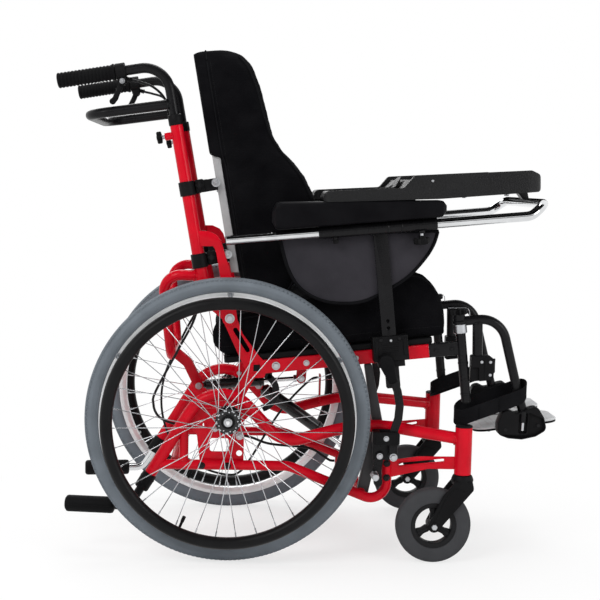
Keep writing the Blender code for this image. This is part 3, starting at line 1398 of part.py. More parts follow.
def plan(outline, low, high):
    """An upright prism over an outline in X and Y."""
    solid = plate(outline, -high, -low)
    solid.transform(Matrix.Rotation(-math.pi / 2, 4, "X"))
    return tidy(solid)


def tray_outline(inset):
    """The tray's plan: a rounded rectangle with the belly cut-out at the rear."""
    half = TRAY_HALF - inset
    front, rear = TRAY_FRONT - inset, TRAY_REAR + inset
    belly = BELLY_HALF + inset
    corner = 0.035 - inset / 2
    path = [(rear, -belly, 0), (rear, -half, 0), (front, -half, 0), (front, half, 0), (rear, half, 0)]
    path = rounded([*path, (rear, belly, 0)], (0.018, corner, corner, 0.018))
    loop = [(spot.x, spot.y) for spot in path]
    centre = BELLY_FRONT - BELLY_HALF
    for step in range(9):
        turn = math.pi / 2 - math.pi * step / 8
        loop.append((centre + belly * math.cos(turn), belly * math.sin(turn)))
    return loop


def tray():
    """A moulded tray: low rear wings, a raised front table and a rim round the recess."""
    top = [(0.172, 0.712), (0.180, 0.731), (0.330, 0.741), (0.350, 0.765), (0.577, 0.781), (0.599, 0.771)]
    side = plate([*top, (TRAY_FRONT, 0.741), (0.186, 0.711)], -TRAY_HALF - 0.01, TRAY_HALF + 0.01)
    slab = common(side, plan(tray_outline(0), 0.60, 0.90))
    floor = [(0.150, 0.7215), (0.335, 0.7335), (0.356, 0.7575), (0.620, 0.7745), (0.620, 0.85), (0.150, 0.85)]
    room = common(plate(floor, -0.3, 0.3), plan(tray_outline(TRAY_RIM), 0.60, 0.90))
    return cut(slab, room)


def tray_frame():
    """The chromed tube that slides in both arm sleeves, with the bracket under the tray."""
    x = 0.585
    corners = [(ARM_X, -ARM_Y, arm_z(ARM_X)), (x, -ARM_Y, arm_z(x)), (0.615, -ARM_Y + 0.011, 0.7165)]
    other = [(x, -y, z) for x, y, z in reversed(corners)]
    tube = pipe(rounded(corners + other, (0.03, 0.04, 0.04, 0.03)), TRAY_TUBE)
    under = 0.0003
    outline = [(0.470, 0.7315 - under), (0.600, 0.7407 - under), (0.618, 0.741), (0.624, 0.7165)]
    outline += [(0.614, 0.7165), (0.600, 0.7347), (0.470, 0.7255)]
    bracket = plate(outline, -0.015, 0.015)
    return fuse(tube, bracket)


def hanger_tube():
    y = -HANGER_Y
    start_x, start_z = seat_point(PIVOT_D, 0.0532)
    corners = [(start_x, y, start_z), (0.5415, y, 0.487), (0.578, y, 0.348), (0.595, y, 0.291)]
    return pipe(rounded(corners, (0.05, 0.12)), HANGER_TUBE)


def foot_holder():
    """The moulded foot of the hanger: a dome with a slot, open towards the footplate's hinge."""
    outline = [(0.541, 0.252), (0.562, 0.2445), (0.590, 0.2425), (0.618, 0.249), (0.640, 0.263)]
    outline += [(0.634, 0.287), (0.620, 0.310), (0.604, 0.306), (0.590, 0.299), (0.575, 0.296)]
    outline += [(0.561, 0.303), (0.549, 0.299), (0.540, 0.274)]
    dome = plate(outline, -HANGER_Y + 0.0145, -HANGER_Y - 0.018)
    window = block((0.5845, -HANGER_Y - 0.011, 0.257), (0.5985, -HANGER_Y - 0.03, 0.286))
    return cut(dome, window)


def pitched(mesh):
    """Turns a shape drawn level about the footplate's hinge to the plate's pitch."""
    hinge = Vector((FOOT_HINGE_X, 0, FOOT_HINGE_Z))
    mesh.transform(
        Matrix.Translation(hinge) @ Matrix.Rotation(-FOOT_PITCH, 4, "Y") @ Matrix.Translation(-hinge)
    )
    return mesh


def foot_ears():
    """Two lugs on the holder with the footplate's hinge pin between them."""
    y, z = -FOOT_HINGE_Y, FOOT_HINGE_Z
    pieces = []
    for start, end in (EAR_REAR, EAR_FRONT):
        pieces.append(rod((start, y, z), (end, y, z), FOOT_EAR, THIN_SIDES))
        pieces.append(block((start + 0.0005, y - 0.012, z - 0.0052), (end - 0.0005, y, z + 0.0052)))
    pieces.append(rod((EAR_REAR[0] + 0.002, y, z), (EAR_FRONT[1] - 0.002, y, z), FOOT_PIN, THIN_SIDES))
    return [pitched(piece) for piece in pieces]


def hanger():
    """Collar, knob, bent tube, stub with its clamp, and the footplate's holder."""
    y = -HANGER_Y
    low, top = (Vector((*seat_point(PIVOT_D, h), y)).xzy for h in (PIVOT_COLLAR_LOW, 0.070))
    collar = rod(low, top, 0.0135, FINE_SIDES)
    way = (top - low).normalized()
    knob = star_knob(top - way * 0.001, top + way * 0.014, 0.0135)
    stub = rod((0.4950, y, 0.478), (0.4970, y, 0.400), FOOT_TUBE)
    clamp_outline = [(0.4835, 0.357), (0.529, 0.362), (0.529, 0.404), (0.521, 0.410), (0.4835, 0.410)]
    clamp = plate(clamp_outline, y + 0.014, y - 0.014)
    notch = block((0.484 - 0.01, y - 0.03, 0.350), (0.4985, y - 0.008, 0.386))
    shape = fuse(hanger_tube(), collar, knob, stub, cut(clamp, notch), foot_holder(), *foot_ears())
    hole = rod(low - way * 0.01, top + way * 0.0085, flats_at(PIVOT_PIN + RUNNING_GAP, TUBE_SIDES))
    return cut(shape, hole)


def footplate():
    """The ribbed plate, rounded in plan, with its hinge barrel at the outer edge."""
    y, z = -FOOT_HINGE_Y, FOOT_HINGE_Z
    top, bottom = z - 0.004, z - 0.004 - FOOT_THICK
    outer = FOOT_HINGE_Y - 0.009
    corners = [(0.586, -FOOT_NEAR, 0), (FOOT_REAR, -FOOT_NEAR, 0), (FOOT_REAR, -outer, 0)]
    corners += [(FOOT_FRONT_LOCAL, -outer, 0), (FOOT_FRONT_LOCAL, -FOOT_NEAR, 0), (0.586, -FOOT_NEAR, 0)]
    path = rounded(corners, (0.020, 0.030, 0.020, 0.045))
    deck = plan([(spot.x, spot.y) for spot in path[:-1]], bottom, top)
    ribs = []
    for number in range(4):
        rib_x = 0.530 + 0.034 * number
        low_corner = (rib_x, -outer + 0.012, bottom - 0.003)
        ribs.append(block(low_corner, (rib_x + 0.004, -FOOT_NEAR - 0.014, bottom + 0.001)))
    start, end = EAR_REAR[1] + RUNNING_GAP, EAR_FRONT[0] - RUNNING_GAP
    root = block((start, y, z - 0.0116), (end, -outer + 0.006, z - 0.0044))
    barrel = rod((start, y, z), (end, y, z), 0.0075, THIN_SIDES)
    hole = rod((start - 0.002, y, z), (end + 0.002, y, z), flats_at(FOOT_PIN + GAP, THIN_SIDES), THIN_SIDES)
    return pitched(cut(fuse(deck, root, barrel, *ribs), hole))


def heel_strap():
    """The webbing loop behind the heel, round the hanger's tubes."""
    rear_x, front_x = 0.474, 0.5783
    outer, inner = 0.021, 0.0185
    rise = 0.38
    loops = []
    for radius in (outer, inner):
        loop = []
        for centre, first in ((front_x, -math.pi / 2), (rear_x, math.pi / 2)):
            for step in range(9):
                turn = first + math.pi * step / 8
                loop.append((centre + radius * math.cos(turn), -HANGER_Y + radius * math.sin(turn)))
        loops.append(loop)
    half_height = 0.015
    middle = 0.283
    band = cut(plan(loops[0], middle - half_height, middle + half_height), plan(loops[1], 0.2, 0.4))
    for vert in band.vertices:
        vert.co.z += (vert.co.x - 0.462) * rise
    return band


def smooth_route(points, spacing):
    """Even points along a smooth curve through the route's own points."""
    points = [Vector(point) for point in points]
    padded = [points[0] * 2 - points[1], *points, points[-1] * 2 - points[-2]]
    fine = []
    for p0, p1, p2, p3 in zip(padded, padded[1:], padded[2:], padded[3:]):
        for step in range(16):
            t = step / 16
            fine.append(
                p1
                + (p2 - p0) * 0.5 * t
                + (p0 * 2 - p1 * 5 + p2 * 4 - p3) * 0.5 * t**2
                + (p1 * 3 - p0 - p2 * 3 + p3) * 0.5 * t**3
            )
    fine.append(points[-1])
    total = sum((b - a).length for a, b in zip(fine, fine[1:]))
    count = max(2, round(total / spacing))
    even, walked, target = [fine[0]], 0.0, total / count
    for before, after in zip(fine, fine[1:]):
        length = (after - before).length
        while walked + length >= target - 1e-9 and len(even) < count:
            even.append(before.lerp(after, (target - walked) / length))
            target += total / count
        walked += length
    return [*even, fine[-1]]


RIGHT_CABLE = (
    (-0.2002, -0.172, 0.9372), (-0.192, -0.172, 0.9357), (-0.182, -0.170, 0.9333), (-0.160, -0.160, 0.926),
    (-0.138, -0.152, 0.905), (-0.128, -0.150, 0.870), (-0.113, -0.149, 0.840), (-0.093, -0.148, 0.735),
    (-0.066, -0.148, 0.590), (-0.064, -0.149, 0.520), (-0.073, -0.149, 0.470), (-0.102, -0.148, 0.410),
    (-0.147, -0.146, 0.322), (-0.151, -0.146, 0.296), (-0.145, -0.147, 0.277), (-0.131, -0.150, 0.265),
    (-0.104, -0.154, 0.257), (-0.040, -0.156, 0.247), (0.039, -0.157, 0.235), (0.084, -0.158, 0.221),
    (0.162, -0.160, 0.214), (0.190, -0.1630, 0.200), (0.206, -0.165, 0.1905), (0.2155, -0.165, 0.190),
)
LEFT_CABLE = (
    (-0.2002, 0.172, 0.9372), (-0.192, 0.172, 0.9357), (-0.182, 0.170, 0.9333), (-0.160, 0.160, 0.926),
    (-0.138, 0.152, 0.905), (-0.128, 0.150, 0.870), (-0.113, 0.149, 0.840), (-0.093, 0.148, 0.735),
    (-0.066, 0.148, 0.590), (-0.064, 0.149, 0.520), (-0.073, 0.149, 0.470), (-0.102, 0.148, 0.410),
    (-0.143, 0.147, 0.320), (-0.152, 0.148, 0.250), (-0.138, 0.150, 0.185), (-0.105, 0.151, 0.135),
    (-0.050, 0.150, 0.101), (0.000, 0.148, 0.089), (0.027, 0.148, 0.097), (0.052, 0.149, 0.131),
    (0.082, 0.151, 0.183), (0.110, 0.154, 0.228), (0.137, 0.158, 0.262), (0.168, 0.163, 0.294),
    (0.188, 0.165, 0.3095), (0.1990, 0.165, 0.310),
)


def brake_cable(route):
    """The outer cable from the hand lever down the post and along the frame to its stop."""
    return pipe(smooth_route(route, 0.032), CABLE, CABLE_SIDES)


def triangles(mesh):
    return sum(len(face.vertices) - 2 for face in mesh.polygons)


def pair(name, mesh, carriers, look):
    """A right part and its mirror image, each on its own side's body."""
    plain_faces(mesh)
    left = mirrored(mesh)
    place(name + "_R", mesh, carriers["R"], look)
    place(name + "_L", left, carriers["L"], look)


def both_sides(name, x, y, z, parents):
    """A pair of bodies: parents is one body for both, or one for each side."""
    made = {}
    for side, way in SIDES:
        parent = parents[side] if isinstance(parents, dict) else parents
        made[side] = body(f"{name}_{side}", x, way * y, z, parent)
    return made


def build_base(base):
    on_base = {"R": base, "L": base}
    part("side_frame_R", side_frame(right_cable_tab()), base, RED)
    part("side_frame_L", mirrored(side_frame(left_cable_tab())), base, RED)
    part("rear_cross_tube", rear_cross_tube(), base, RED)
    part("front_cross_tube", front_cross_tube(), base, RED)
    pair("axle", axle(), on_base, STEEL)
    pair("tipping_lever", tipping_lever(), on_base, DARK_METAL)
    pair("brake_bracket", brake_bracket(), on_base, BLACK)
    part("brake_cable_R", brake_cable(RIGHT_CABLE), base, RUBBER)
    part("brake_cable_L", brake_cable(LEFT_CABLE), base, RUBBER)
    tilt_low = body("tilt_rod_pin", TILT_LOW_X, TILT_SPRING_Y, TILT_LOW_Z, base)
    part("tilt_rod", tilt_rod(), tilt_low, STEEL)


def build_wheels(base):
    rear = both_sides("rear_wheel_axis", 0, TYRE_Y, WHEEL_RADIUS, base)
    pair("rear_tyre", rear_tyre(), rear, TYRE_GREY)
    pair("rear_wheel", rear_wheel(), rear, CHROME)
    pair("handrim", handrim(), rear, BLACK)
    swivel = both_sides("caster_swivel", FORK_X, FORK_Y, HEAD_BOTTOM, base)
    spin = both_sides("caster_axis", CASTER_X, FORK_Y, CASTER_RADIUS, swivel)
    pair("caster_fork", caster_fork(), swivel, BLACK)
    pair("caster_wheel", caster_wheel(), spin, RUBBER)


def build_parking_brakes(base):
    levers = both_sides("brake_lever_pivot", BRAKE_LEVER_X, BRAKE_LEVER_NEAR, BRAKE_LEVER_Z, base)
    shoes = both_sides("brake_shoe_pivot", BRAKE_SHOE_X, BRAKE_SHOE_NEAR, BRAKE_SHOE_Z, base)
    pair("brake_lever", brake_lever(), levers, DARK_METAL)
    pair("brake_shoe", brake_shoe(), shoes, BLACK)


def build_seat(seat):
    on_seat = {"R": seat, "L": seat}
    part("seat_frame", seat_frame(), seat, RED)
    part("seat_pan", seat_pan(), seat, BLACK)
    part("seat_cushion", seat_cushion(), seat, FABRIC)
    part("tilt_stop_plate", tilt_stop_plate(), seat, DARK_METAL)
    pair("arm_receiver", arm_receiver(), on_seat, BLACK)
    pair("hanger_mount", hanger_mount(), on_seat, DARK_METAL)
    tilt_top = body("tilt_cylinder_pin", TILT_TOP_X, TILT_SPRING_Y, TILT_TOP_Z, seat)
    part("tilt_cylinder", tilt_cylinder(), tilt_top, BLACK)
    recline_front = body("recline_rod_pin", RECLINE_SEAT_X, RECLINE_SPRING_Y, RECLINE_SEAT_Z, seat)
    part("recline_rod", recline_rod(), recline_front, STEEL)


def build_arms(seat):
    x, z = seat_point(UPRIGHT_D, 0)
    arms = both_sides("arm_height", x, UPRIGHT_NEAR, z, seat)
    pair("arm_frame", arm_frame(), arms, DARK_METAL)
    pair("arm_pad", arm_pad(), arms, BLACK)
    pair("side_panel", side_panel(), arms, CHARCOAL)
    slide = body("tray_slide", ARM_X, -ARM_Y, ARM_Z, arms["R"])
    part("tray", tray(), slide, BLACK)
    part("tray_frame", tray_frame(), slide, CHROME)


def build_footrests(seat):
    x, z = seat_point(PIVOT_D, PIVOT_COLLAR_LOW)
    swing = both_sides("hanger_swing", x, HANGER_Y, z, seat)
    pair("hanger", hanger(), swing, DARK_METAL)
    pair("heel_strap", heel_strap(), swing, FABRIC)
    flip = both_sides("footplate_hinge", FOOT_HINGE_X, FOOT_HINGE_Y, FOOT_HINGE_Z, swing)
    pair("footplate", footplate(), flip, FOOT_GREY)


def build_back(seat):
    back = body("back_pivot", RECLINE_X, 0, RECLINE_Z, seat)
    part("back_frame", back_frame(), back, RED)
    part("back_board", back_board(), back, GREY_BOARD)
    part("back_cushion", back_cushion(), back, FABRIC)
    rear_pin = body("recline_cylinder_pin", RECLINE_BACK_X, RECLINE_SPRING_Y, RECLINE_BACK_Z, back)
    part("recline_cylinder", recline_cylinder(), rear_pin, BLACK)
    handle = body("handle_height", POST_X, 0, POST_Z, back)
    part("push_handle", push_handle(), handle, DARK_METAL)
    pair("hand_grip", hand_grip(), {"R": handle, "L": handle}, BLACK)
    levers = both_sides("hand_lever_pivot", LEVER_X, POST_Y, LEVER_Z, handle)
    pair("hand_lever", hand_lever(), levers, BLACK)


def main():
    clear_scene()
    base = body("base", 0, 0, 0)
    build_base(base)
    build_wheels(base)
    build_parking_brakes(base)
    seat = body("seat_pivot", TILT_X, 0, TILT_Z, base)
    build_seat(seat)
    build_arms(seat)
    build_footrests(seat)
    build_back(seat)
    solids = [thing for thing in bpy.data.objects if thing.type == "MESH"]
    print(len(solids), "sub-parts,", sum(triangles(thing.data) for thing in solids), "triangles")


main()
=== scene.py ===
import json
from math import atan2, ceil, copysign, cos, degrees, pi, radians, sin, sqrt, tan

import bmesh
import bpy
from mathutils import Matrix, Vector
from mathutils.bvhtree import BVHTree

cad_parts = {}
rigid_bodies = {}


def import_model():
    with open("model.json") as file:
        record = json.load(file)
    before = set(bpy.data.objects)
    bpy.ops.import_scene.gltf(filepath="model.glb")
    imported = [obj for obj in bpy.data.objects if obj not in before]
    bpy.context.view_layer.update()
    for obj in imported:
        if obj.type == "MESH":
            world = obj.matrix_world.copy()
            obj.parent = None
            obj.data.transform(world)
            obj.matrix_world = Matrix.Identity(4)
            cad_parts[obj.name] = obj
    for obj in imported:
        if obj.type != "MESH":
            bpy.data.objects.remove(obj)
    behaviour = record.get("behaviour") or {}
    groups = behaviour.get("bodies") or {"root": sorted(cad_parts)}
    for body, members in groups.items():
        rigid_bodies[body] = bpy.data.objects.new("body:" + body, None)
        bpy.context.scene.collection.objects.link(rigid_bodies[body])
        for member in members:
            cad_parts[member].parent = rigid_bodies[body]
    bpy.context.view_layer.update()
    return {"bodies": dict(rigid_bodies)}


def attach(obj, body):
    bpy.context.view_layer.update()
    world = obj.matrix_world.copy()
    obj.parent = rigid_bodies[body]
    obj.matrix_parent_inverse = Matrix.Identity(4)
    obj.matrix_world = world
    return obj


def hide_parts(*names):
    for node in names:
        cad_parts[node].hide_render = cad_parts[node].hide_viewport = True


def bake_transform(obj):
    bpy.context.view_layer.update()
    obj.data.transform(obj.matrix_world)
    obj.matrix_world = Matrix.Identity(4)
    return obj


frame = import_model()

bl_info = {"name": "Positioning wheelchair", "version": (1, 0, 0), "blender": (4, 5, 0),
           "location": "View3D > Sidebar > Chair",
           "description": "Dresses the packed frame of a child's positioning wheelchair",
           "category": "Object"}

# The pieces are drawn with the rear axle at X = 0, and moved here when they are finished
AXLE_X = -.1635
SIDES = (("R", -1), ("L", 1))
ROUND = 24
FINE = 48
BEND_STEP = radians(6)
SMOOTH_ANGLE = radians(32)

SEAT_SLOPE = radians(6.6)
SEAT_REF = (.049, .3765)
POST_SLOPE = .188
POST_Y = .172
WHEEL_Z = .28
FRAME_Y = .185


def seat_point(d, h):
    """A point d forward and h up along the sloping seat, in X and Z."""
    x = SEAT_REF[0] + d * cos(SEAT_SLOPE) - h * sin(SEAT_SLOPE)
    z = SEAT_REF[1] + d * sin(SEAT_SLOPE) + h * cos(SEAT_SLOPE)
    return x, z


def on_post(z, y=-POST_Y):
    """The middle of a back post at this height."""
    return Vector((-.057 - (z - .554) * POST_SLOPE, y, z))


def board_x(z):
    """The back board's rear face at this height."""
    return -.002 - (z - .574) * .1839


def arm_z(x):
    """The middle of the arm's sleeve at this X."""
    return .631 + .1027 * (x + .011)


def rounded(corners, radii, step=BEND_STEP):
    """Straight runs with each inner corner bent to its radius."""
    corners = [Vector(corner) for corner in corners]
    points = [corners[0]]
    for before, corner, after, radius in zip(corners, corners[1:], corners[2:], radii):
        inward = (corner - before).normalized()
        onward = (after - corner).normalized()
        angle = inward.angle(onward)
        if radius == 0 or angle < 1e-3:
            points.append(corner)
            continue
        side = (onward - inward * inward.dot(onward)).normalized()
        centre = corner - inward * radius * tan(angle / 2) + side * radius
        steps = max(2, ceil(angle / step))
        for number in range(steps + 1):
            turn = angle * number / steps
            points.append(centre + (inward * sin(turn) - side * cos(turn)) * radius)
    points.append(corners[-1])
    return points


def soft_loop(outline, radius):
    """A flat closed outline with rounded corners."""
    count = len(outline)
    loop = []
    for number, corner in enumerate(outline):
        before, after = outline[number - 1], outline[(number + 1) % count]
        corner, before, after = (Vector((*p, 0)) for p in (corner, before, after))
        room = .45 * min((corner - before).length, (after - corner).length)
        inward, onward = (corner - before).normalized(), (after - corner).normalized()
        angle = inward.angle(onward)
        fit = min(radius, room / max(tan(angle / 2), 1e-6))
        bent = rounded([before, corner, after], [fit], radians(12))
        loop += [(p.x, p.y) for p in bent[1:-1]]
    return loop


def arc(x, z, radius, angles):
    """Points at these angles round a centre."""
    turns = [radians(angle) for angle in angles]
    return [(x + radius * cos(turn), z + radius * sin(turn)) for turn in turns]


def circle(x, z, radius):
    return arc(x, z, radius, range(0, 360, 360 // ROUND))


def slot(start, end, width):
    """A long hole with round ends."""
    (x1, z1), (x2, z2) = start, end
    along = round(degrees(atan2(z2 - z1, x2 - x1)), 9)
    half_turn = range(0, 181, 15)
    return (arc(x2, z2, width / 2, [along - 90 + angle for angle in half_turn])
            + arc(x1, z1, width / 2, [along + 90 + angle for angle in half_turn]))


def band(length, inner, outer, cut, drop):
    """The profile of a collar: (along, radius) pairs, its outer edges cut back."""
    return [(0, inner), (0, outer - drop), (cut, outer), (length - cut, outer), (length, outer - drop),
            (length, inner)]


def two_sided(half):
    """A profile and its reverse on the other side of the middle."""
    return half + [(-along, radius) for along, radius in reversed(half)]


def ribbon(points, half_width, bend=.02):
    """The outline of a bent flat bar with round ends."""
    bends = [bend] * (len(points) - 2)
    points = [Vector((p.x, p.y)) for p in rounded([(x, z, 0) for x, z in points], bends)]
    left, right = [], []
    for number, point in enumerate(points):
        before, after = points[max(number - 1, 0)], points[min(number + 1, len(points) - 1)]
        along = (after - before).normalized()
        aside = Vector((-along.y, along.x)) * half_width
        left.append(point + aside)
        right.append(point - aside)
    loop = []
    for row, end, before in ((left, points[-1], points[-2]), (right[::-1], points[0], points[1])):
        loop += row
        along = (end - before).normalized()
        aside = Vector((-along.y, along.x))
        for angle in range(75, -76, -15):
            turn = radians(angle)
            loop.append(end + (along * cos(turn) + aside * sin(turn)) * half_width)
    return [(spot.x, spot.y) for spot in loop]


def facing(start, way):
    """Turns +Z to a direction and moves the origin to start."""
    return Matrix.Translation(start) @ Vector(way).to_track_quat("Z", "Y").to_matrix().to_4x4()


def shown(name, data):
    made = bpy.data.objects.new(name, data)
    bpy.context.scene.collection.objects.link(made)
    return made


def evaluated(holder):
    """The mesh that an object shows."""
    graph = bpy.context.evaluated_depsgraph_get()
    return bpy.data.meshes.new_from_object(holder.evaluated_get(graph))


class Shape:
    """A piece under construction: closed forms in its main finish, look, or in others."""

    def __init__(self, look="enamel"):
        self.mesh = bmesh.new()
        self.look = look
        self.looks = []

    def index(self, look):
        look = look or self.look
        if look not in self.looks:
            self.looks.append(look)
        return self.looks.index(look)

    def rows(self, rings, closed=False, look=None):
        """Skins rings of equally many points, with flat ends unless closed."""
        index = self.index(look)
        rows = [[self.mesh.verts.new(point) for point in ring] for ring in rings]
        pairs = list(zip(rows, rows[1:])) + ([(rows[-1], rows[0])] if closed else [])
        for row, following in pairs:
            for number in range(len(row)):
                after = (number + 1) % len(row)
                quad = (row[number], row[after], following[after], following[number])
                self.mesh.faces.new(quad).material_index = index
        if not closed:
            self.mesh.faces.new(rows[0]).material_index = index
            self.mesh.faces.new(rows[-1]).material_index = index

    def tube(self, points, radius, bends=(), sides=ROUND, closed=False, edge=.0008, look=None):
        """A round bar through the points."""
        path = rounded(points, bends) if bends else [Vector(point) for point in points]
        reach = [radius] * len(path)
        if not closed:
            first, last = (path[1] - path[0]).normalized(), (path[-1] - path[-2]).normalized()
            path = [path[0], path[0] + first * edge, *path[1:-1], path[-1] - last * edge, path[-1]]
            reach = [reach[0] - edge, reach[0], *reach[1:-1], reach[-1], reach[-1] - edge]
        count = len(path)
        aside = None
        rings = []
        for number, point in enumerate(path):
            if closed:
                along = (path[(number + 1) % count] - path[number - 1]).normalized()
            else:
                along = (path[min(number + 1, count - 1)] - path[max(number - 1, 0)]).normalized()
            if aside is None:
                aside = along.orthogonal().normalized()
            aside = (aside - along * aside.dot(along)).normalized()
            other = along.cross(aside)
            turns = [2 * pi * step / sides for step in range(sides)]
            ring = [point + (aside * cos(t) + other * sin(t)) * reach[number] for t in turns]
            rings.append(ring)
        self.rows(rings, closed, look)

    def lathe(self, profile, start, way, steps=FINE, ring=False, look=None):
        """Spins (along, radius) pairs about an axis: a ring's profile closes on itself."""
        turned = facing(start, way)
        rings = []
        for along, radius in profile:
            turns = [2 * pi * step / steps for step in range(steps)]
            spots = [Vector((radius * cos(t), radius * sin(t), along)) for t in turns]
            rings.append([turned @ spot for spot in spots])
        self.rows(rings, ring, look)

    def rod(self, start, end, radius, sides=ROUND, edge=.0008, look=None):
        start, end = Vector(start), Vector(end)
        length = (end - start).length
        cut = min(edge, radius * .4, length * .4)
        profile = [(0, radius - cut), (cut, radius), (length - cut, radius), (length, radius - cut)]
        self.lathe(profile, start, end - start, sides, look=look)

    def across(self, x, z, near, far, radius, sides=ROUND, edge=.0008, look=None):
        self.rod((x, near, z), (x, far, z), radius, sides, edge, look)

    def slab(self, outline, near, far, holes=(), edge=.0008, turn=None, look=None):
        """A plate with softened edges: its outline in X and Z, from one Y to another."""
        curve = bpy.data.curves.new("slab", "CURVE")
        curve.dimensions = "2D"
        curve.fill_mode = "BOTH"
        curve.bevel_depth = edge
        curve.bevel_resolution = 2
        curve.offset = -edge
        curve.extrude = abs(far - near) / 2 - edge
        for loop in (outline, *holes):
            spline = curve.splines.new("POLY")
            spline.points.add(len(loop) - 1)
            for spot, (x, z) in zip(spline.points, loop):
                spot.co = (x, z, 0, 1)
            spline.use_cyclic_u = True
        holder = shown("slab", curve)
        mesh = evaluated(holder)
        bpy.data.objects.remove(holder)
        upright = Matrix.Translation((0, (near + far) / 2, 0)) @ Matrix.Rotation(pi / 2, 4, "X")
        mesh.transform((turn or Matrix.Identity(4)) @ upright)
        self.take(mesh, look)

    def plan(self, outline, low, high, holes=(), edge=.0008, turn=None, look=None):
        """An upright prism over an outline in X and Y."""
        laid = (turn or Matrix.Identity(4)) @ Matrix.Rotation(-pi / 2, 4, "X")
        self.slab(outline, -high, -low, holes, edge, laid, look)

    def block(self, low, high, edge=.0008, turn=None, look=None):
        (x1, y1, z1), (x2, y2, z2) = low, high
        self.slab([(x1, z1), (x2, z1), (x2, z2), (x1, z2)], y1, y2, (), edge, turn, look)

    def seat_block(self, d1, d2, h1, h2, near, far, edge=.0008, look=None):
        corners = ((d1, h1), (d2, h1), (d2, h2), (d1, h2))
        self.slab([seat_point(d, h) for d, h in corners], near, far, (), edge, look=look)

    def take(self, mesh, look=None):
        """Adds a mesh, all in one finish."""
        index = self.index(look)
        for face in mesh.polygons:
            face.material_index = index
        self.mesh.from_mesh(mesh)
        bpy.data.meshes.remove(mesh)

    def hexagon(self, start, way, radius, height, look="zinc"):
        """A bolt's head on its washer."""
        start, way = Vector(start), Vector(way).normalized()
        self.rod(start, start + way * .0012, radius * 1.28, ROUND, .0003, look)
        low, top = start + way * .001, start + way * height
        profile = [(0, radius), (height * .7, radius), (height, radius * .86)]
        self.lathe(profile, low, way, 6, look=look)
        self.rod(top, top + way * .0006, radius * .55, 16, .0002, look)

    def knob(self, start, way, radius, height, look="black_plastic", lobes=5):
        """A hand knob with round lobes and a domed top."""
        turned = facing(Vector(start), way)
        rings = []
        for along, share in ((0, .86), (.12, .97), (.3, 1), (.75, 1), (.92, .94), (1, .8)):
            ring = []
            for step in range(lobes * 16):
                turn = 2 * pi * step / (lobes * 16)
                lobe = .8 + .2 * cos(lobes * turn)
                reach = radius * share * lobe
                ring.append(turned @ Vector((reach * cos(turn), reach * sin(turn), along * height)))
            rings.append(ring)
        self.rows(rings, look=look)
        way = Vector(way).normalized()
        top = Vector(start) + way * height
        self.rod(top - way * .001, top + way * .0008, radius * .34, ROUND, .0004, look)

    def bolt(self, x, z, y, radius, height, look="zinc"):
        """A bolt's head that faces the near side."""
        self.hexagon((x, y, z), (0, -1, 0), radius, height, look)

    def mirrored(self):
        other = Shape(self.look)
        other.looks = list(self.looks)
        other.mesh = self.mesh.copy()
        for vert in other.mesh.verts:
            vert.co.y = -vert.co.y
        bmesh.ops.reverse_faces(other.mesh, faces=other.mesh.faces)
        return other

    def add(self, other):
        """Takes in another shape's forms."""
        mesh = bpy.data.meshes.new("other")
        other.mesh.to_mesh(mesh)
        renumbered = [self.index(look) for look in other.looks]
        for face in mesh.polygons:
            face.material_index = renumbered[face.material_index]
        self.mesh.from_mesh(mesh)
        bpy.data.meshes.remove(mesh)


def closed_mesh(name, shape):
    """The shape's mesh, merged and facing outwards."""
    bmesh.ops.remove_doubles(shape.mesh, verts=shape.mesh.verts, dist=2e-6)
    bmesh.ops.recalc_face_normals(shape.mesh, faces=shape.mesh.faces)
    mesh = bpy.data.meshes.new(name)
    shape.mesh.to_mesh(mesh)
    shape.mesh.free()
    return mesh


def formed(draw):
    """The mesh of a small form drawn by a function."""
    shape = Shape()
    draw(shape)
    return closed_mesh("form", shape)


def mesh_in_place(name, shape):
    """The finished mesh of a shape drawn in its place."""
    mesh = closed_mesh(name, shape)
    for look in shape.looks:
        mesh.materials.append(finish(look))
    mesh.shade_smooth()
    mesh.set_sharp_from_angle(angle=SMOOTH_ANGLE)
    return mesh


def both_sides(side):
    """One shape of a right side and its mirror image."""
    shape = side.mirrored()
    shape.add(side)
    side.mesh.free()
    return shape


def piece(name, shape, body, slot_name, *nodes):
    """A finished piece of the chair, drawn with the rear axle at X = 0."""
    bmesh.ops.translate(shape.mesh, verts=shape.mesh.verts, vec=(AXLE_X, 0, 0))
    made = shown(name, mesh_in_place(name, shape))
    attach(made, body)
    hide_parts(*nodes)
    return made


def pair(name, shape, bodies, slot_name, *nodes):
    """A right piece and its mirror image, on one body or each side's own."""
    other = shape.mirrored()
    for (side, _), form in zip(SIDES, (shape, other)):
        body = bodies if bodies in frame["bodies"] else f"{bodies}_{side}"
        piece(f"{name}_{side}", form, body, slot_name, *(f"{node}_{side}" for node in nodes))


class ChairLooks(bpy.types.PropertyGroup):
    """Colours and the scale of the fine patterns."""

    enamel: bpy.props.FloatVectorProperty(name="Frame enamel", description="Colour of the welded frame",
                                          subtype="COLOR", size=3, min=0, max=1, default=(.6, .002, .014))
    tyre: bpy.props.FloatVectorProperty(name="Rear tyres", description="Colour of the rear tyres' rubber",
                                        subtype="COLOR", size=3, min=0, max=1, default=(.15, .172, .195))
    cloth: bpy.props.FloatVectorProperty(name="Cushion cover",
                                         description="Colour of the knitted cushion covers", subtype="COLOR",
                                         size=3, min=0, max=1, default=(.0035, .0034, .0042))
    panel: bpy.props.FloatVectorProperty(name="Side guards",
                                         description="Colour of the grained skin on the side guards",
                                         subtype="COLOR", size=3, min=0, max=1, default=(.03, .028, .034))
    weave: bpy.props.FloatProperty(name="Weave scale", description="Threads to a metre in the cushion covers",
                                   min=200, max=3000, default=1100)
    pebble: bpy.props.FloatProperty(name="Tray grain", description="Pebbles to a metre on the moulded tray",
                                    min=100, max=1500, default=420)


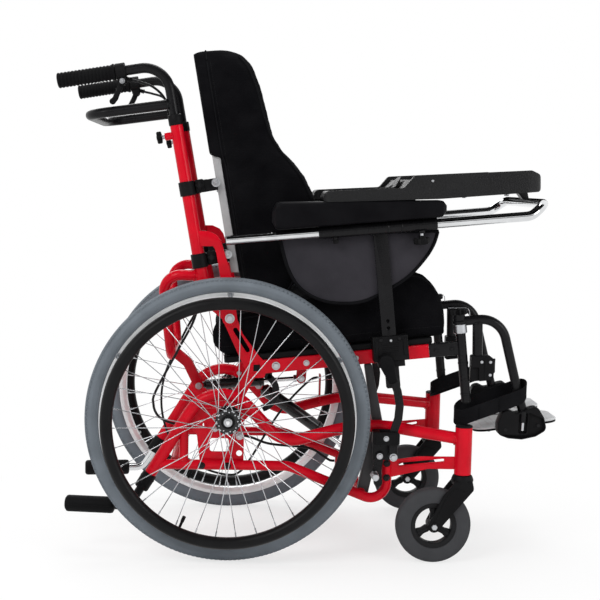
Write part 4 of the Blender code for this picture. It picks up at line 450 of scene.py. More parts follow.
class ClothLooks(bpy.types.PropertyGroup):
    """How the cushions are filled"""

    voxel: bpy.props.FloatProperty(
        name="Cloth grid", description="Size of the cloth's squares", default=.0052, unit="LENGTH")
    pressure: bpy.props.FloatProperty(
        name="Filling", description="Pressure inside the cushions", default=4.0, unit="NONE")
    slack: bpy.props.FloatProperty(
        name="Slack", description="Share by which the cover is larger than its filling", default=.02,
        unit="NONE")
    cap: bpy.props.FloatProperty(
        name="Swell", description="How far the cover may swell", default=.01, unit="LENGTH")
    frames: bpy.props.IntProperty(name="Frames", description="Length of the simulation", default=20)


# Each finish: colour, roughness from and to, metallic, specular, then its layers of relief as
# (kind, features to a metre or 0 for the scale that the user sets, depth)
FINISHES = {
    "enamel": ("enamel", .16, .26, 0, .11, ("noise", 420, .00004), ("noise", 60, .00006)),
    "tyre": ("tyre", .62, .85, 0, .2, ("noise", 900, .00012), ("noise", 110, .0001)),
    "caster_tyre": ((.05, .051, .055), .55, .8, 0, .12, ("noise", 800, .0001)),
    "caster_core": ((.012, .012, .013), .35, .55, 0, .1, ("pebble", 900, .00008)),
    "black_metal": ((.0055, .0053, .0062), .22, .36, 0, .16, ("noise", 520, .00002), ("noise", 70, .00003)),
    "ring_coat": ((.005, .005, .0056), .3, .46, 0, .14, ("noise", 380, .00006), ("noise", 40, .0001)),
    "black_plastic": ((.0048, .0047, .0053), .38, .56, 0, .09, ("pebble", 1100, .0001),
                      ("noise", 90, .00005)),
    "gloss_plastic": ((.01, .01, .011), .14, .28, 0, .3, ("noise", 200, .00004)),
    "tray_skin": ((.0045, .0045, .0052), .42, .6, 0, .26, ("pebble", 0, .0009), ("noise", 45, .0001)),
    "black_rubber": ((.005, .005, .0056), .5, .72, 0, .06, ("noise", 700, .0001), ("noise", 60, .00008)),
    "cable_skin": ((.009, .009, .01), .3, .45, 0, .14, ("noise", 900, .00003)),
    "grey_board": ((.36, .36, .365), .45, .65, 0, .25, ("noise", 340, .00008), ("noise", 30, .0001)),
    "foot_plastic": ((.66, .67, .68), .35, .55, 0, .3, ("pebble", 800, .00008), ("noise", 60, .00005)),
    "panel_skin": ("panel", .44, .62, 0, .1, ("pebble", 900, .00018), ("noise", 26, .0004)),
    "pad_skin": ((.0032, .003, .004), .38, .58, 0, .045, ("pebble", 1300, .00008), ("noise", 24, .0005)),
    "chrome": ((.7, .71, .72), .05, .12, 1, .5, ("noise", 30, .00004)),
    "zinc": ((.52, .53, .55), .24, .4, 1, .5, ("noise", 500, .00005)),
    "brushed": ((.84, .85, .86), .32, .45, .5, .5, ("noise", 40, .00003)),
    "spoke": ((.5, .51, .53), .16, .3, 1, .5, ("noise", 300, .00003)),
    "cloth": ("cloth", .8, .95, 0, .015, ("weave", 0, .00022), ("noise", 38, .0007)),
    "piping": ((.006, .006, .007), .6, .8, 0, .02, ("weave", 0, .00015)),
    "charcoal": ((.022, .022, .024), .4, .58, 0, .5, ("noise", 480, .00005), ("noise", 60, .00005)),
    "thread": ((.01, .01, .011), .5, .7, 0, .06, ("noise", 900, .00003)),
    "webbing": ((.007, .007, .008), .75, .92, 0, .02, ("webbing", 620, .0004), ("noise", 50, .0003)),
}
COATS = {"enamel": .06, "gloss_plastic": .2}
SHEENS = {"cloth": .03, "webbing": .03}


class Nodes:
    """Builds a material's node tree in few words."""

    def __init__(self, tree):
        self.tree = tree

    def set(self, node, **values):
        """Joins or sets a node's inputs, or else its own settings."""
        for name, value in values.items():
            socket = node.inputs.get(name.replace("_", " "))
            if isinstance(value, bpy.types.NodeSocket):
                self.tree.links.new(value, socket)
            elif socket:
                socket.default_value = value
            else:
                setattr(node, name, value)
        return node

    def new(self, kind, **values):
        return self.set(self.tree.nodes.new(kind), **values)

    def sum(self, operation, first, second):
        made = self.tree.nodes.new("ShaderNodeMath")
        made.operation = operation
        for socket, value in zip(made.inputs, (first, second)):
            if isinstance(value, bpy.types.NodeSocket):
                self.tree.links.new(value, socket)
            else:
                socket.default_value = value
        return made.outputs[0]

    def ranged(self, value, low, high, start=.3, end=.7):
        made = self.new("ShaderNodeMapRange", Value=value, From_Min=start, From_Max=end, To_Min=low,
                        To_Max=high)
        return made.outputs[0]

    def noise(self, where, scale, detail=3.0):
        return self.new("ShaderNodeTexNoise", Vector=where, Scale=scale, Detail=detail).outputs[0]

    def relief(self, kind, where, scale):
        """The height of one layer, from 0 to 1."""
        if kind == "noise":
            return self.noise(where, scale, 4.0)
        if kind == "pebble":
            cells = self.new("ShaderNodeTexVoronoi", Vector=where, Scale=scale, feature="SMOOTH_F1")
            return self.sum("SUBTRACT", 1.0, cells.outputs["Distance"])
        bands = []
        for axis in ("X", "Y", "Z"):
            wave = self.new("ShaderNodeTexWave", Vector=where, Scale=scale / 20, bands_direction=axis,
                            Distortion=.4 if kind == "weave" else .1, Detail=0.0)
            bands.append(wave.outputs["Fac"])
        crossed = self.sum("MULTIPLY", self.sum("ADD", bands[0], bands[1]), .5)
        if kind == "webbing":
            return self.sum("MULTIPLY", crossed, bands[2])
        return self.sum("MULTIPLY", self.sum("ADD", crossed, bands[2]), .5)


def finish(name):
    """The procedural material of this name, made once."""
    made = bpy.data.materials.get(name + "_finish")
    if made is not None:
        return made
    looks = bpy.context.scene.chair_looks
    colour, smooth, dull, metallic, specular, *layers = FINISHES[name]
    colour = tuple(getattr(looks, colour)) if isinstance(colour, str) else colour
    made = bpy.data.materials.new(name + "_finish")
    made.use_nodes = True
    nodes = Nodes(made.node_tree)
    join = made.node_tree.links.new
    shader = made.node_tree.nodes["Principled BSDF"]
    where = nodes.new("ShaderNodeTexCoord").outputs["Object"]
    cloud = nodes.noise(where, 22, 5.0)
    scuff = nodes.noise(where, 260, 2.0)
    tint = nodes.new("ShaderNodeMix", data_type="RGBA")
    tint.inputs["A"].default_value = (*(part * .9 for part in colour), 1)
    tint.inputs["B"].default_value = (*(min(1.0, part * 1.12 + .002) for part in colour), 1)
    join(nodes.ranged(cloud, 0.0, 1.0), tint.inputs["Factor"])
    join(tint.outputs["Result"], shader.inputs["Base Color"])
    mixed = nodes.sum("ADD", nodes.sum("MULTIPLY", cloud, .6), nodes.sum("MULTIPLY", scuff, .4))
    join(nodes.ranged(mixed, smooth, dull), shader.inputs["Roughness"])
    nodes.set(shader, Metallic=metallic, Specular_IOR_Level=specular, Coat_Roughness=.08, Sheen_Roughness=.45,
              Coat_Weight=COATS.get(name, 0.0), Sheen_Weight=SHEENS.get(name, 0.0))
    normal = None
    for kind, scale, depth in layers:
        scale = scale or (looks.pebble if kind == "pebble" else looks.weave)
        bump = nodes.new("ShaderNodeBump", Height=nodes.relief(kind, where, scale), Distance=depth)
        if normal is not None:
            join(normal, bump.inputs["Normal"])
        normal = bump.outputs[0]
    join(normal, shader.inputs["Normal"])
    return made


CAMERA_AT = (.017 + AXLE_X, -2.837, .746)
CAMERA_TURN = (radians(2.59), radians(4.97), radians(1.4))
CAMERA_LENS = 80.82
FLOOR_CLEAR = (.1, .85)
FLOOR_WHITE = .62
LAMPS = (
    ("key", (-1.6, -2.2, 2.3), 1.4, 40.0),
    ("fill", (2.1, -2.0, 1.5), 1.2, 17.0),
    ("top", (.1, .2, 2.7), 1.6, 34.0),
    ("rim", (-.6, 2.3, 1.8), 1.6, 22.0),
)
WORLD_LIGHT = .46
FLAGS = (
    ((-2.2, -2.6, 1.95), (2.2, .1, 1.95)),
    ((-2.2, -3.4, .9), (2.2, -3.4, 1.6)),
    ((-1.7, 2.9, .62), (1.8, 2.9, 2.3)),
)


def camera():
    """The photograph's viewpoint, through a long lens."""
    yaw, pitch, roll = CAMERA_TURN
    ahead = Vector((sin(yaw) * cos(pitch), cos(yaw) * cos(pitch), -sin(pitch)))
    right = Vector((cos(yaw), -sin(yaw), 0))
    up = right.cross(ahead)
    level_right = right * cos(roll) + up * sin(roll)
    level_up = up * cos(roll) - right * sin(roll)
    data = bpy.data.cameras.new("camera")
    data.lens = CAMERA_LENS
    data.sensor_width = 36.0
    data.clip_start, data.clip_end = .05, 60.0
    made = bpy.data.objects.new("camera", data)
    turn = Matrix((level_right, level_up, -ahead)).transposed().to_4x4()
    made.matrix_world = Matrix.Translation(CAMERA_AT) @ turn
    bpy.context.scene.collection.objects.link(made)
    bpy.context.scene.camera = made


def seen_directly(nodes):
    """1 on a ray from the camera, a mirror or glass."""
    paths = nodes.new("ShaderNodeLightPath")
    both = nodes.sum("MAXIMUM", paths.outputs["Is Camera Ray"], paths.outputs["Is Glossy Ray"])
    return nodes.sum("MAXIMUM", both, paths.outputs["Is Transmission Ray"])


def white_world():
    scene = bpy.context.scene
    world = bpy.data.worlds.new("studio")
    scene.world = world
    world.use_nodes = True
    nodes = Nodes(world.node_tree)
    strength = nodes.ranged(seen_directly(nodes), WORLD_LIGHT, 1.0, 0.0, 1.0)
    nodes.set(world.node_tree.nodes["Background"], Color=(1, 1, 1, 1), Strength=strength)


def floor():
    """A pale floor that fades to white further out."""
    mesh = bpy.data.meshes.new("studio_floor")
    mesh.from_pydata([(-9, -9, 0), (9, -9, 0), (9, 9, 0), (-9, 9, 0)], [], [(0, 1, 2, 3)])
    made = shown("studio_floor", mesh)
    pale = bpy.data.materials.new("studio_floor")
    pale.use_nodes = True
    tree = pale.node_tree
    nodes = Nodes(tree)
    shader = nodes.set(tree.nodes["Principled BSDF"], Base_Color=(.93, .93, .93, 1), Roughness=.8)
    where = nodes.new("ShaderNodeTexCoord").outputs["Object"]
    away = nodes.new("ShaderNodeVectorMath", operation="LENGTH")
    tree.links.new(where, away.inputs[0])
    clear = nodes.ranged(away.outputs["Value"], FLOOR_WHITE, 1.0, *FLOOR_CLEAR)
    white = nodes.new("ShaderNodeEmission", Strength=1.0)
    mix = nodes.new("ShaderNodeMixShader")
    tree.links.new(nodes.sum("MULTIPLY", clear, seen_directly(nodes)), mix.inputs[0])
    tree.links.new(shader.outputs[0], mix.inputs[1])
    tree.links.new(white.outputs[0], mix.inputs[2])
    tree.links.new(mix.outputs[0], tree.nodes["Material Output"].inputs["Surface"])
    mesh.materials.append(pale)


def lamps():
    for name, place, size, power in LAMPS:
        data = bpy.data.lights.new(name, "AREA")
        data.shape = "DISK"
        data.size = size
        data.energy = power
        made = bpy.data.objects.new(name, data)
        aim = Vector((0, 0, .45)) - Vector(place)
        made.matrix_world = Matrix.Translation(place) @ aim.to_track_quat("-Z", "Y").to_matrix().to_4x4()
        bpy.context.scene.collection.objects.link(made)


def flags():
    """Dark cards that only shiny surfaces see."""
    dark = bpy.data.materials.new("dark_card")
    dark.use_nodes = True
    shader = dark.node_tree.nodes["Principled BSDF"]
    Nodes(dark.node_tree).set(shader, Base_Color=(.004, .004, .004, 1), Roughness=1.0, Specular_IOR_Level=0.0)
    for (x1, y1, z1), (x2, y2, z2) in FLAGS:
        mesh = bpy.data.meshes.new("dark_card")
        corners = [(x1, y1, z1), (x2, y1, z1), (x2, y2, z2), (x1, y2, z2)]
        mesh.from_pydata(corners, [], [(0, 1, 2, 3)])
        mesh.materials.append(dark)
        made = shown("dark_card", mesh)
        for ray in ("camera", "diffuse", "transmission", "shadow", "volume_scatter"):
            setattr(made, "visible_" + ray, False)


class STAGE_OT_studio(bpy.types.Operator):
    """Puts up the pale floor, the soft lamps and the camera"""

    bl_idname = "chair.studio"
    bl_label = "Studio"

    def execute(self, context):
        context.scene.view_settings.view_transform = "Standard"
        camera()
        white_world()
        floor()
        lamps()
        flags()
        return {"FINISHED"}


CABLE = (
    (-.2002, .172, .9372), (-.192, .172, .9357), (-.182, .17, .9333), (-.16, .16, .926),
    (-.138, .152, .905), (-.128, .15, .87), (-.113, .149, .84), (-.093, .148, .735),
    (-.066, .148, .59), (-.064, .15, .52), (-.072, .155, .47), (-.102, .161, .41),
)
RIGHT_END = (
    (-.147, .153, .322), (-.151, .149, .296), (-.145, .148, .277), (-.131, .15, .265),
    (-.104, .154, .257), (-.04, .156, .247), (.039, .157, .235), (.084, .158, .221),
    (.162, .16, .214), (.19, .163, .2), (.206, .165, .1905), (.2155, .165, .19),
)
LEFT_END = (
    (-.143, .153, .32), (-.152, .149, .25), (-.138, .15, .185), (-.105, .151, .135),
    (-.05, .15, .101), (0.0, .148, .089), (.027, .148, .097), (.052, .149, .131),
    (.082, .151, .183), (.11, .154, .228), (.137, .158, .262), (.168, .163, .294),
    (.188, .165, .3095), (.199, .165, .31),
)
CABLE_RADIUS = .0025
CABLE_PARTS = (
    ("upper", 0, 8, "back", "handle", .66, .9),
    ("middle", 8, 11, "seat", "back", .44, .57),
    ("lower", 11, None, "base", "seat", .255, .345),
)


def curve_run(points, number, steps):
    """Even steps of a smooth curve, from the point of this number to the next."""
    spots = []
    p0, p1, p2, p3 = (Vector(points[min(max(number + k, 0), len(points) - 1)]) for k in (-1, 0, 1, 2))
    for t in (k / steps for k in range(steps)):
        spots.append((p1 * 2 + (p2 - p0) * t + (p0 * 2 - p1 * 5 + p2 * 4 - p3) * t * t
                      + (p1 * 3 - p0 - p2 * 3 + p3) * t ** 3) * .5)
    return spots


def smooth_path(points, step=.006):
    """A smooth curve in even steps, and where in it each point lies."""
    made, marks = [], [0]
    for number, (start, end) in enumerate(zip(points, points[1:])):
        length = (Vector(end) - Vector(start)).length
        made += curve_run(points, number, max(2, round(length / step)))
        marks.append(len(made))
    return [*made, Vector(points[-1])], marks


def brake_cable(name, node, points, side):
    """A brake cable in three lengths."""
    path, marks = smooth_path([(x + AXLE_X, side * y, z) for x, y, z in points])
    for part, first, last, low_body, high_body, low, high in CABLE_PARTS:
        line = path[marks[first]:marks[last if last else -1] + 1]
        shape = Shape("cable_skin")
        shape.tube(line, CABLE_RADIUS, sides=14, edge=.0003)
        mesh = mesh_in_place(name + part, shape)
        made = shown(name + part, mesh)
        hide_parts(node)
        length = sum((end - start).length for start, end in zip(line, line[1:]))
        tuple(line[0])
        [tuple(point) for point in line]
        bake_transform(made)


class CABLE_OT_brakes(bpy.types.Operator):
    """Builds the brake cables from the hand levers to the brake brackets"""

    bl_idname = "chair.cables"
    bl_label = "Brake cables"

    def execute(self, context):
        brake_cable("cable_R_", "brake_cable_R", (*CABLE, *RIGHT_END), -1)
        brake_cable("cable_L_", "brake_cable_L", (*CABLE, *LEFT_END), 1)
        return {"FINISHED"}


def sheared(start_x, splay):
    """Slants a drawing outwards in Y from this X on."""
    turn = Matrix.Identity(4)
    turn[1][0], turn[1][3] = -splay, splay * start_x
    return turn


def weld(shape, at, way, radius, look=None):
    """A weld's bead round a tube."""
    profile = []
    for step in range(8):
        turn = 2 * pi * step / 8
        profile.append((.0016 * cos(turn), radius + .0016 * sin(turn)))
    shape.lathe(profile, at, way, ROUND, ring=True, look=look)


FORK_AT = (.467, .217)
MAIN_REAR = Vector((-.153, -FRAME_Y, .163))
MAIN_ARCH = Vector((-.026, -FRAME_Y, .37))
LOWER_Z = .182


def axle_plate(shape):
    outline = [(-.055, LOWER_Z), (-.062, .24), (-.08, .258), (-.0923, .262), (-.0727, .294)]
    outline += [(.0457, .294), (.0457, .285), (.032, .27), (.032, LOWER_Z)]
    window = soft_loop([(-.036, .207), (.002, .207), (.002, .234), (-.036, .234)], .005)
    holes = [circle(-.045, .26, .006), circle(.023, .204, .006), window]
    shape.slab(soft_loop(outline, .008), -.172, -.177, holes)
    for x, z in ((-.026, .252), (.012, .252)):
        shape.bolt(x, z, -.177, .0042, .0035)


def front_web(shape):
    front_x = .318
    outline = [(front_x, .196), (.38, .208), (.467, .2125), (.467, .187)]
    outline += [(.4, .184), (.345, .168), (front_x, .16)]
    window = slot((.345, .1905), (.428, .2035), .008)
    turn = sheared(front_x, (FORK_AT[1] - FRAME_Y) / (FORK_AT[0] - front_x))
    shape.slab(soft_loop(outline, .012), -FRAME_Y - .002, -FRAME_Y + .002, [window], turn=turn)
    rim = [(x, -FRAME_Y - .0022, z) for x, z in window]
    for row in (rim, [(x, y + .0044, z) for x, y, z in rim]):
        shape.tube([turn @ Vector(p) for p in row], .0012, sides=8, closed=True)


def side_frame(tab):
    """One welded side: tubes, strut, plates, head tube and bolts."""
    shape = Shape()
    y = -FRAME_Y
    main = [MAIN_REAR, MAIN_ARCH, (.109, y, .227), (.267, y, .271), (.335, y, .2629)]
    shape.tube([*main, (FORK_AT[0], -FORK_AT[1], .2471)], .012, (.073, .065, .3, .06), 32)
    rear_x = MAIN_REAR.x + (LOWER_Z - MAIN_REAR.z) * .614
    lower = [(rear_x, y, LOWER_Z), (.122, y, LOWER_Z), (.32, y, .105), (.318, y, .262)]
    shape.tube(lower, .01, (.06, .032), 28)
    shape.rod((-.087, y, LOWER_Z), (-.087, y, .262), .009)
    weld(shape, (-.087, y, LOWER_Z + .0098), (0, 0, 1), .009)
    weld(shape, (-.087, y, .2535), (0, 0, 1), .009)
    weld(shape, (.318, y, .2525), (0, 0, 1), .01)
    weld(shape, (rear_x + .013, y, LOWER_Z), (1, 0, 0), .01)
    axle_plate(shape)
    front_web(shape)
    x, across = FORK_AT
    shape.lathe(band(.095, .0118, .017, .0008, .0008), (x, -across, .177), (0, 0, 1), ring=True)
    cap = [(0, 0), (0, .0168), (.0012, .0172), (.0032, .0166), (.0042, .0145), (.0045, 0)]
    shape.lathe([(a, max(r, .0004)) for a, r in cap], (x, -across, .272), (0, 0, 1), look="black_plastic")
    weld(shape, (x - .0165, -across + .004, .2483), (1, -.24, -.12), .0122)
    shape.rod((0, -.165, WHEEL_Z), (0, -FRAME_Y - .0115, WHEEL_Z), .012)
    shape.across(.02, .319, y, -.148, .005, look="zinc")
    for bolt_x, z in ((-.051, LOWER_Z), (0.0, LOWER_Z), (.3185, .192), (.3185, .163)):
        shape.bolt(bolt_x, z, y - .0092, .0056, .0045, "black_metal")
    shape.bolt(.023, .239, -.177, .006, .005)
    shape.block(*tab)
    return shape


def cross_tube(x, z):
    shape = Shape()
    end = FRAME_Y - .01 - .0003
    shape.across(x, z, -end, end, .01)
    for side in (-1, 1):
        weld(shape, (x, side * (end - .0005), z), (0, 1, 0), .0102)
        shape.across(x, z, side * (end - .016), side * (end - .014), .0104)
    return shape


def lugs(shape, line, y):
    """The two ears at a gas spring's eye, with their pin."""
    outline = ribbon(line, .01)
    for near in (y + .0066, y - .0106):
        shape.slab(outline, near, near + .004)
    x, z = line[-1]
    shape.across(x, z, y - .012, y + .012, .004, look="zinc")
    shape.bolt(x, z, y - .0106, .0055, .0045)
    shape.hexagon((x, y + .0106, z), (0, 1, 0), .0055, .0045)


def front_cross():
    """The front tube, with the tilt spring's ears and the seat's rest bar."""
    shape = cross_tube(.268, .1255)
    top = [seat_point(.2265 + step, -.0138) for step in (.009, -.006)]
    rest = [(.284, .122), (.312, .262), *top, (.29, .265), (.262, .13)]
    shape.slab(soft_loop(rest, .006), -.15, -.17, edge=.002, look="charcoal")
    lugs(shape, [(.268, .1255), (.255, .175)], .045)
    return shape


class FRAME_OT_base(bpy.types.Operator):
    """Builds the welded base: two side frames and the tubes between them"""

    bl_idname = "chair.base"
    bl_label = "Base frame"

    def execute(self, context):
        right = side_frame(((.2165, -FRAME_Y, .14), (.2205, -.158, .197)))
        left = side_frame(((.2, -FRAME_Y, .25), (.204, -.158, .317))).mirrored()
        piece("base_side_R", right, "base", "red_enamel", "side_frame_R")
        piece("base_side_L", left, "base", "red_enamel", "side_frame_L")
        piece("base_rear_tube", cross_tube(-.105, LOWER_Z), "base", "red_enamel", "rear_cross_tube")
        piece("base_front_tube", front_cross(), "base", "red_enamel", "front_cross_tube")
        return {"FINISHED"}


TYRE_Y = .225
WHEEL_AT = Vector((0, -TYRE_Y, WHEEL_Z))
TREAD_BLOCKS = 190
SPOKES = 36


SOCKETS = {"Geometry": "Geometry", "Count": "Int", "Source": "Object", "Material": "Material"}


def growing_tree(name, *inputs):
    """A node tree with these inputs: its nodes, and the values it is given."""
    tree = bpy.data.node_groups.new(name, "GeometryNodeTree")
    for label in inputs:
        kind = "NodeSocket" + SOCKETS.get(label, "Float")
        tree.interface.new_socket(label, in_out="INPUT", socket_type=kind)
    tree.interface.new_socket("Geometry", in_out="OUTPUT", socket_type="NodeSocketGeometry")
    nodes = Nodes(tree)
    return nodes, nodes.new("NodeGroupInput").outputs


def copied(nodes, given, points, rotation):
    """Ends a tree with the source at every point, in its material."""
    held = nodes.new("GeometryNodeObjectInfo", Object=given["Source"])
    copies = nodes.new("GeometryNodeInstanceOnPoints", Points=points, Instance=held.outputs["Geometry"],
                       Rotation=rotation)
    real = nodes.new("GeometryNodeRealizeInstances", Geometry=copies.outputs[0])
    painted = nodes.new("GeometryNodeSetMaterial", Geometry=real.outputs[0], Material=given["Material"])
    nodes.new("NodeGroupOutput", Geometry=painted.outputs[0])
    return nodes.tree


def ring_tree():
    """Copies of a small form in an even ring about the Y axis."""
    nodes, given = growing_tree("ring", "Count", "Radius", "Phase", "Source", "Material")
    line = nodes.new("GeometryNodeMeshLine", mode="OFFSET", Count=given["Count"], Offset=(0, 0, 0))
    share = nodes.sum("DIVIDE", nodes.new("GeometryNodeInputIndex").outputs[0], given["Count"])
    turn = nodes.sum("ADD", nodes.sum("MULTIPLY", share, 2 * pi), given["Phase"])
    x, z = (nodes.sum("MULTIPLY", given["Radius"], nodes.sum(wave, turn, 0)) for wave in ("SINE", "COSINE"))
    spot = nodes.new("ShaderNodeCombineXYZ", X=x, Z=z)
    moved = nodes.new("GeometryNodeSetPosition", Geometry=line.outputs[0], Position=spot.outputs[0])
    turned = nodes.new("FunctionNodeEulerToRotation",
                       Euler=nodes.new("ShaderNodeCombineXYZ", Y=turn).outputs[0])
    return copied(nodes, given, moved.outputs[0], turned.outputs[0])


def grown(tree, values, start=None):
    """The mesh that a node tree makes with these values."""
    holder = shown(tree.name, start or bpy.data.meshes.new(tree.name))
    modifier = holder.modifiers.new(tree.name, "NODES")
    modifier.node_group = tree
    for item in tree.interface.items_tree:
        if item.in_out == "INPUT" and item.name in values:
            modifier[item.identifier] = values[item.name]
    mesh = evaluated(holder)
    bpy.data.objects.remove(holder)
    return mesh


def around(shape, build, count, radius, phase, look, centre):
    """Adds copies of a small form in a ring about the Y axis."""
    seed = shown("seed", formed(build))
    mesh = grown(ring_tree(), {"Count": count, "Radius": radius, "Phase": phase, "Source": seed,
                               "Material": finish(look)})
    bpy.data.meshes.remove(seed.data)
    mesh.transform(Matrix.Translation(centre))
    shape.take(mesh, look=look)


def tread_block(shape):
    """One raised block of the tyre's shoulder, at the wheel's top."""
    for side in (-1, 1):
        shape.block((-.0026, side * .0112 - .003, -.003), (.0026, side * .0112 + .003, .0012), .0004)


def rear_tyre():
    """The tyre: a round section with ribs along it and a blocked shoulder."""
    shape = Shape("tyre")
    centre, section = .262, .0176
    profile = []
    for step in range(37):
        turn = radians(-33 + 246 * step / 36)
        reach = section + (.0004 if abs(step - 18) < 12 and step % 4 in (1, 2) else 0.0)
        profile.append((reach * cos(turn), centre + reach * sin(turn)))
    shape.lathe(profile, WHEEL_AT, (0, 1, 0), 180, ring=True)
    for along in (-.0166, .0166):
        bead = [(along + .0006 * cos(t), .257 + .0009 * sin(t)) for t in (0, 1.6, 3.1, 4.7)]
        shape.lathe(bead, WHEEL_AT, (0, 1, 0), 180, ring=True)
    around(shape, tread_block, TREAD_BLOCKS, .276, 0.0, "tyre", WHEEL_AT)
    return shape


def alloy_rim(shape):
    """A double-walled rim with a sunken spoke bed."""
    half = [(.0118, .252), (.0126, .2516), (.0128, .244), (.012, .2425), (.0088, .2395)]
    profile = two_sided([*half, (.007, .2362), (.0045, .2352)])
    shape.lathe(profile, WHEEL_AT, (0, 1, 0), 180, ring=True, look="brushed")


def spokes(shape):
    """Thirty-six crossed spokes in four rows."""
    for flange in (1, -1):
        for lead in (1, -1):
            row = {(1, 1): 0, (-1, 1): 1, (1, -1): 2, (-1, -1): 3}[(flange, lead)]
            lean = lead * radians(54)
            y = flange * (.0225 + lead * .0018)
            near = Vector((.0222 * sin(lean), y, .0222 * cos(lean)))
            far = Vector((0, flange * (.003 + lead * .0015), .2362))

            def spoke(form, near=near, far=far):
                way = (far - near).normalized()
                form.rod(near, far, .0009, 8, .0002)
                form.rod(far - way * .012, far, .0016, 8, .0003)
                form.rod(near - Vector((0, flange * lead * .0032, 0)),
                         near + Vector((0, flange * lead * .0012, 0)), .0019, 8, .0004)

            phase = 2 * pi * (row + .5) / SPOKES
            around(shape, spoke, SPOKES // 4, 0.0, phase, "spoke", WHEEL_AT)


def hub(shape):
    """The flanged hub and its dark end caps."""
    flange = [(.021, .015), (.0212, .0244), (.0218, .025), (.0232, .025), (.0238, .0244)]
    flange += [(.024, .015)]
    barrel = [(.027, .0078), (.028, .009), (.028, .0122), (.027, .0132), (.0245, .014)]
    profile = two_sided(barrel + flange[::-1] + [(.014, .0118), (.006, .011)])
    shape.lathe(profile, WHEEL_AT, (0, 1, 0), 72, ring=True, look="gloss_plastic")
    cap = [(0, .0068), (0, .0128), (.0012, .0138), (.0024, .0136), (.003, .012), (.003, .0068)]
    shape.lathe(cap, (0, -TYRE_Y - .0262, WHEEL_Z), (0, -1, 0), 72, ring=True)

    def rivet(form):
        form.rod((0, -.0242, 0), (0, -.0252, 0), .0016, 12, .0003)

    around(shape, rivet, 9, .019, .1, "spoke", WHEEL_AT)


def valve(shape):
    turn = radians(203)
    out = Vector((sin(turn), 0, cos(turn)))
    base = WHEEL_AT + out * .236
    shape.rod(base, base - out * .014, .0028, 16, look="black_rubber")
    shape.rod(base - out * .013, base - out * .026, .0036, 16, .0008)


def rear_wheel():
    shape = Shape("black_plastic")
    alloy_rim(shape)
    spokes(shape)
    hub(shape)
    valve(shape)
    return shape


def push_ring():
    """The coated push ring on its six bent stubs."""
    shape = Shape("ring_coat")
    centre = Vector((0, -.275, WHEEL_Z))
    ring = []
    for step in range(180):
        turn = 2 * pi * step / 180
        ring.append(centre + Vector((sin(turn), 0, cos(turn))) * .2335)
    shape.tube(ring, .0122, closed=True)

    def stub(form):
        seat = Vector((0, .0378, .2478))
        form.tube([seat, seat - Vector((0, .01, 0)), (0, 0, .2335)], .0042, (.006,), 16)
        form.rod(seat - Vector((0, .0002, 0)), seat - Vector((0, .0022, 0)), .0062, 16)

    phase = pi / 2 - 2 * pi * .5 / 6
    around(shape, stub, 6, 0.0, phase, "zinc", tuple(centre))
    return shape


def quick_axle():
    """The quick-release axle, with its collar and nut."""
    shape = Shape("zinc")
    z, end = WHEEL_Z, TYRE_Y + .0286
    shape.across(0, z, -.15, -end - .004, .006)
    shape.across(0, z, -end + .0012, -end - .004, .0085, FINE, .001)
    shape.across(0, z, -end - .0038, -end - .0085, .0046, ROUND, .0016, look="brushed")
    shape.lathe([(0, .01), (.0025, .01), (.0033, .0092)], (0, -.15, z), (0, -1, 0), 6)
    shape.lathe([(.003, .0098), (.012, .0098), (.0143, .0082)], (0, -.15, z), (0, -1, 0), 6)
    return shape


class WHEEL_OT_rear(bpy.types.Operator):
    """Builds the rear wheels: treaded tyres, spoked rims, hubs, push rings and axles"""

    bl_idname = "chair.rear_wheels"
    bl_label = "Rear wheels"

    def execute(self, context):
        pair("tyre", rear_tyre(), "rear_wheel_body", "grey_tyre", "rear_tyre")
        pair("spoked_wheel", rear_wheel(), "rear_wheel_body", "wheel_alloy", "rear_wheel")
        pair("push_ring", push_ring(), "rear_wheel_body", "black_rim", "handrim")
        pair("quick_axle", quick_axle(), "base", "bare_steel", "axle")
        return {"FINISHED"}


CASTER_AT = Vector((.411, -.217, .075))


def caster_fork():
    """The moulded fork: two ribbed legs under a crown, with stem and bolt."""
    shape = Shape("black_plastic")
    x, y, z = CASTER_AT
    stem_x, crown_z = FORK_AT[0], .1652
    eye = arc(x, z, .012, range(155, 340, 12))
    leg = [(stem_x - .019, crown_z - .002), (stem_x - .04, crown_z - .029), *eye]
    leg += [(stem_x + .021, crown_z - .016), (stem_x + .019, crown_z - .002)]
    rib = [(stem_x - .016, crown_z - .012), (stem_x - .034, crown_z - .032), (x, z + .01)]
    rib += [(x + .01, z - .001), (stem_x + .012, crown_z - .022)]
    for side in (-1, 1):
        near, far = y + side * .0165, y + side * .0215
        shape.slab(soft_loop(leg, .008), near, far, edge=.0015)
        shape.slab(soft_loop(rib, .006), far - side * .001, far + side * .0012, edge=.0008)
        shape.hexagon((x, y + side * .0222, z), (0, side, 0), .0065, .004)
        shape.across(x, z, far, far + side * .002, .0105)
    shape.lathe([(0, .018), (.002, .0205), (.01, .0222), (.0155, .0205), (.019, .0186), (.0195, .017)],
                (stem_x, y, crown_z - .0085), (0, 0, 1))
    bridge = [(stem_x - .021, crown_z - .0065), (stem_x - .018, crown_z + .001),
              (stem_x + .018, crown_z + .001)]
    bridge += [(stem_x + .02, crown_z - .009)]
    shape.slab(soft_loop(bridge, .004), y - .0212, y + .0212, edge=.002)
    shape.rod((stem_x, y, crown_z), (stem_x, y, .25), .01, look="zinc")
    shape.across(x, z, y - .0222, y + .0222, .004, look="zinc")
    return shape


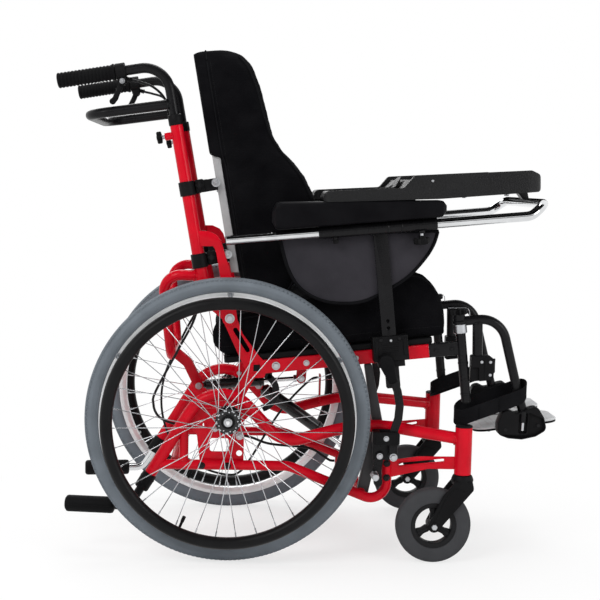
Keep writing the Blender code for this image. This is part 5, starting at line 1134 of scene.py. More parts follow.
def caster_wheel():
    """A solid tyre on a three-spoke moulded centre."""
    shape = Shape("caster_core")
    tyre = [(.0105, .0445), (.014, .0462), (.015, .05), (.015, .0655), (.0138, .0705), (.0105, .0738)]
    tyre += [(.006, .0749), (.0026, .075), (.002, .0743)]
    shape.lathe(two_sided(tyre), CASTER_AT, (0, 1, 0), 96, ring=True, look="caster_tyre")
    core = [(.0095, .036), (.011, .0368), (.0118, .041), (.0125, .047), (.0118, .0478)]
    shape.lathe(two_sided(core), CASTER_AT, (0, 1, 0), 96, ring=True)
    centre = [(.0159, .0052), (.0159, .0088), (.015, .0112), (.012, .0125), (.008, .0128)]
    shape.lathe(two_sided(centre), CASTER_AT, (0, 1, 0), 72, ring=True)
    for number in range(3):
        turn = Matrix.Translation(CASTER_AT) @ Matrix.Rotation(2 * pi * number / 3, 4, "Y")
        arm = [(-.0078, .009), (-.006, .024), (-.0105, .038), (.0105, .038), (.006, .024)]
        arm += [(.0078, .009)]
        shape.slab(soft_loop(arm, .01), -.0062, .0062, edge=.002, turn=turn)
        rib = [(-.0018, .011), (.0018, .011), (.0018, .037), (-.0018, .037)]
        shape.slab(rib, -.0088, .0088, turn=turn)
    return shape


class WHEEL_OT_casters(bpy.types.Operator):
    """Builds the front casters: moulded forks and three-spoke wheels"""

    bl_idname = "chair.casters"
    bl_label = "Casters"

    def execute(self, context):
        pair("caster_fork", caster_fork(), "fork", "black_plastic", "caster_fork")
        pair("caster_wheel", caster_wheel(), "caster", "black_rubber", "caster_wheel")
        return {"FINISHED"}


BRAKE_AT = (.327, .211)
SHOE_AT = (.302, .209)


def brake_bracket():
    """The brake's plate with its two pivots, and the cover over the lever."""
    shape = Shape("zinc")
    back = [(.288, .2), (.33, .2), (.338, .208), (.338, .248), (.331, .262), (.288, .262)]
    shape.slab(soft_loop(back, .003), -.2023, -.1973, look="black_metal")
    cover = [(.285, .236), (.338, .236), (.338, .258), (.334, .262), (.285, .262)]
    shape.slab(soft_loop(cover, .004), -.2351, -.2291, edge=.0014, look="black_plastic")
    shape.block((.2855, -.23, .2372), (.299, -.2013, .2612), .0014, look="black_plastic")
    x, z = BRAKE_AT
    shape.across(x, z, -.2232, -.1973, .008)
    shape.across(x, z, -.2305, -.1973, .004)
    shape.bolt(x, z, -.2287, .0062, .0045)
    x, z = SHOE_AT
    shape.across(x, z, -.2032, -.1973, .007)
    shape.across(x, z, -.2105, -.1973, .004)
    shape.bolt(x, z, -.2087, .005, .0032)
    shape.bolt(.311, .2495, -.2351, .0044, .0028)
    shape.block((.2895, -.2362, .2405), (.3335, -.2348, .2585), .0006, look="black_plastic")
    return shape


def ringed(shape, start, end, radius, rings):
    """A hand grip with shallow rings."""
    start, end = Vector(start), Vector(end)
    length = (end - start).length
    profile = [(0, radius * .9), (.0008, radius)]
    pitch = (length - .006) / rings
    for number in range(rings):
        at = .002 + pitch * number
        profile += [(at, radius), (at + pitch * .34, radius * 1.0), (at + pitch * .42, radius * .925)]
        profile += [(at + pitch * .72, radius * .925), (at + pitch * .82, radius)]
    profile += [(length - .003, radius), (length - .001, radius * .9), (length, radius * .7)]
    shape.lathe(profile, start, end - start)


def brake_lever():
    """The cranked lever with its smooth grip."""
    shape = Shape("black_metal")
    path = [BRAKE_AT, (.326, .24), (.327, .264), (.3345, .288)]
    path += [(.3365, .315), (.3315, .342), (.3235, .364)]
    hole = circle(*BRAKE_AT, .0043)
    shape.slab(ribbon(path, .008, .012), -.2285, -.2235, [hole], .0006)
    foot, way = Vector((.3225, .358)), Vector((-.342, .94))
    aside = Vector((way.y, -way.x))
    widths = ((0.0, .0082), (.015, .01), (.03, .0128), (.042, .015), (.052, .0135), (.059, .0065))
    drop = [foot + way * length + aside * half for length, half in widths]
    drop += [foot + way * length - aside * half for length, half in reversed(widths)]
    shape.slab(soft_loop([tuple(spot) for spot in drop], .006), -.2325, -.2195, edge=.0036,
               look="black_rubber")
    return shape


def brake_shoe():
    """The swinging arm with the peg that bears on the tyre."""
    shape = Shape("black_metal")
    path = [SHOE_AT, (.297, .18), (.3, .156)]
    shape.slab(ribbon(path, .0085, .012), -.2085, -.2035, [circle(*SHOE_AT, .0043)], .0006)
    shape.across(.292, .172, -.2395, -.2045, .007, edge=.0012, look="zinc")
    shape.across(.292, .172, -.2112, -.208, .0088, 6, look="zinc")
    return shape


def tipping_lever(bright):
    """The foot lever: a bent tube, a collar and a ribbed grip."""
    shape = Shape("black_rubber")
    down = (MAIN_REAR - MAIN_ARCH).normalized()
    end, grip_z = MAIN_REAR, .0965
    knee = end + down * ((end.z - grip_z) / -down.z)
    tail = Vector((-.3215, -.168, grip_z))
    along = (knee - tail).normalized()
    look = "chrome" if bright else "black_metal"
    shape.tube([end - down * .045, knee, tail + along * .02], .0085, (.03,), look=look)
    shape.lathe([(.0003, .012), (.001, .014), (.003, .0145), (.032, .0145), (.0345, .0135), (.035, .009)],
                end, down, look="black_plastic")
    shape.lathe([(.008, .0143), (.009, .0151), (.012, .0151), (.013, .0143)], end, down, ring=True,
                look="black_plastic")
    grip = [(0, .012), (.003, .0158), (.006, .0165), (.092, .0165), (.096, .0155), (.098, .012)]
    shape.lathe(grip, tail, along, FINE)
    for side in (-1, 1):
        start = tail + Vector((0, side * .0163, .001))
        shape.rod(start + along * .006, start + along * .092, .0013, 8)
    return shape


class BRAKE_OT_parking(bpy.types.Operator):
    """Builds the parking brakes and the tipping levers at the rear of the frame"""

    bl_idname = "chair.parking"
    bl_label = "Parking brakes and tipping levers"

    def execute(self, context):
        pair("brake_bracket", brake_bracket(), "base", "black_plastic", "brake_bracket")
        pair("brake_lever", brake_lever(), "park_lever", "black_metal", "brake_lever")
        pair("brake_shoe", brake_shoe(), "park_shoe", "black_plastic", "brake_shoe")
        piece("tipping_lever_R", tipping_lever(False), "base", "black_metal", "tipping_lever_R")
        piece("tipping_lever_L", tipping_lever(True).mirrored(), "base", "black_metal", "tipping_lever_L")
        return {"FINISHED"}


RECLINE_AT = (-.001, .475)
TILT_AT = (.02, .319)


def link_plate(shape):
    """The slotted plate that carries the back's pivot."""
    x, z = RECLINE_AT
    outline = [(.0365, .3625), *arc(x, z, .0145, range(205, 29, -11)), (.025, .445), (.06, .399),
               (.0745, .386)]
    outline += [(.0745, .372), (.07, .357), (.043, .356)]
    holes = [slot((.0105, .452), (.0355, .412), .009), circle(x, z, .0053)]
    shape.slab(outline, -.1745, -.169, holes, .0006)
    plug = soft_loop([(.0478, .37), (.061, .37), (.061, .3835), (.0478, .3835)], .0015)
    shape.slab(plug, -.1772, -.174, look="black_plastic")


def seat_frame():
    """Rails, cross tubes, pivot plates, lugs and both gas springs' ears."""
    side = Shape()
    rail = [seat_point(d, h) for d, h in ((.012, -.0135), (.352, -.0135), (.352, .0135), (.012, .0135))]
    side.slab(rail, -.175, -.158, edge=.0022)
    side.slab(ribbon([(.049, .3745), TILT_AT], .0115), -.1575, -.15, [circle(*TILT_AT, .0053)])
    link_plate(side)
    side.bolt(*seat_point(.044, 0), -.1748, .0065, .0045)
    for d in (.105, .3):
        x, z = seat_point(d, 0)
        weld(side, (x, -.1578, z), (0, 1, 0), .0102)
        side.bolt(x, z, -.1748, .0048, .0038)
    for d in (.15, .205):
        side.bolt(*seat_point(d, 0), -.1748, .004, .0034)
    shape = both_sides(side)
    shape.seat_block(-.01, .01, -.01, .01, -.1765, .1765, .0016)
    for d, radius in ((.105, .009), (.3, .01)):
        shape.across(*seat_point(d, 0), -.161, .161, radius)
    lugs(shape, [seat_point(0, 0), (.062, .309)], .045)
    lugs(shape, [seat_point(.105, 0), (.15, .337)], -.03)
    return shape


def seat_pan():
    shape = Shape("black_plastic")
    corners = [(-.058, -.168), (.362, -.168), (.362, .168), (-.058, .168)]
    holes = [circle(d, 0, .014) for d in (.03, .27)]
    level = Matrix.Translation((SEAT_REF[0], 0, SEAT_REF[1])) @ Matrix.Rotation(-SEAT_SLOPE, 4, "Y")
    shape.plan(soft_loop(corners, .012), .0138, .0258, holes, .0016, level)
    return shape


def stop_plate():
    """The open ring that limits the tilt."""
    shape = Shape("black_metal")
    ring = arc(.059, .327, .0425, range(62, -81, -8)) + arc(.059, .327, .029, range(-80, 63, 10))
    shape.slab(ring, -.1577, -.152)
    tab = [(.07, .352), (.086, .352), (.086, .384), (.07, .384)]
    shape.slab(soft_loop(tab, .004), -.1577, -.152)
    shape.hexagon((.078, -.152, .377), (0, 1, 0), .005, .004)
    return shape


UPRIGHT_AT = .2713


def arm_receiver():
    """The moulded clamp for the arm's upright: ribs, skirt, screws and slot."""
    shape = Shape("black_plastic")
    low, high = -.0075, .0425
    foot, lip = low - .012, low + .002
    for start, end, bottom, top, near, far, edge in ((-.0343, .0357, low, high, -.1997, -.1753, .0015),
                                                     (-.0343, .0357, low, high, -.2145, -.2083, .0018),
                                                     (-.0343, -.0143, low, high, -.2135, -.1803, .0012),
                                                     (.0143, .0357, low, high, -.2135, -.1803, .0012),
                                                     (-.0253, .0267, foot, lip, -.1995, -.1753, .0015),
                                                     (-.0253, .0267, foot, lip, -.2115, -.2083, .0014),
                                                     (-.0303, -.0243, .0025, .0365, -.2165, -.2135, .0012),
                                                     (.0257, .0317, .0025, .0365, -.2165, -.2135, .0012),
                                                     *((-.016, .016, h, h + .003, -.2158, -.2135, .0007)
                                                       for h in (.01, .0175, .025))):
        shape.seat_block(UPRIGHT_AT + start, UPRIGHT_AT + end, bottom, top, near, far, edge)
    for d, h in ((-.018, .036), (.019, .036), (-.018, -.001)):
        shape.across(*seat_point(UPRIGHT_AT + d, h), -.2162, -.214, .004, 20, look="black_metal")
    shape.across(*seat_point(UPRIGHT_AT + .002, .0335), -.2158, -.214, .003, 20, look="zinc")
    return shape


PIVOT_AT = .4186


def hanger_mount():
    """The tongue in the rail's end, with the pivot tube and its pin."""
    shape = Shape("black_metal")
    shape.seat_block(.272, .36, -.011, .011, -.1725, -.1605, look="zinc")
    shape.seat_block(.3523, .412, -.0135, .0135, -.175, -.158, .0022)
    low, top, pin_top = (Vector((*seat_point(PIVOT_AT, h), -.17)).xzy for h in (-.11, .0294, .075))
    shape.rod(low, top, .01, edge=.0012)
    shape.rod(top, pin_top, .006, look="zinc")
    way = (top - low).normalized()
    for share in (.1, .55):
        spot = low.lerp(top, share)
        shape.lathe([(0, .0098), (.0006, .0106), (.0044, .0106), (.005, .0098)], spot, way, ring=True)
    shape.rod(low - way * .0002, low - way * .0022, .0085, look="black_plastic")
    for d in (.366, .398):
        shape.bolt(*seat_point(d, 0), -.1748, .004, .0016, "black_metal")
    return shape


def spring_ends(start, end, y):
    start, end = Vector((start[0], y, start[1])), Vector((end[0], y, end[1]))
    return start, (end - start).normalized()


def spring_eye(shape, at):
    profile = [(-.006, .0044), (-.006, .0092), (-.005, .01), (.005, .01), (.006, .0092), (.006, .0044)]
    shape.lathe(profile, at, (0, 1, 0), ring=True)


def gas_cylinder(start, end, y, radius, length, hole):
    """A gas spring's body with a rolled mouth."""
    shape = Shape("black_metal")
    base, way = spring_ends(start, end, y)
    spring_eye(shape, base)
    profile = [(.009, .006), (.012, radius - .004), (.0155, radius), (length - .004, radius)]
    profile += [(length - .0012, radius - .0008), (length, radius - .002), (length, hole), (.03, hole)]
    profile += [(.028, .0005), (.0275, .0005)]
    inner = [(length - .002, hole), (.032, hole), (.032, .0004), (.009, .0004)]
    shape.lathe(profile[:6] + inner, base, way, ring=True, look="gloss_plastic")
    shape.lathe([(length - .01, radius - .0003), (length - .009, radius + .0005),
                 (length - .007, radius + .0005), (length - .006, radius - .0003)], base, way, ring=True)
    return shape


def gas_rod(start, end, y, radius, length):
    """The spring's rod with its eye and lock nut."""
    shape = Shape("zinc")
    base, way = spring_ends(start, end, y)
    spring_eye(shape, base)
    shape.rod(base + way * .0095, base + way * length, radius, look="chrome")
    shape.lathe([(.0096, .0082), (.015, .0082), (.0158, .0074)], base, way, 6)
    return shape


TILT_SPRING = ((.062, .309), (.255, .175), .045)
RECLINE_SPRING = ((-.064, .318), (.15, .337), -.03)


class SEAT_OT_frame(bpy.types.Operator):
    """Builds the seat frame with its pan, receivers, footrest mounts and gas springs"""

    bl_idname = "chair.seat"
    bl_label = "Seat frame"

    def execute(self, context):
        piece("seat_frame_look", seat_frame(), "seat", "red_enamel", "seat_frame")
        piece("seat_pan_look", seat_pan(), "seat", "black_plastic", "seat_pan")
        piece("stop_plate", stop_plate(), "seat", "black_metal", "tilt_stop_plate")
        pair("receiver", arm_receiver(), "seat", "black_plastic", "arm_receiver")
        pair("footrest_mount", hanger_mount(), "seat", "black_metal", "hanger_mount")
        start, end, y = TILT_SPRING
        cylinder = gas_cylinder(start, end, y, .0135, .165, .0085)
        piece("tilt_spring", cylinder, "tilt_cylinder_body", "black_metal", "tilt_cylinder")
        piece("tilt_spring_rod", gas_rod(end, start, y, .0055, .122), "tilt_rod_body", "bare_steel",
              "tilt_rod")
        start, end, y = RECLINE_SPRING
        cylinder = gas_cylinder(start, end, y, .0105, .137, .0072)
        piece("recline_spring", cylinder, "recline_cylinder_body", "black_metal", "recline_cylinder")
        recline = gas_rod(end, start, y, .0045, .127)
        piece("recline_spring_rod", recline, "recline_rod_body", "bare_steel", "recline_rod")
        return {"FINISHED"}


CLAMP_LEVELS = (.588, .729)


def arch_bracket(shape):
    """The bent plate from the post to the back's pivot, with its brace."""
    x, z = RECLINE_AT
    eye = arc(x, z, .015, range(15, -196, -14))
    outline = [(-.07, .647), (-.046, .647), (-.03, .64), (-.022, .63), (-.0175, .618), (-.0145, .608)]
    outline += [(.0015, .557), *eye, (-.0215, .557), (-.03, .603), (-.033, .612), (-.037, .6175)]
    outline += [(-.044, .617), (-.07, .617)]
    shape.slab(outline, -.1813, -.1753, [circle(x, z, .0052)], .0009)
    brace = ribbon([(-.052, .523), (-.036, .503), RECLINE_AT], .0105)
    shape.slab(brace, -.1809, -.1757, edge=.0009)
    shape.across(x, z, -.1833, -.17, .0048, look="zinc")
    shape.bolt(x, z, -.1811, .0075, .0048)


def post(shape):
    """A back post with its sleeve, boss and star knob."""
    shape.rod(on_post(.512), on_post(.8535), .0125, FINE, .001)
    up = (on_post(.873) - on_post(.853)).normalized()
    sleeve = [(-.0005, .0108), (-.0005, .0135), (.0005, .0141), (.018, .0141), (.0196, .0134)]
    sleeve += [(.0204, .0112)]
    shape.lathe(sleeve, on_post(.853), up, FINE, ring=True, look="black_plastic")
    aside = Vector((-1, 0, -POST_SLOPE)).normalized()
    root = on_post(.834)
    shape.rod(root, root + aside * .026, .0075, edge=.001)
    shape.rod(root + aside * .0255, root + aside * .034, .0042, look="zinc")
    shape.lathe([(.031, .006), (.0318, .0066), (.0345, .0066), (.0352, .006)], root, aside, ring=True,
                look="black_plastic")
    shape.knob(root + aside * .0315, aside, .0125, .01)
    shape.lathe([(0, .006), (0, .0122), (.0004, .0126), (.0018, .0126), (.0022, .0118), (.0022, .006)],
                on_post(.512) - up * .0022, up, ring=True, look="black_plastic")


def back_frame():
    """Posts, arched brackets, the rear hoop and the spring's lever."""
    side = Shape()
    post(side)
    arch_bracket(side)
    weld(side, (-.0725, -.172, .5585), (-1, 0, 0), .0112)
    shape = both_sides(side)
    corners = ((-.058, POST_Y, .558), (-.136, POST_Y, .56), (-.118, .12, .39))
    hoop = [(x, -span, z) for x, span, z in corners] + [(x, span, z) for x, span, z in corners[::-1]]
    shape.tube(hoop, .0105, (.035, .035, .035, .035), 28)
    lugs(shape, [(-.118, .39), (-.088, .366), (-.064, .318)], -.03)
    return shape


def board_clamp(shape, level):
    """A post clamp: its collar, cheek and the block on the board."""
    middle = on_post(level)
    up = (on_post(level + .01) - middle).normalized()
    low = middle - up * .014
    shape.lathe(band(.028, .0129, .0156, .001, .0008), low, up, FINE, ring=True)
    ahead = Vector((up.z, 0, -up.x))

    def at(forward, rise):
        spot = middle + ahead * forward + up * rise
        return (spot.x, spot.z)

    reach = board_x(level) + .002 - middle.x
    arm = [at(.0105, -.012), at(.0105, .012), at(reach, .012), at(reach - .002, -.012)]
    shape.slab(soft_loop(arm, .002), -.1668, -.1432, edge=.0016)
    cheek = [at(.0165, -.0105), at(.0165, .0145), at(.034, .0145), at(.034, -.0105)]
    shape.slab(soft_loop(cheek, .003), -.17, -.166, edge=.0012)
    x, z = at(.025, .002)
    shape.knob((x, -.1696, z), (0, -1, 0), .0088, .005, lobes=4)
    shape.bolt(x, z, -.1744, .0042, .0022, "black_metal")
    x, z = at(reach - .0035, .003)
    shape.lathe([(0, .008), (.0016, .0086), (.0026, .0086), (.003, .006)], (x, -.1664, z), (0, -1, 0),
                ROUND, look="zinc")
    shape.bolt(x, z, -.169, .0056, .0038)
    shape.across(x, z, -.1726, -.1752, .003, look="zinc")


def back_board():
    """The board behind the back cushion, on its four clamps."""
    side = Shape("black_plastic")
    for level in CLAMP_LEVELS:
        board_clamp(side, level)
    shape = both_sides(side)
    low, top, thick = .565, .96, .016
    outline = [(board_x(low), low), (board_x(top), top), (board_x(top) + thick, top),
               (board_x(low) + thick, low)]
    shape.slab(outline, -.155, .155, edge=.0014, look="grey_board")
    for y in (-.11, .11):
        for level in CLAMP_LEVELS:
            start = (board_x(level) - .0002, y, level)
            shape.rod(start, (start[0] - .0022, y, level), .0058, 20, .0012, look="zinc")
    return shape


def handle_z(x):
    return .9695 + (x + .1352) * .1785


LEVER_AT = (-.219, .935)


def handle_side(shape):
    """One bent tube with the brake lever's clamp and the cable adjuster."""
    y = -POST_Y
    path = [on_post(.7), Vector((-.1352, y, handle_z(-.1352))), Vector((-.338, y, handle_z(-.338)))]
    shape.tube(path, .01, (.05,), 32, look="black_metal")
    rear, front = ((x, y, handle_z(x)) for x in (-.2325, -.213))
    way = (Vector(front) - Vector(rear)).normalized()
    length = (Vector(front) - Vector(rear)).length
    shape.lathe(band(length, .0102, .016, .0012, .001), rear, way, FINE, ring=True)
    for near in (y - .0085, y + .003):
        shape.slab(ribbon([(-.222, .95), LEVER_AT], .0085), near, near + .0055, edge=.0012)
    shape.slab([(-.23, .944), (-.2135, .942), (-.2135, .952), (-.23, .952)], y - .006, y + .006, edge=.0012)
    shape.across(*LEVER_AT, y - .008, y + .008, .003, look="zinc")
    shape.bolt(LEVER_AT[0], LEVER_AT[1], y - .0083, .0042, .003)
    start, end = Vector((-.212, y, .94)), Vector((-.2005, y, .9374))
    way = (end - start).normalized()
    shape.rod(start - way * .006, end, .0036)
    for number in range(4):
        spot = start + way * (.0012 + .0026 * number)
        shape.lathe([(0, .0034), (.0003, .0049), (.0015, .0049), (.0018, .0034)], spot, way, ring=True)
    for height in (.72, .752, .784):
        spot = on_post(height)
        shape.across(spot.x, spot.z, y - .0101, y + .0101, .0025, 16)


def push_handle():
    """Both grip tubes and the cross bar."""
    side = Shape("black_plastic")
    handle_side(side)
    weld(side, on_post(.8935) + Vector((-.0098, 0, -.001)), (-1, 0, -.16), .0102, look="black_metal")
    shape = both_sides(side)
    start, knee = on_post(.8935), Vector((-.284, -POST_Y, .8687))
    other = [Vector((p.x, -p.y, p.z)) for p in (knee, start)]
    shape.tube([start, knee, *other], .01, (.04, .04), 32, look="black_metal")
    return shape


def hand_grip():
    """A foam grip with fine rings and a flange."""
    shape = Shape("black_rubber")
    y = -POST_Y
    front, rear = (Vector((x, y, handle_z(x))) for x in (-.2337, -.345))
    ringed(shape, front + (rear - front).normalized() * .003, rear, .015, 15)
    way = (rear - front).normalized()
    shape.lathe([(0, .0104), (0, .0158), (.0008, .0165), (.0036, .0165), (.0044, .0155), (.0044, .0104)],
                front, way, ring=True)
    return shape


def hand_lever():
    """The blade that pulls the cable."""
    shape = Shape("black_plastic")
    path = [LEVER_AT, (-.2235, .922), (-.2295, .91), (-.2325, .901), (-.2375, .8955)]
    shape.slab(ribbon(path, .0055, .01), -.1743, -.1697, [circle(*LEVER_AT, .0032)], .001)
    shape.across(-.2375, .8955, -.175, -.169, .0062, edge=.0015)
    return shape


class BACK_OT_frame(bpy.types.Operator):
    """Builds the reclining back: posts, brackets, hoop, board and clamps"""

    bl_idname = "chair.back"
    bl_label = "Back frame"

    def execute(self, context):
        piece("back_frame_look", back_frame(), "back", "red_enamel", "back_frame")
        piece("back_board_look", back_board(), "back", "grey_board", "back_board")
        return {"FINISHED"}


class BACK_OT_handle(bpy.types.Operator):
    """Builds the push handle with its foam grips and brake levers"""

    bl_idname = "chair.handle"
    bl_label = "Push handle"

    def execute(self, context):
        piece("push_handle_look", push_handle(), "handle", "black_metal", "push_handle")
        pair("foam_grip", hand_grip(), "handle", "black_rubber", "hand_grip")
        pair("brake_blade", hand_lever(), "grip_lever", "black_plastic", "hand_lever")
        return {"FINISHED"}


ARM_Y = .218
TRAY_CORNER = radians(34)


def combined(base, tool, operation):
    """The first mesh joined with, cut by or kept within the second."""
    holders = [shown("base", base), shown("tool", tool)]
    modifier = holders[0].modifiers.new("cut", "BOOLEAN")
    modifier.solver = "EXACT"
    modifier.operation = operation
    modifier.object = holders[1]
    made = evaluated(holders[0])
    for holder in holders:
        mesh = holder.data
        bpy.data.objects.remove(holder)
        bpy.data.meshes.remove(mesh)
    return made


def prism(outline, near, far, upright=False):
    """A sharp prism: its outline in X and Z, or in X and Y when upright."""

    def draw(shape):
        if upright:
            rings = [[(x, y, level) for x, y in outline] for level in (near, far)]
        else:
            rings = [[(x, level, z) for x, z in outline] for level in (near, far)]
        shape.rows(rings)

    return formed(draw)


def softened(mesh, width):
    """The mesh with its sharp edges rounded."""
    work = bmesh.new()
    work.from_mesh(mesh)
    bmesh.ops.remove_doubles(work, verts=work.verts, dist=2e-5)
    bmesh.ops.dissolve_limit(work, angle_limit=radians(1), verts=work.verts, edges=work.edges)
    sharp = [edge for edge in work.edges if len(edge.link_faces) == 2
             and edge.calc_face_angle() > TRAY_CORNER]
    bmesh.ops.bevel(work, geom=sharp, offset=width, segments=3, affect="EDGES", clamp_overlap=True)
    bmesh.ops.triangulate(work, faces=[face for face in work.faces if len(face.verts) > 4])
    work.to_mesh(mesh)
    work.free()
    return mesh


def tray_outline(inset):
    """The tray's plan, with the belly cut-out at the rear."""
    half, front, rear, belly = .245 - inset, .602 - inset, .172 + inset, .125 + inset
    corner = .035 - inset / 2
    path = [(rear, -belly, 0), (rear, -half, 0), (front, -half, 0), (front, half, 0), (rear, half, 0)]
    path = rounded([*path, (rear, belly, 0)], (.018, corner, corner, .018), radians(8))
    return [(spot.x, spot.y) for spot in path] + arc(.21, 0, belly, range(90, -91, -5))


def tray():
    """The tray: low wings, a raised table, a rimmed recess, and its screws."""
    top = [(.172, .7125), (.18, .731), (.33, .741), (.35, .765), (.577, .781), (.598, .773)]
    profile = soft_loop([*top, (.602, .7405), (.4, .7215), (.188, .7105)], .009)
    floor = [(.15, .7215), (.335, .7335), (.356, .7575), (.62, .7745), (.62, .85), (.15, .85)]
    slab = combined(prism(profile, -.26, .26), prism(tray_outline(0), .6, .9, True), "INTERSECT")
    inner = prism(tray_outline(.015), .6, .9, True)
    room = combined(prism(soft_loop(floor, .009), -.3, .3), inner, "INTERSECT")
    shape = Shape("tray_skin")
    shape.take(softened(combined(slab, room, "DIFFERENCE"), .0022))
    for side in (-1, 1):
        shape.rod((.385, side * .2446, .756), (.385, side * .2458, .756), .0026, ROUND, .0006, look="zinc")
    return shape


def tray_frame():
    """The chromed tube that slides in the arm sleeves, and the tray's bracket."""
    shape = Shape("chrome")
    start, x = (-.011, -ARM_Y, arm_z(-.011)), .585
    corners = [start, (x, -ARM_Y, arm_z(x)), (.615, -.207, .7165)]
    other = [(x, -y, z) for x, y, z in reversed(corners)]
    shape.tube([*corners, *other], .0095, (.03, .04, .04, .03), 32)
    for side in (-1, 1):
        way = Vector((-1, 0, -.1027)).normalized()
        cap = Vector((-.011, side * ARM_Y, arm_z(-.011)))
        shape.rod(cap - way * .0002, cap + way * .0014, .0088, look="black_plastic")
    outline = [(.47, .7312), (.6, .7404), (.618, .741), (.624, .7165), (.614, .7165)]
    outline += [(.6, .7347), (.47, .7255)]
    shape.slab(soft_loop(outline, .003), -.015, .015, look="black_metal")
    for x, z in ((.487, .7266), (.577, .7329)):
        for y in (-.008, .008):
            shape.hexagon((x, y, z), (.07, 0, -1), .0036, .003)
    return shape


def arm_frame():
    """The sleeve for the tray's tube, on its flat upright."""
    shape = Shape("black_metal")
    start, end = (Vector((x, -ARM_Y, arm_z(x))) for x in (.168, .4))
    way, length = (end - start).normalized(), (end - start).length
    pipe_wall = [(.0004, .0103), (.0004, .0112), (.0012, .012), (length - .0012, .012)]
    pipe_wall += [(length - .0004, .0112), (length - .0004, .0103)]
    shape.lathe(pipe_wall, start, way, FINE, ring=True)
    corners = ((-.014, -.062), (.014, -.062), (.014, .256), (-.014, .256))
    bar = soft_loop([seat_point(UPRIGHT_AT + d, h) for d, h in corners], .004)
    holes = [circle(*seat_point(UPRIGHT_AT, h), .0032) for h in (.058, .072)]
    shape.slab(bar, -.208, -.2, holes, .001)
    weld(shape, start.lerp(end, .585), way, .0118)
    weld(shape, start.lerp(end, .7), way, .0118)
    down = Vector((.1, 0, -1)).normalized()
    under = Vector((.3695, -ARM_Y, arm_z(.3695) - .0105))
    shape.rod(under, under + down * .006, .0062)
    shape.rod(under + down * .0055, under + down * .0135, .0034, look="zinc")
    collar = [(0, .0052), (.0006, .0062), (.004, .007), (.0046, .006)]
    shape.lathe(collar, under + down * .0105, down, look="black_plastic")
    shape.knob(under + down * .0145, down, .0172, .013)
    under = Vector((.2015, -ARM_Y, arm_z(.2015) - .0105))
    shape.rod(under, under + down * .0065, .0042)
    shape.hexagon(under + down * .005, down, .0066, .0068, "black_plastic")
    return shape


def arm_pad():
    """A soft moulded pad with full rounded edges."""
    shape = Shape("pad_skin")
    rings = []
    count = 46
    for number in range(count + 1):
        share = number / count
        x = .0772 + .3375 * share
        from_end = min(x - .0772, .4147 - x)
        pinch = sqrt(max(0.0, 1 - (1 - min(from_end / .016, 1)) ** 2))
        top = .7086 + .0112 * share
        bottom = arm_z(x) + .0123
        middle, half_high = (top + bottom) / 2, (top - bottom) / 2 * (.42 + .58 * pinch)
        half_wide = .027 * (.55 + .45 * pinch)
        ring = []
        for step in range(48):
            turn = 2 * pi * step / 48
            c, s = cos(turn), sin(turn)
            y = copysign(abs(c) ** .36, c) * half_wide
            z = copysign(abs(s) ** .36, s) * half_high
            ring.append((x, -.223 + y, middle + z))
        rings.append(ring)
    shape.rows(rings)
    return shape


def padded_face(shape, loop, near, far):
    """A panel that swells gently inside its rolled rim."""
    centre = (sum(x for x, _ in loop) / len(loop), sum(z for _, z in loop) / len(loop))
    rings = []
    middle, half = (near + far) / 2, abs(far - near) / 2
    for share, lift in ((0, 1.0), (.3, 1.0), (.62, .97), (.86, .9), (.95, .72), (.99, .4), (1.0, 0.0)):
        ring = [(centre[0] + (x - centre[0]) * max(share, .001),
                 centre[1] + (z - centre[1]) * max(share, .001)) for x, z in loop]
        rings.append((ring, lift))
    front = [[(x, middle - half * lift, z) for x, z in ring] for ring, lift in rings]
    back = [[(x, middle + half * lift, z) for x, z in ring] for ring, lift in rings[-2::-1]]
    shape.rows([*front, *back])


def side_panel():
    """The padded guard beside the seat, with its piped edge and round belly."""
    outline = [(.092, .647), (.096, .622), (.112, .575), (.138, .541), (.178, .521)]
    outline += [(.221, .516), (.262, .521), (.305, .541), (.35, .57), (.383, .606)]
    outline += [(.4, .634), (.408, .66)]
    outline = [(x, .655 + (z - .655) * 1.05) for x, z in outline]
    smooth = belly_loop(outline)
    shape = Shape("panel_skin")
    padded_face(shape, smooth, -.1994, -.1812)
    for y in (-.1962, -.1846):
        inset = [(.2495 + (x - .2495) * .984, .585 + (z - .585) * .97) for x, z in smooth]
        shape.tube([(x, y, z) for x, z in inset], .0034, sides=10, closed=True, look="piping")
    return shape


def belly_loop(points):
    """An outline that curves through the points and is closed by a straight run."""
    loop = [(spot.x, spot.y) for number in range(len(points) - 1) for spot in curve_run(points, number, 8)]
    (x1, z1), (x2, z2) = points[-1], points[0]
    return loop + [(x1 + (x2 - x1) * step / 24, z1 + (z2 - z1) * step / 24) for step in range(24)]


class ARM_OT_supports(bpy.types.Operator):
    """Builds the arm supports: sleeves on flat uprights, pads and side guards"""

    bl_idname = "chair.arms"
    bl_label = "Arm supports"

    def execute(self, context):
        pair("arm_bar", arm_frame(), "arm", "black_metal", "arm_frame")
        pair("pad", arm_pad(), "arm", "black_plastic", "arm_pad")
        pair("guard", side_panel(), "arm", "charcoal_panel", "side_panel")
        return {"FINISHED"}


class ARM_OT_tray(bpy.types.Operator):
    """Builds the tray with its rim and recess on its sliding chromed tube"""

    bl_idname = "chair.tray"
    bl_label = "Tray"

    def execute(self, context):
        piece("tray_look", tray(), "tray_slider", "tray_plastic", "tray")
        piece("tray_tube", tray_frame(), "tray_slider", "bright_tube", "tray_frame")
        return {"FINISHED"}


HINGE_AT = Vector((.588, -.146, .27))
HANGER_Y = -.17
PLATE_SLOPE = radians(8.6)
PITCH = Matrix.Translation(HINGE_AT) @ Matrix.Rotation(-PLATE_SLOPE, 4, "Y") @ Matrix.Translation(-HINGE_AT)


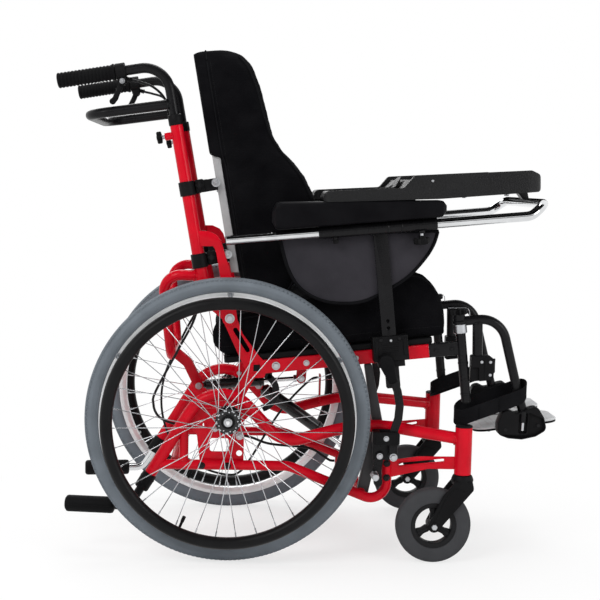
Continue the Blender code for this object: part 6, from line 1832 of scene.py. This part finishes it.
def foot_dome(shape):
    """The hanger's foot: a rounded dome with a slot, a pin and the hinge's lugs."""
    y = HANGER_Y
    outline = [(.541, .252), (.562, .2445), (.59, .2425), (.618, .249), (.64, .263)]
    outline += [(.634, .287), (.62, .31), (.604, .306), (.59, .299), (.575, .296)]
    outline += [(.561, .303), (.549, .299), (.54, .274)]
    loop = soft_loop(outline, .012)
    window = [(.582, .256), (.5985, .256), (.6, .2975), (.5835, .2945)]
    shape.slab(loop, y - .0115, y + .0145, edge=.003)
    shape.slab(loop, y - .018, y - .0105, [soft_loop(window, .003)], .003)
    shape.rod((.5905, y - .0135, .26), (.5915, y - .0135, .28), .0034, look="zinc")
    shape.rod((.5912, y - .0135, .277), (.592, y - .0135, .3), .006, look="black_metal")
    for x, z in ((.556, .262), (.622, .272)):
        shape.across(x, z, y - .0178, y - .0186, .0034, look="black_metal")
    for start, end in ((.548, .5562), (.6198, .628)):
        spots = [PITCH @ Vector((x, HINGE_AT.y, HINGE_AT.z)) for x in (start, end)]
        shape.rod(*spots, .007)
        low, high = (start + .0005, HINGE_AT.y - .012, .2648), (end - .0005, HINGE_AT.y, .2752)
        shape.block(low, high, turn=PITCH)
    pin = [PITCH @ Vector((x, HINGE_AT.y, HINGE_AT.z)) for x in (.5475, .6285)]
    shape.rod(*pin, .0034, look="zinc")


def hanger():
    """The hanger: collar, knob, bent tube, clamp and foot."""
    shape = Shape("black_plastic")
    y = HANGER_Y
    low, top = (Vector((*seat_point(PIVOT_AT, h), y)).xzy for h in (.0297, .07))
    way = (top - low).normalized()
    shape.lathe(band(.0185, .0068, .0135, .001, .0007), low, way, FINE, ring=True, look="zinc")
    upper = [(.0185, .0068), (.0185, .0136), (.0195, .0143), (.0235, .0143), (.0245, .0136)]
    upper += [(.026, .0118), (.038, .0118), (.0385, .0068)]
    shape.lathe(upper, low, way, FINE, ring=True, look="black_metal")
    shape.knob(top - way * .003, way, .0185, .0115, lobes=8)
    crown = top + way * .009
    clip = [crown + Vector(move) for move in ((-.0205, .004, .0004), (.014, .004, .0016),
                                              (.0225, .004, -.002), (.0235, .004, -.016))]
    shape.tube(clip, .0009, (.006, .008), 10, look="zinc")
    start = Vector((*seat_point(PIVOT_AT, .0532), y)).xzy
    corners = [start, (.5415, y, .487), (.578, y, .348), (.595, y, .291)]
    shape.tube(corners, .0095, (.05, .12), 28, look="black_metal")
    shape.rod((.495, y, .478), (.497, y, .4), .0103, look="black_metal")
    weld(shape, (.4951, y, .4745), (0, 0, 1), .0103, look="black_metal")
    foot_clamp(shape, y)
    foot_dome(shape)
    return shape


def foot_clamp(shape, y):
    """The clamp on the hanger's stub."""
    outline = [(.4835, .357), (.529, .362), (.529, .404), (.521, .41), (.4835, .41)]
    stepped = [(.4987, .3586), (.529, .362), (.529, .404), (.521, .41), (.4835, .41), (.4835, .3862)]
    stepped += [(.4987, .3862)]
    shape.slab(soft_loop(outline, .004), y - .0078, y + .014, edge=.0018)
    shape.slab(soft_loop(stepped, .003), y - .014, y - .007, edge=.0018)
    rib = [(.5095, .362), (.5135, .3625), (.5135, .4065), (.5095, .4065)]
    shape.slab(rib, y - .0152, y - .013)
    for x, z in ((.504, .398), (.5215, .398), (.5215, .372)):
        shape.across(x, z, y - .0138, y - .015, .0032, 20, look="zinc")


def footplate():
    """The pale plate on its hinge, ribbed above and beneath."""
    shape = Shape("black_plastic")
    y, z = HINGE_AT.y, HINGE_AT.z
    top, bottom, outer = z - .004, z - .012, .137
    front = .588 + (.672 - .588) / cos(PLATE_SLOPE)
    corners = [(.586, -.012, 0), (.5, -.012, 0), (.5, -outer, 0), (front, -outer, 0), (front, -.012, 0)]
    path = rounded([*corners, (.586, -.012, 0)], (.02, .03, .02, .045), radians(9))
    plan = [(p.x, p.y) for p in path[:-1]]
    shape.plan(plan, bottom + .0046, top, edge=.0014, turn=PITCH, look="foot_plastic")
    under = [(.586 + (px - .586) * .992, -.0745 + (py + .0745) * .99) for px, py in plan]
    shape.plan(under, bottom, bottom + .005, edge=.0014, turn=PITCH)
    for number in range(9):
        x = .52 + .0145 * number
        shape.block((x, -outer + .014, top - .001), (x + .0035, -.026, top + .001), .0006,
                    PITCH, look="foot_plastic")
    for number in range(4):
        x = .53 + .034 * number
        shape.block((x, -outer + .012, bottom - .003), (x + .004, -.026, bottom + .001), .0006, PITCH)
    start, end = .5568, .6192
    shape.block((start, y, z - .0116), (end, -outer + .006, z - .0044), turn=PITCH)
    wall = band(end - start, .004, .0075, .0007, .0007)
    shape.lathe(wall, PITCH @ Vector((start, y, z)), PITCH.to_3x3() @ Vector((1, 0, 0)), ROUND, ring=True)
    return shape


def heel_strap():
    """The webbing loop round the hanger's tubes."""
    shape = Shape("webbing")
    spots = []
    for centre, first in ((.5783, -pi / 2), (.474, pi / 2)):
        for step in range(17):
            turn = first + pi * step / 16
            spots.append((centre, turn))
    rings = []
    for centre, turn in spots:
        out = Vector((cos(turn), sin(turn), 0))
        ring = []
        for reach, rise in ((.0186, -.015), (.0206, -.0152), (.0209, -.0146), (.0206, -.006),
                            (.0207, .006), (.0209, .0146), (.0206, .0152), (.0186, .015)):
            spot = Vector((centre, HANGER_Y, .283)) + out * reach
            spot.z += rise + (spot.x - .462) * .38 + (spot.y + .191) * .4
            ring.append(spot)
        rings.append(ring)
    shape.rows(rings, closed=True)
    for x in (.5, .54):
        rise = (x - .462) * .38
        shape.block((x, -.1918, .2695 + rise), (x + .0012, -.19, .2965 + rise), .0003, look="piping")
    return shape


class FOOT_OT_rests(bpy.types.Operator):
    """Builds the footrests: swing-away hangers, heel straps and folding plates"""

    bl_idname = "chair.footrests"
    bl_label = "Footrests"

    def execute(self, context):
        pair("hanger_look", hanger(), "hanger_body", "black_metal", "hanger")
        pair("strap", heel_strap(), "hanger_body", "black_fabric", "heel_strap")
        pair("plate", footplate(), "foot", "foot_plastic", "footplate")
        return {"FINISHED"}


WING = (
    (.5, .11), (.54, .13), (.58, .15), (.62, .165), (.66, .172),
    (.713, .165), (.756, .145), (.783, .124), (.812, .098), (.839, .079),
    (.881, .065), (.934, .05), (.97, .033), (.99, .014), (1.0, -.012),
)
FLAP_Z = .792
SEAT_ENDS = (-.0775, .3925)
SIDE_TOP = (
    (-.0775, .085), (-.062, .102), (0.0, .111), (.06, .118), (.11, .135), (.16, .15),
    (.25, .159), (.33, .164), (.352, .159), (.372, .139), (.386, .113), (.3925, .085),
)
MIDDLE_TOP = (
    (-.0775, .079), (-.062, .095), (0.0, .103), (.2, .115), (.33, .123), (.352, .12),
    (.372, .111), (.3925, .08),
)
SEAT_UNDER = ((-.0775, .052), (-.062, .034), (-.05, .0262), (.385, .0262), (.3925, .0322))
CUSHION_HALF = .165
BOARD_HALF = .155


def along(profile, at):
    """The value of a profile at one place."""
    for (x1, y1), (x2, y2) in zip(profile, profile[1:]):
        if at <= x2:
            return y1 + (y2 - y1) * max(0.0, (at - x1) / (x2 - x1))
    return profile[-1][1]


def spread(row, steps):
    """The row with even steps between each two points."""
    made = []
    for (a1, b1), (a2, b2) in zip(row, row[1:]):
        made += [(a1 + (a2 - a1) * k / steps, b1 + (b2 - b1) * k / steps) for k in range(steps)]
    return [*made, row[-1]]


def stations(first, last, count):
    return [first + (last - first) * (.5 - .5 * cos(pi * k / count)) for k in range(count + 1)]


def lofted(rings):
    """A closed mesh over rings of points."""

    def draw(shape):
        shape.rows(rings)
        bmesh.ops.triangulate(shape.mesh, faces=shape.mesh.faces)

    return formed(draw)


def seat_ring(d, inset):
    """The seat cushion's section at one depth, drawn in by the inset."""
    under, side, middle = along(SEAT_UNDER, d), along(SIDE_TOP, d) - inset, along(MIDDLE_TOP, d) - inset
    from_end = min(d - SEAT_ENDS[0], SEAT_ENDS[1] - d)
    half = CUSHION_HALF - inset - .01 * max(0.0, 1 - from_end / .014) ** 2
    right = [(half - .008, under), (half - .001, under + .012), (half - .003, (under + side) / 2)]
    right += [(half, side - .022), (half - .006, side - .006), (half - .018, side)]
    for share in (.8, .62, .44, .26, .12):
        lift = (max(share - .35, 0) / .65) ** 2
        channel = .007 * sin(pi * min(share / .8, 1)) ** 2
        right.append((half * share, middle + (side - middle) * lift - channel + .0039 * (1 - share)))
    loop = right + [(0.0, middle + .0039)] + [(-y, h) for y, h in reversed(right)]
    loop = spread([*loop, loop[0]], 4)[:-1]
    return [(*seat_point(d, h), y) for y, h in loop]


def seat_form(inset):
    rings = [[(x, y, z) for x, z, y in seat_ring(d, inset)]
             for d in stations(SEAT_ENDS[0] + inset / 2, SEAT_ENDS[1] - inset, 54)]
    return lofted(rings)


def board_face(z):
    return board_x(z) + .0165


def back_row(z, inset):
    """The back cushion's right half at one height, as (Y, X) from rear to middle."""
    wing = along(WING, z) - inset
    rear = board_face(z) if z < FLAP_Z else board_x(z) - .0036
    corner, depth = (.012, .01) if z < FLAP_Z else (.004, .004)
    middle = min(board_face(z) + .085, along(WING, z) - .012) - inset
    half = back_half(z) - inset
    right = [(half - corner, rear), (half - corner / 6, rear + depth), (half, (rear + wing) / 2)]
    right += [(half - .001, wing - .02), (half - .008, wing - .005), (half - .02, wing)]
    inner = .118 * half / CUSHION_HALF
    right += [(half - .034, wing - .008), (inner, middle + (wing - middle) * .45)]
    right += [(inner * .88, middle + .003), (inner * .55, middle), (inner * .25, middle + .004)]
    return rear, middle, right


def back_half(z):
    """Half the back cushion's width, which narrows at its top."""
    return CUSHION_HALF - max(0.0, z - .965) * .35


def droop(x, z):
    """The height at which the cushion's foot hangs down to the rear."""
    return z + (x - .02) * max(0.0, 1 - (z - .5) / .08) * .13


def back_form(inset):
    rings = []
    for z in stations(.5 + inset / 2, 1.0, 84):
        rear, middle, right = back_row(z, inset)
        loop = [(0.0, rear), *right, (0.0, middle + .005), *[(-y, x) for y, x in reversed(right)]]
        loop = spread([*loop, loop[0]], 4)[:-1]
        rings.append([(x, y, crowned(x, droop(x, z))) for y, x in loop])
    return lofted(rings)


def crowned(x, z):
    """The top slopes up to the front."""
    return z + (x + .045) * .1 * max(0.0, min(1.0, (z - .94) / .05))


def pocketed(mesh):
    """The back cushion with the pocket that slips over the board."""
    low, high = .47, .9612
    corners = [(board_x(low) - .0004, low), (board_x(high) - .0004, high)]
    corners += [(board_x(high) + .0164, high), (board_x(low) + .0164, low)]
    return combined(mesh, prism(corners, -BOARD_HALF - .0004, BOARD_HALF + .0004), "DIFFERENCE")


def plumped(form, sewn, cap, limit):
    """The form filled by simulated pressure, held where it is sewn, within its limit."""
    looks = bpy.context.scene.chair_cloth
    holder = shown("plumped", form)
    remesh = holder.modifiers.new("remesh", "REMESH")
    remesh.mode = "VOXEL"
    remesh.voxel_size = looks.voxel
    mesh = evaluated(holder)
    holder.modifiers.clear()
    holder.data = mesh
    ease(mesh)
    rest = [vertex.co.copy() for vertex in mesh.vertices]
    group = holder.vertex_groups.new(name="sewn")
    for vertex in mesh.vertices:
        hold = sewn(vertex.co)
        if hold > 0:
            group.add([vertex.index], hold, "REPLACE")
    cloth = holder.modifiers.new("cloth", "CLOTH")
    cloth.settings.use_pressure = True
    cloth.settings.uniform_pressure_force = looks.pressure
    cloth.settings.vertex_group_mass = "sewn"
    cloth.settings.pin_stiffness = 2.0
    cloth.settings.effector_weights.gravity = 0.0
    cloth.settings.shrink_min = -looks.slack
    cloth.point_cache.frame_start = 1
    cloth.point_cache.frame_end = looks.frames
    for number in range(1, looks.frames + 1):
        bpy.context.scene.frame_set(number)
    filled = evaluated(holder)
    holder.modifiers.clear()
    for vertex, start, end in zip(mesh.vertices, rest, filled.vertices):
        move = end.co - start
        if move.length > 1e-6:
            vertex.co = start + move * (cap / (cap + move.length))
    bpy.context.scene.frame_set(1)
    for vertex in mesh.vertices:
        vertex.co = limit(vertex.co)
    smoother = holder.modifiers.new("fine", "SUBSURF")
    smoother.levels = smoother.render_levels = 1
    made = evaluated(holder)
    bpy.data.objects.remove(holder)
    return made


def ease(mesh):
    """Smooths away the voxels' steps."""
    work = bmesh.new()
    work.from_mesh(mesh)
    bmesh.ops.smooth_vert(work, verts=work.verts, factor=.5, use_axis_x=True, use_axis_y=True,
                          use_axis_z=True)
    work.to_mesh(mesh)
    work.free()


def seat_levels(point):
    """A point's depth and height along the seat's slope."""
    origin, ahead, up = (Vector(seat_point(d, h)) for d, h in ((0, 0), (1, 0), (0, 1)))
    offset = Vector((point.x, point.z)) - origin
    return offset.dot(ahead - origin), offset.dot(up - origin)


def seat_sewn(point):
    """How firmly the seat cushion is held here: on its seams and its pan."""
    d, h = seat_levels(point)
    if h < along(SEAT_UNDER, d) + .003:
        return 1.0
    near_edge = abs(h - (along(SIDE_TOP, d) - .01)) + abs(abs(point.y) - CUSHION_HALF + .006)
    return max(0.0, 1 - near_edge / .012)


def seat_limit(point):
    d, h = seat_levels(point)
    lowest = along(SEAT_UNDER, d) if -.05 < d < .385 else h
    d = max(-.0795, min(.3965, d))
    x, z = seat_point(d, max(h, lowest))
    return Vector((x, max(-.1695, min(.1695, point.y)), z))


def back_sewn(point):
    """How firmly the back cushion is held here: on its rear face and seams."""
    z = point.z
    wing = along(WING, z)
    from_edge = abs(point.x - wing + .009) + abs(abs(point.y) - CUSHION_HALF + .006)
    from_flap = abs(point.x - board_face(z) - .004) if abs(point.y) > .155 else 1.0
    held = max(1 - from_edge / .012, 1 - from_flap / .007, 0.0)
    return 1.0 if point.x < board_face(z) + .0005 and z < FLAP_Z else held


def back_limit(point):
    x = point.x
    if point.z < FLAP_Z:
        x = max(x, board_face(point.z))
    else:
        x = max(x, board_x(point.z) - .0045)
    return Vector((x, max(-.17, min(.17, point.y)), min(point.z, 1.0085)))


def snapped(tree, path, lift):
    """The path laid on a surface."""
    return [place + normal * lift for place, normal, _, _ in map(tree.find_nearest, path)]


def evened(path, step):
    """The path resampled to even steps."""
    made = [path[0]]
    left = step
    for start, end in zip(path, path[1:]):
        length = (end - start).length
        at = left
        while at <= length:
            made.append(start.lerp(end, at / length))
            at += step
        left = at - length
    return made


def seam(shape, tree, path, radius=.0021):
    """A piped seam on the cloth."""
    laid = snapped(tree, evened([Vector(point) for point in path], .006), radius * .35)
    for _ in range(2):
        laid = [laid[0], *[(a + b * 2 + c) / 4 for a, b, c in zip(laid, laid[1:], laid[2:])], laid[-1]]
    shape.tube(laid, radius, sides=8, look="piping")


def stitch_tree():
    """Copies of a small stitch along a line, evenly spaced."""
    nodes, given = growing_tree("stitches", "Geometry", "Spacing", "Source", "Material")
    curve = nodes.new("GeometryNodeMeshToCurve", Mesh=given["Geometry"])
    even = nodes.new("GeometryNodeCurveToPoints", mode="LENGTH", Curve=curve.outputs[0],
                     Length=given["Spacing"])
    return copied(nodes, given, even.outputs["Points"], even.outputs["Rotation"])


def stitched(shape, tree, path):
    """A row of stitches on the cloth."""
    laid = snapped(tree, evened([Vector(point) for point in path], .004), .0002)
    line = bpy.data.meshes.new("line")
    line.from_pydata([tuple(point) for point in laid], [(k, k + 1) for k in range(len(laid) - 1)], [])

    def one_stitch(form):
        form.tube([(0, 0, -.0014), (0, 0, .0014)], .0005, sides=6, edge=.0002)

    seed = shown("seed", formed(one_stitch))
    made = grown(stitch_tree(), {"Spacing": .0042, "Source": seed, "Material": finish("thread")}, line)
    bpy.data.meshes.remove(seed.data)
    shape.take(made, look="thread")


def soft_piece(name, mesh, seams, body, node):
    """A padded piece with its seams, built as one."""
    tree = BVHTree.FromPolygons([v.co for v in mesh.vertices], [tuple(p.vertices) for p in mesh.polygons])
    shape = Shape("cloth")
    shape.take(mesh)
    seams(shape, tree)
    piece(name, shape, body, "black_fabric", node)


def seat_seams(shape, tree):
    """Piping along both sides, and stitches beside the thigh channels."""
    for side in (-1, 1):
        edge = [(*seat_point(d, along(SIDE_TOP, d) - .008), side * (CUSHION_HALF - .003))
                for d in stations(-.07, .386, 60)]
        seam(shape, tree, [(x, y, z) for x, z, y in edge])
        low = [(*seat_point(d, .046), side * CUSHION_HALF) for d in stations(-.066, .389, 40)]
        stitched(shape, tree, [(x, y, z) for x, z, y in low])
        groove = [(*seat_point(d, along(MIDDLE_TOP, d)), side * .02) for d in stations(-.05, .375, 40)]
        stitched(shape, tree, [(x, y, z) for x, z, y in groove])


def back_seams(shape, tree):
    """The flap's seams, and piping along the wings and over the top."""
    for side in (-1, 1):
        flap = [(board_face(z) + .004, side * CUSHION_HALF, z) for z in stations(.52, .982, 60)]
        seam(shape, tree, flap, .0018)
        beside = [(x + .0065, y, z) for x, y, z in flap]
        stitched(shape, tree, beside)
        wing = [(along(WING, z) - .006, side * (back_half(z) - .004), droop(.1, z))
                for z in stations(.512, .992, 60)]
        seam(shape, tree, wing)
        over = [(board_face(z) + .004, side * back_half(z), z) for z in stations(.982, 1.0, 8)]
        seam(shape, tree, over, .0018)
    top = [(board_face(1.0) + .004, y, 1.002) for y in stations(-.148, .148, 30)]
    seam(shape, tree, top, .0018)


class SOFT_OT_cushions(bpy.types.Operator):
    """Builds the seat and back cushions, filled out by simulated pressure, with their seams"""

    bl_idname = "chair.cushions"
    bl_label = "Cushions"

    def execute(self, context):
        cap = context.scene.chair_cloth.cap
        seat = plumped(seat_form(.003), seat_sewn, cap * .8, seat_limit)
        soft_piece("seat_pad", seat, seat_seams, "seat", "seat_cushion")
        back = pocketed(plumped(back_form(.001), back_sewn, cap * .6, back_limit))
        soft_piece("back_pad", back, back_seams, "back", "back_cushion")
        return {"FINISHED"}


OPERATORS = (
    STAGE_OT_studio,
    CABLE_OT_brakes,
    FRAME_OT_base,
    WHEEL_OT_rear,
    WHEEL_OT_casters,
    BRAKE_OT_parking,
    SEAT_OT_frame,
    BACK_OT_frame,
    BACK_OT_handle,
    ARM_OT_supports,
    ARM_OT_tray,
    FOOT_OT_rests,
    SOFT_OT_cushions,
)


class VIEW3D_PT_chair(bpy.types.Panel):
    """Lists the chair's colours and the steps that build it"""

    bl_label = "Positioning wheelchair"
    bl_space_type = "VIEW_3D"
    bl_region_type = "UI"
    bl_category = "Chair"

    def draw(self, context):
        column = self.layout.column()
        for name in ChairLooks.__annotations__:
            column.prop(context.scene.chair_looks, name)
        for name in ClothLooks.__annotations__:
            column.prop(context.scene.chair_cloth, name)
        for operator in OPERATORS:
            column.operator(operator.bl_idname)


CLASSES = (ChairLooks, ClothLooks, *OPERATORS, VIEW3D_PT_chair)


def register():
    for made in CLASSES:
        bpy.utils.register_class(made)
    bpy.types.Scene.chair_looks = bpy.props.PointerProperty(type=ChairLooks)
    bpy.types.Scene.chair_cloth = bpy.props.PointerProperty(type=ClothLooks)


def unregister():
    del bpy.types.Scene.chair_looks
    del bpy.types.Scene.chair_cloth
    for made in reversed(CLASSES):
        bpy.utils.unregister_class(made)


def main():
    register()
    for operator in OPERATORS:
        group, name = operator.bl_idname.split(".")
        getattr(getattr(bpy.ops, group), name)()
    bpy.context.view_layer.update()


if __name__ == "__main__":
    main()
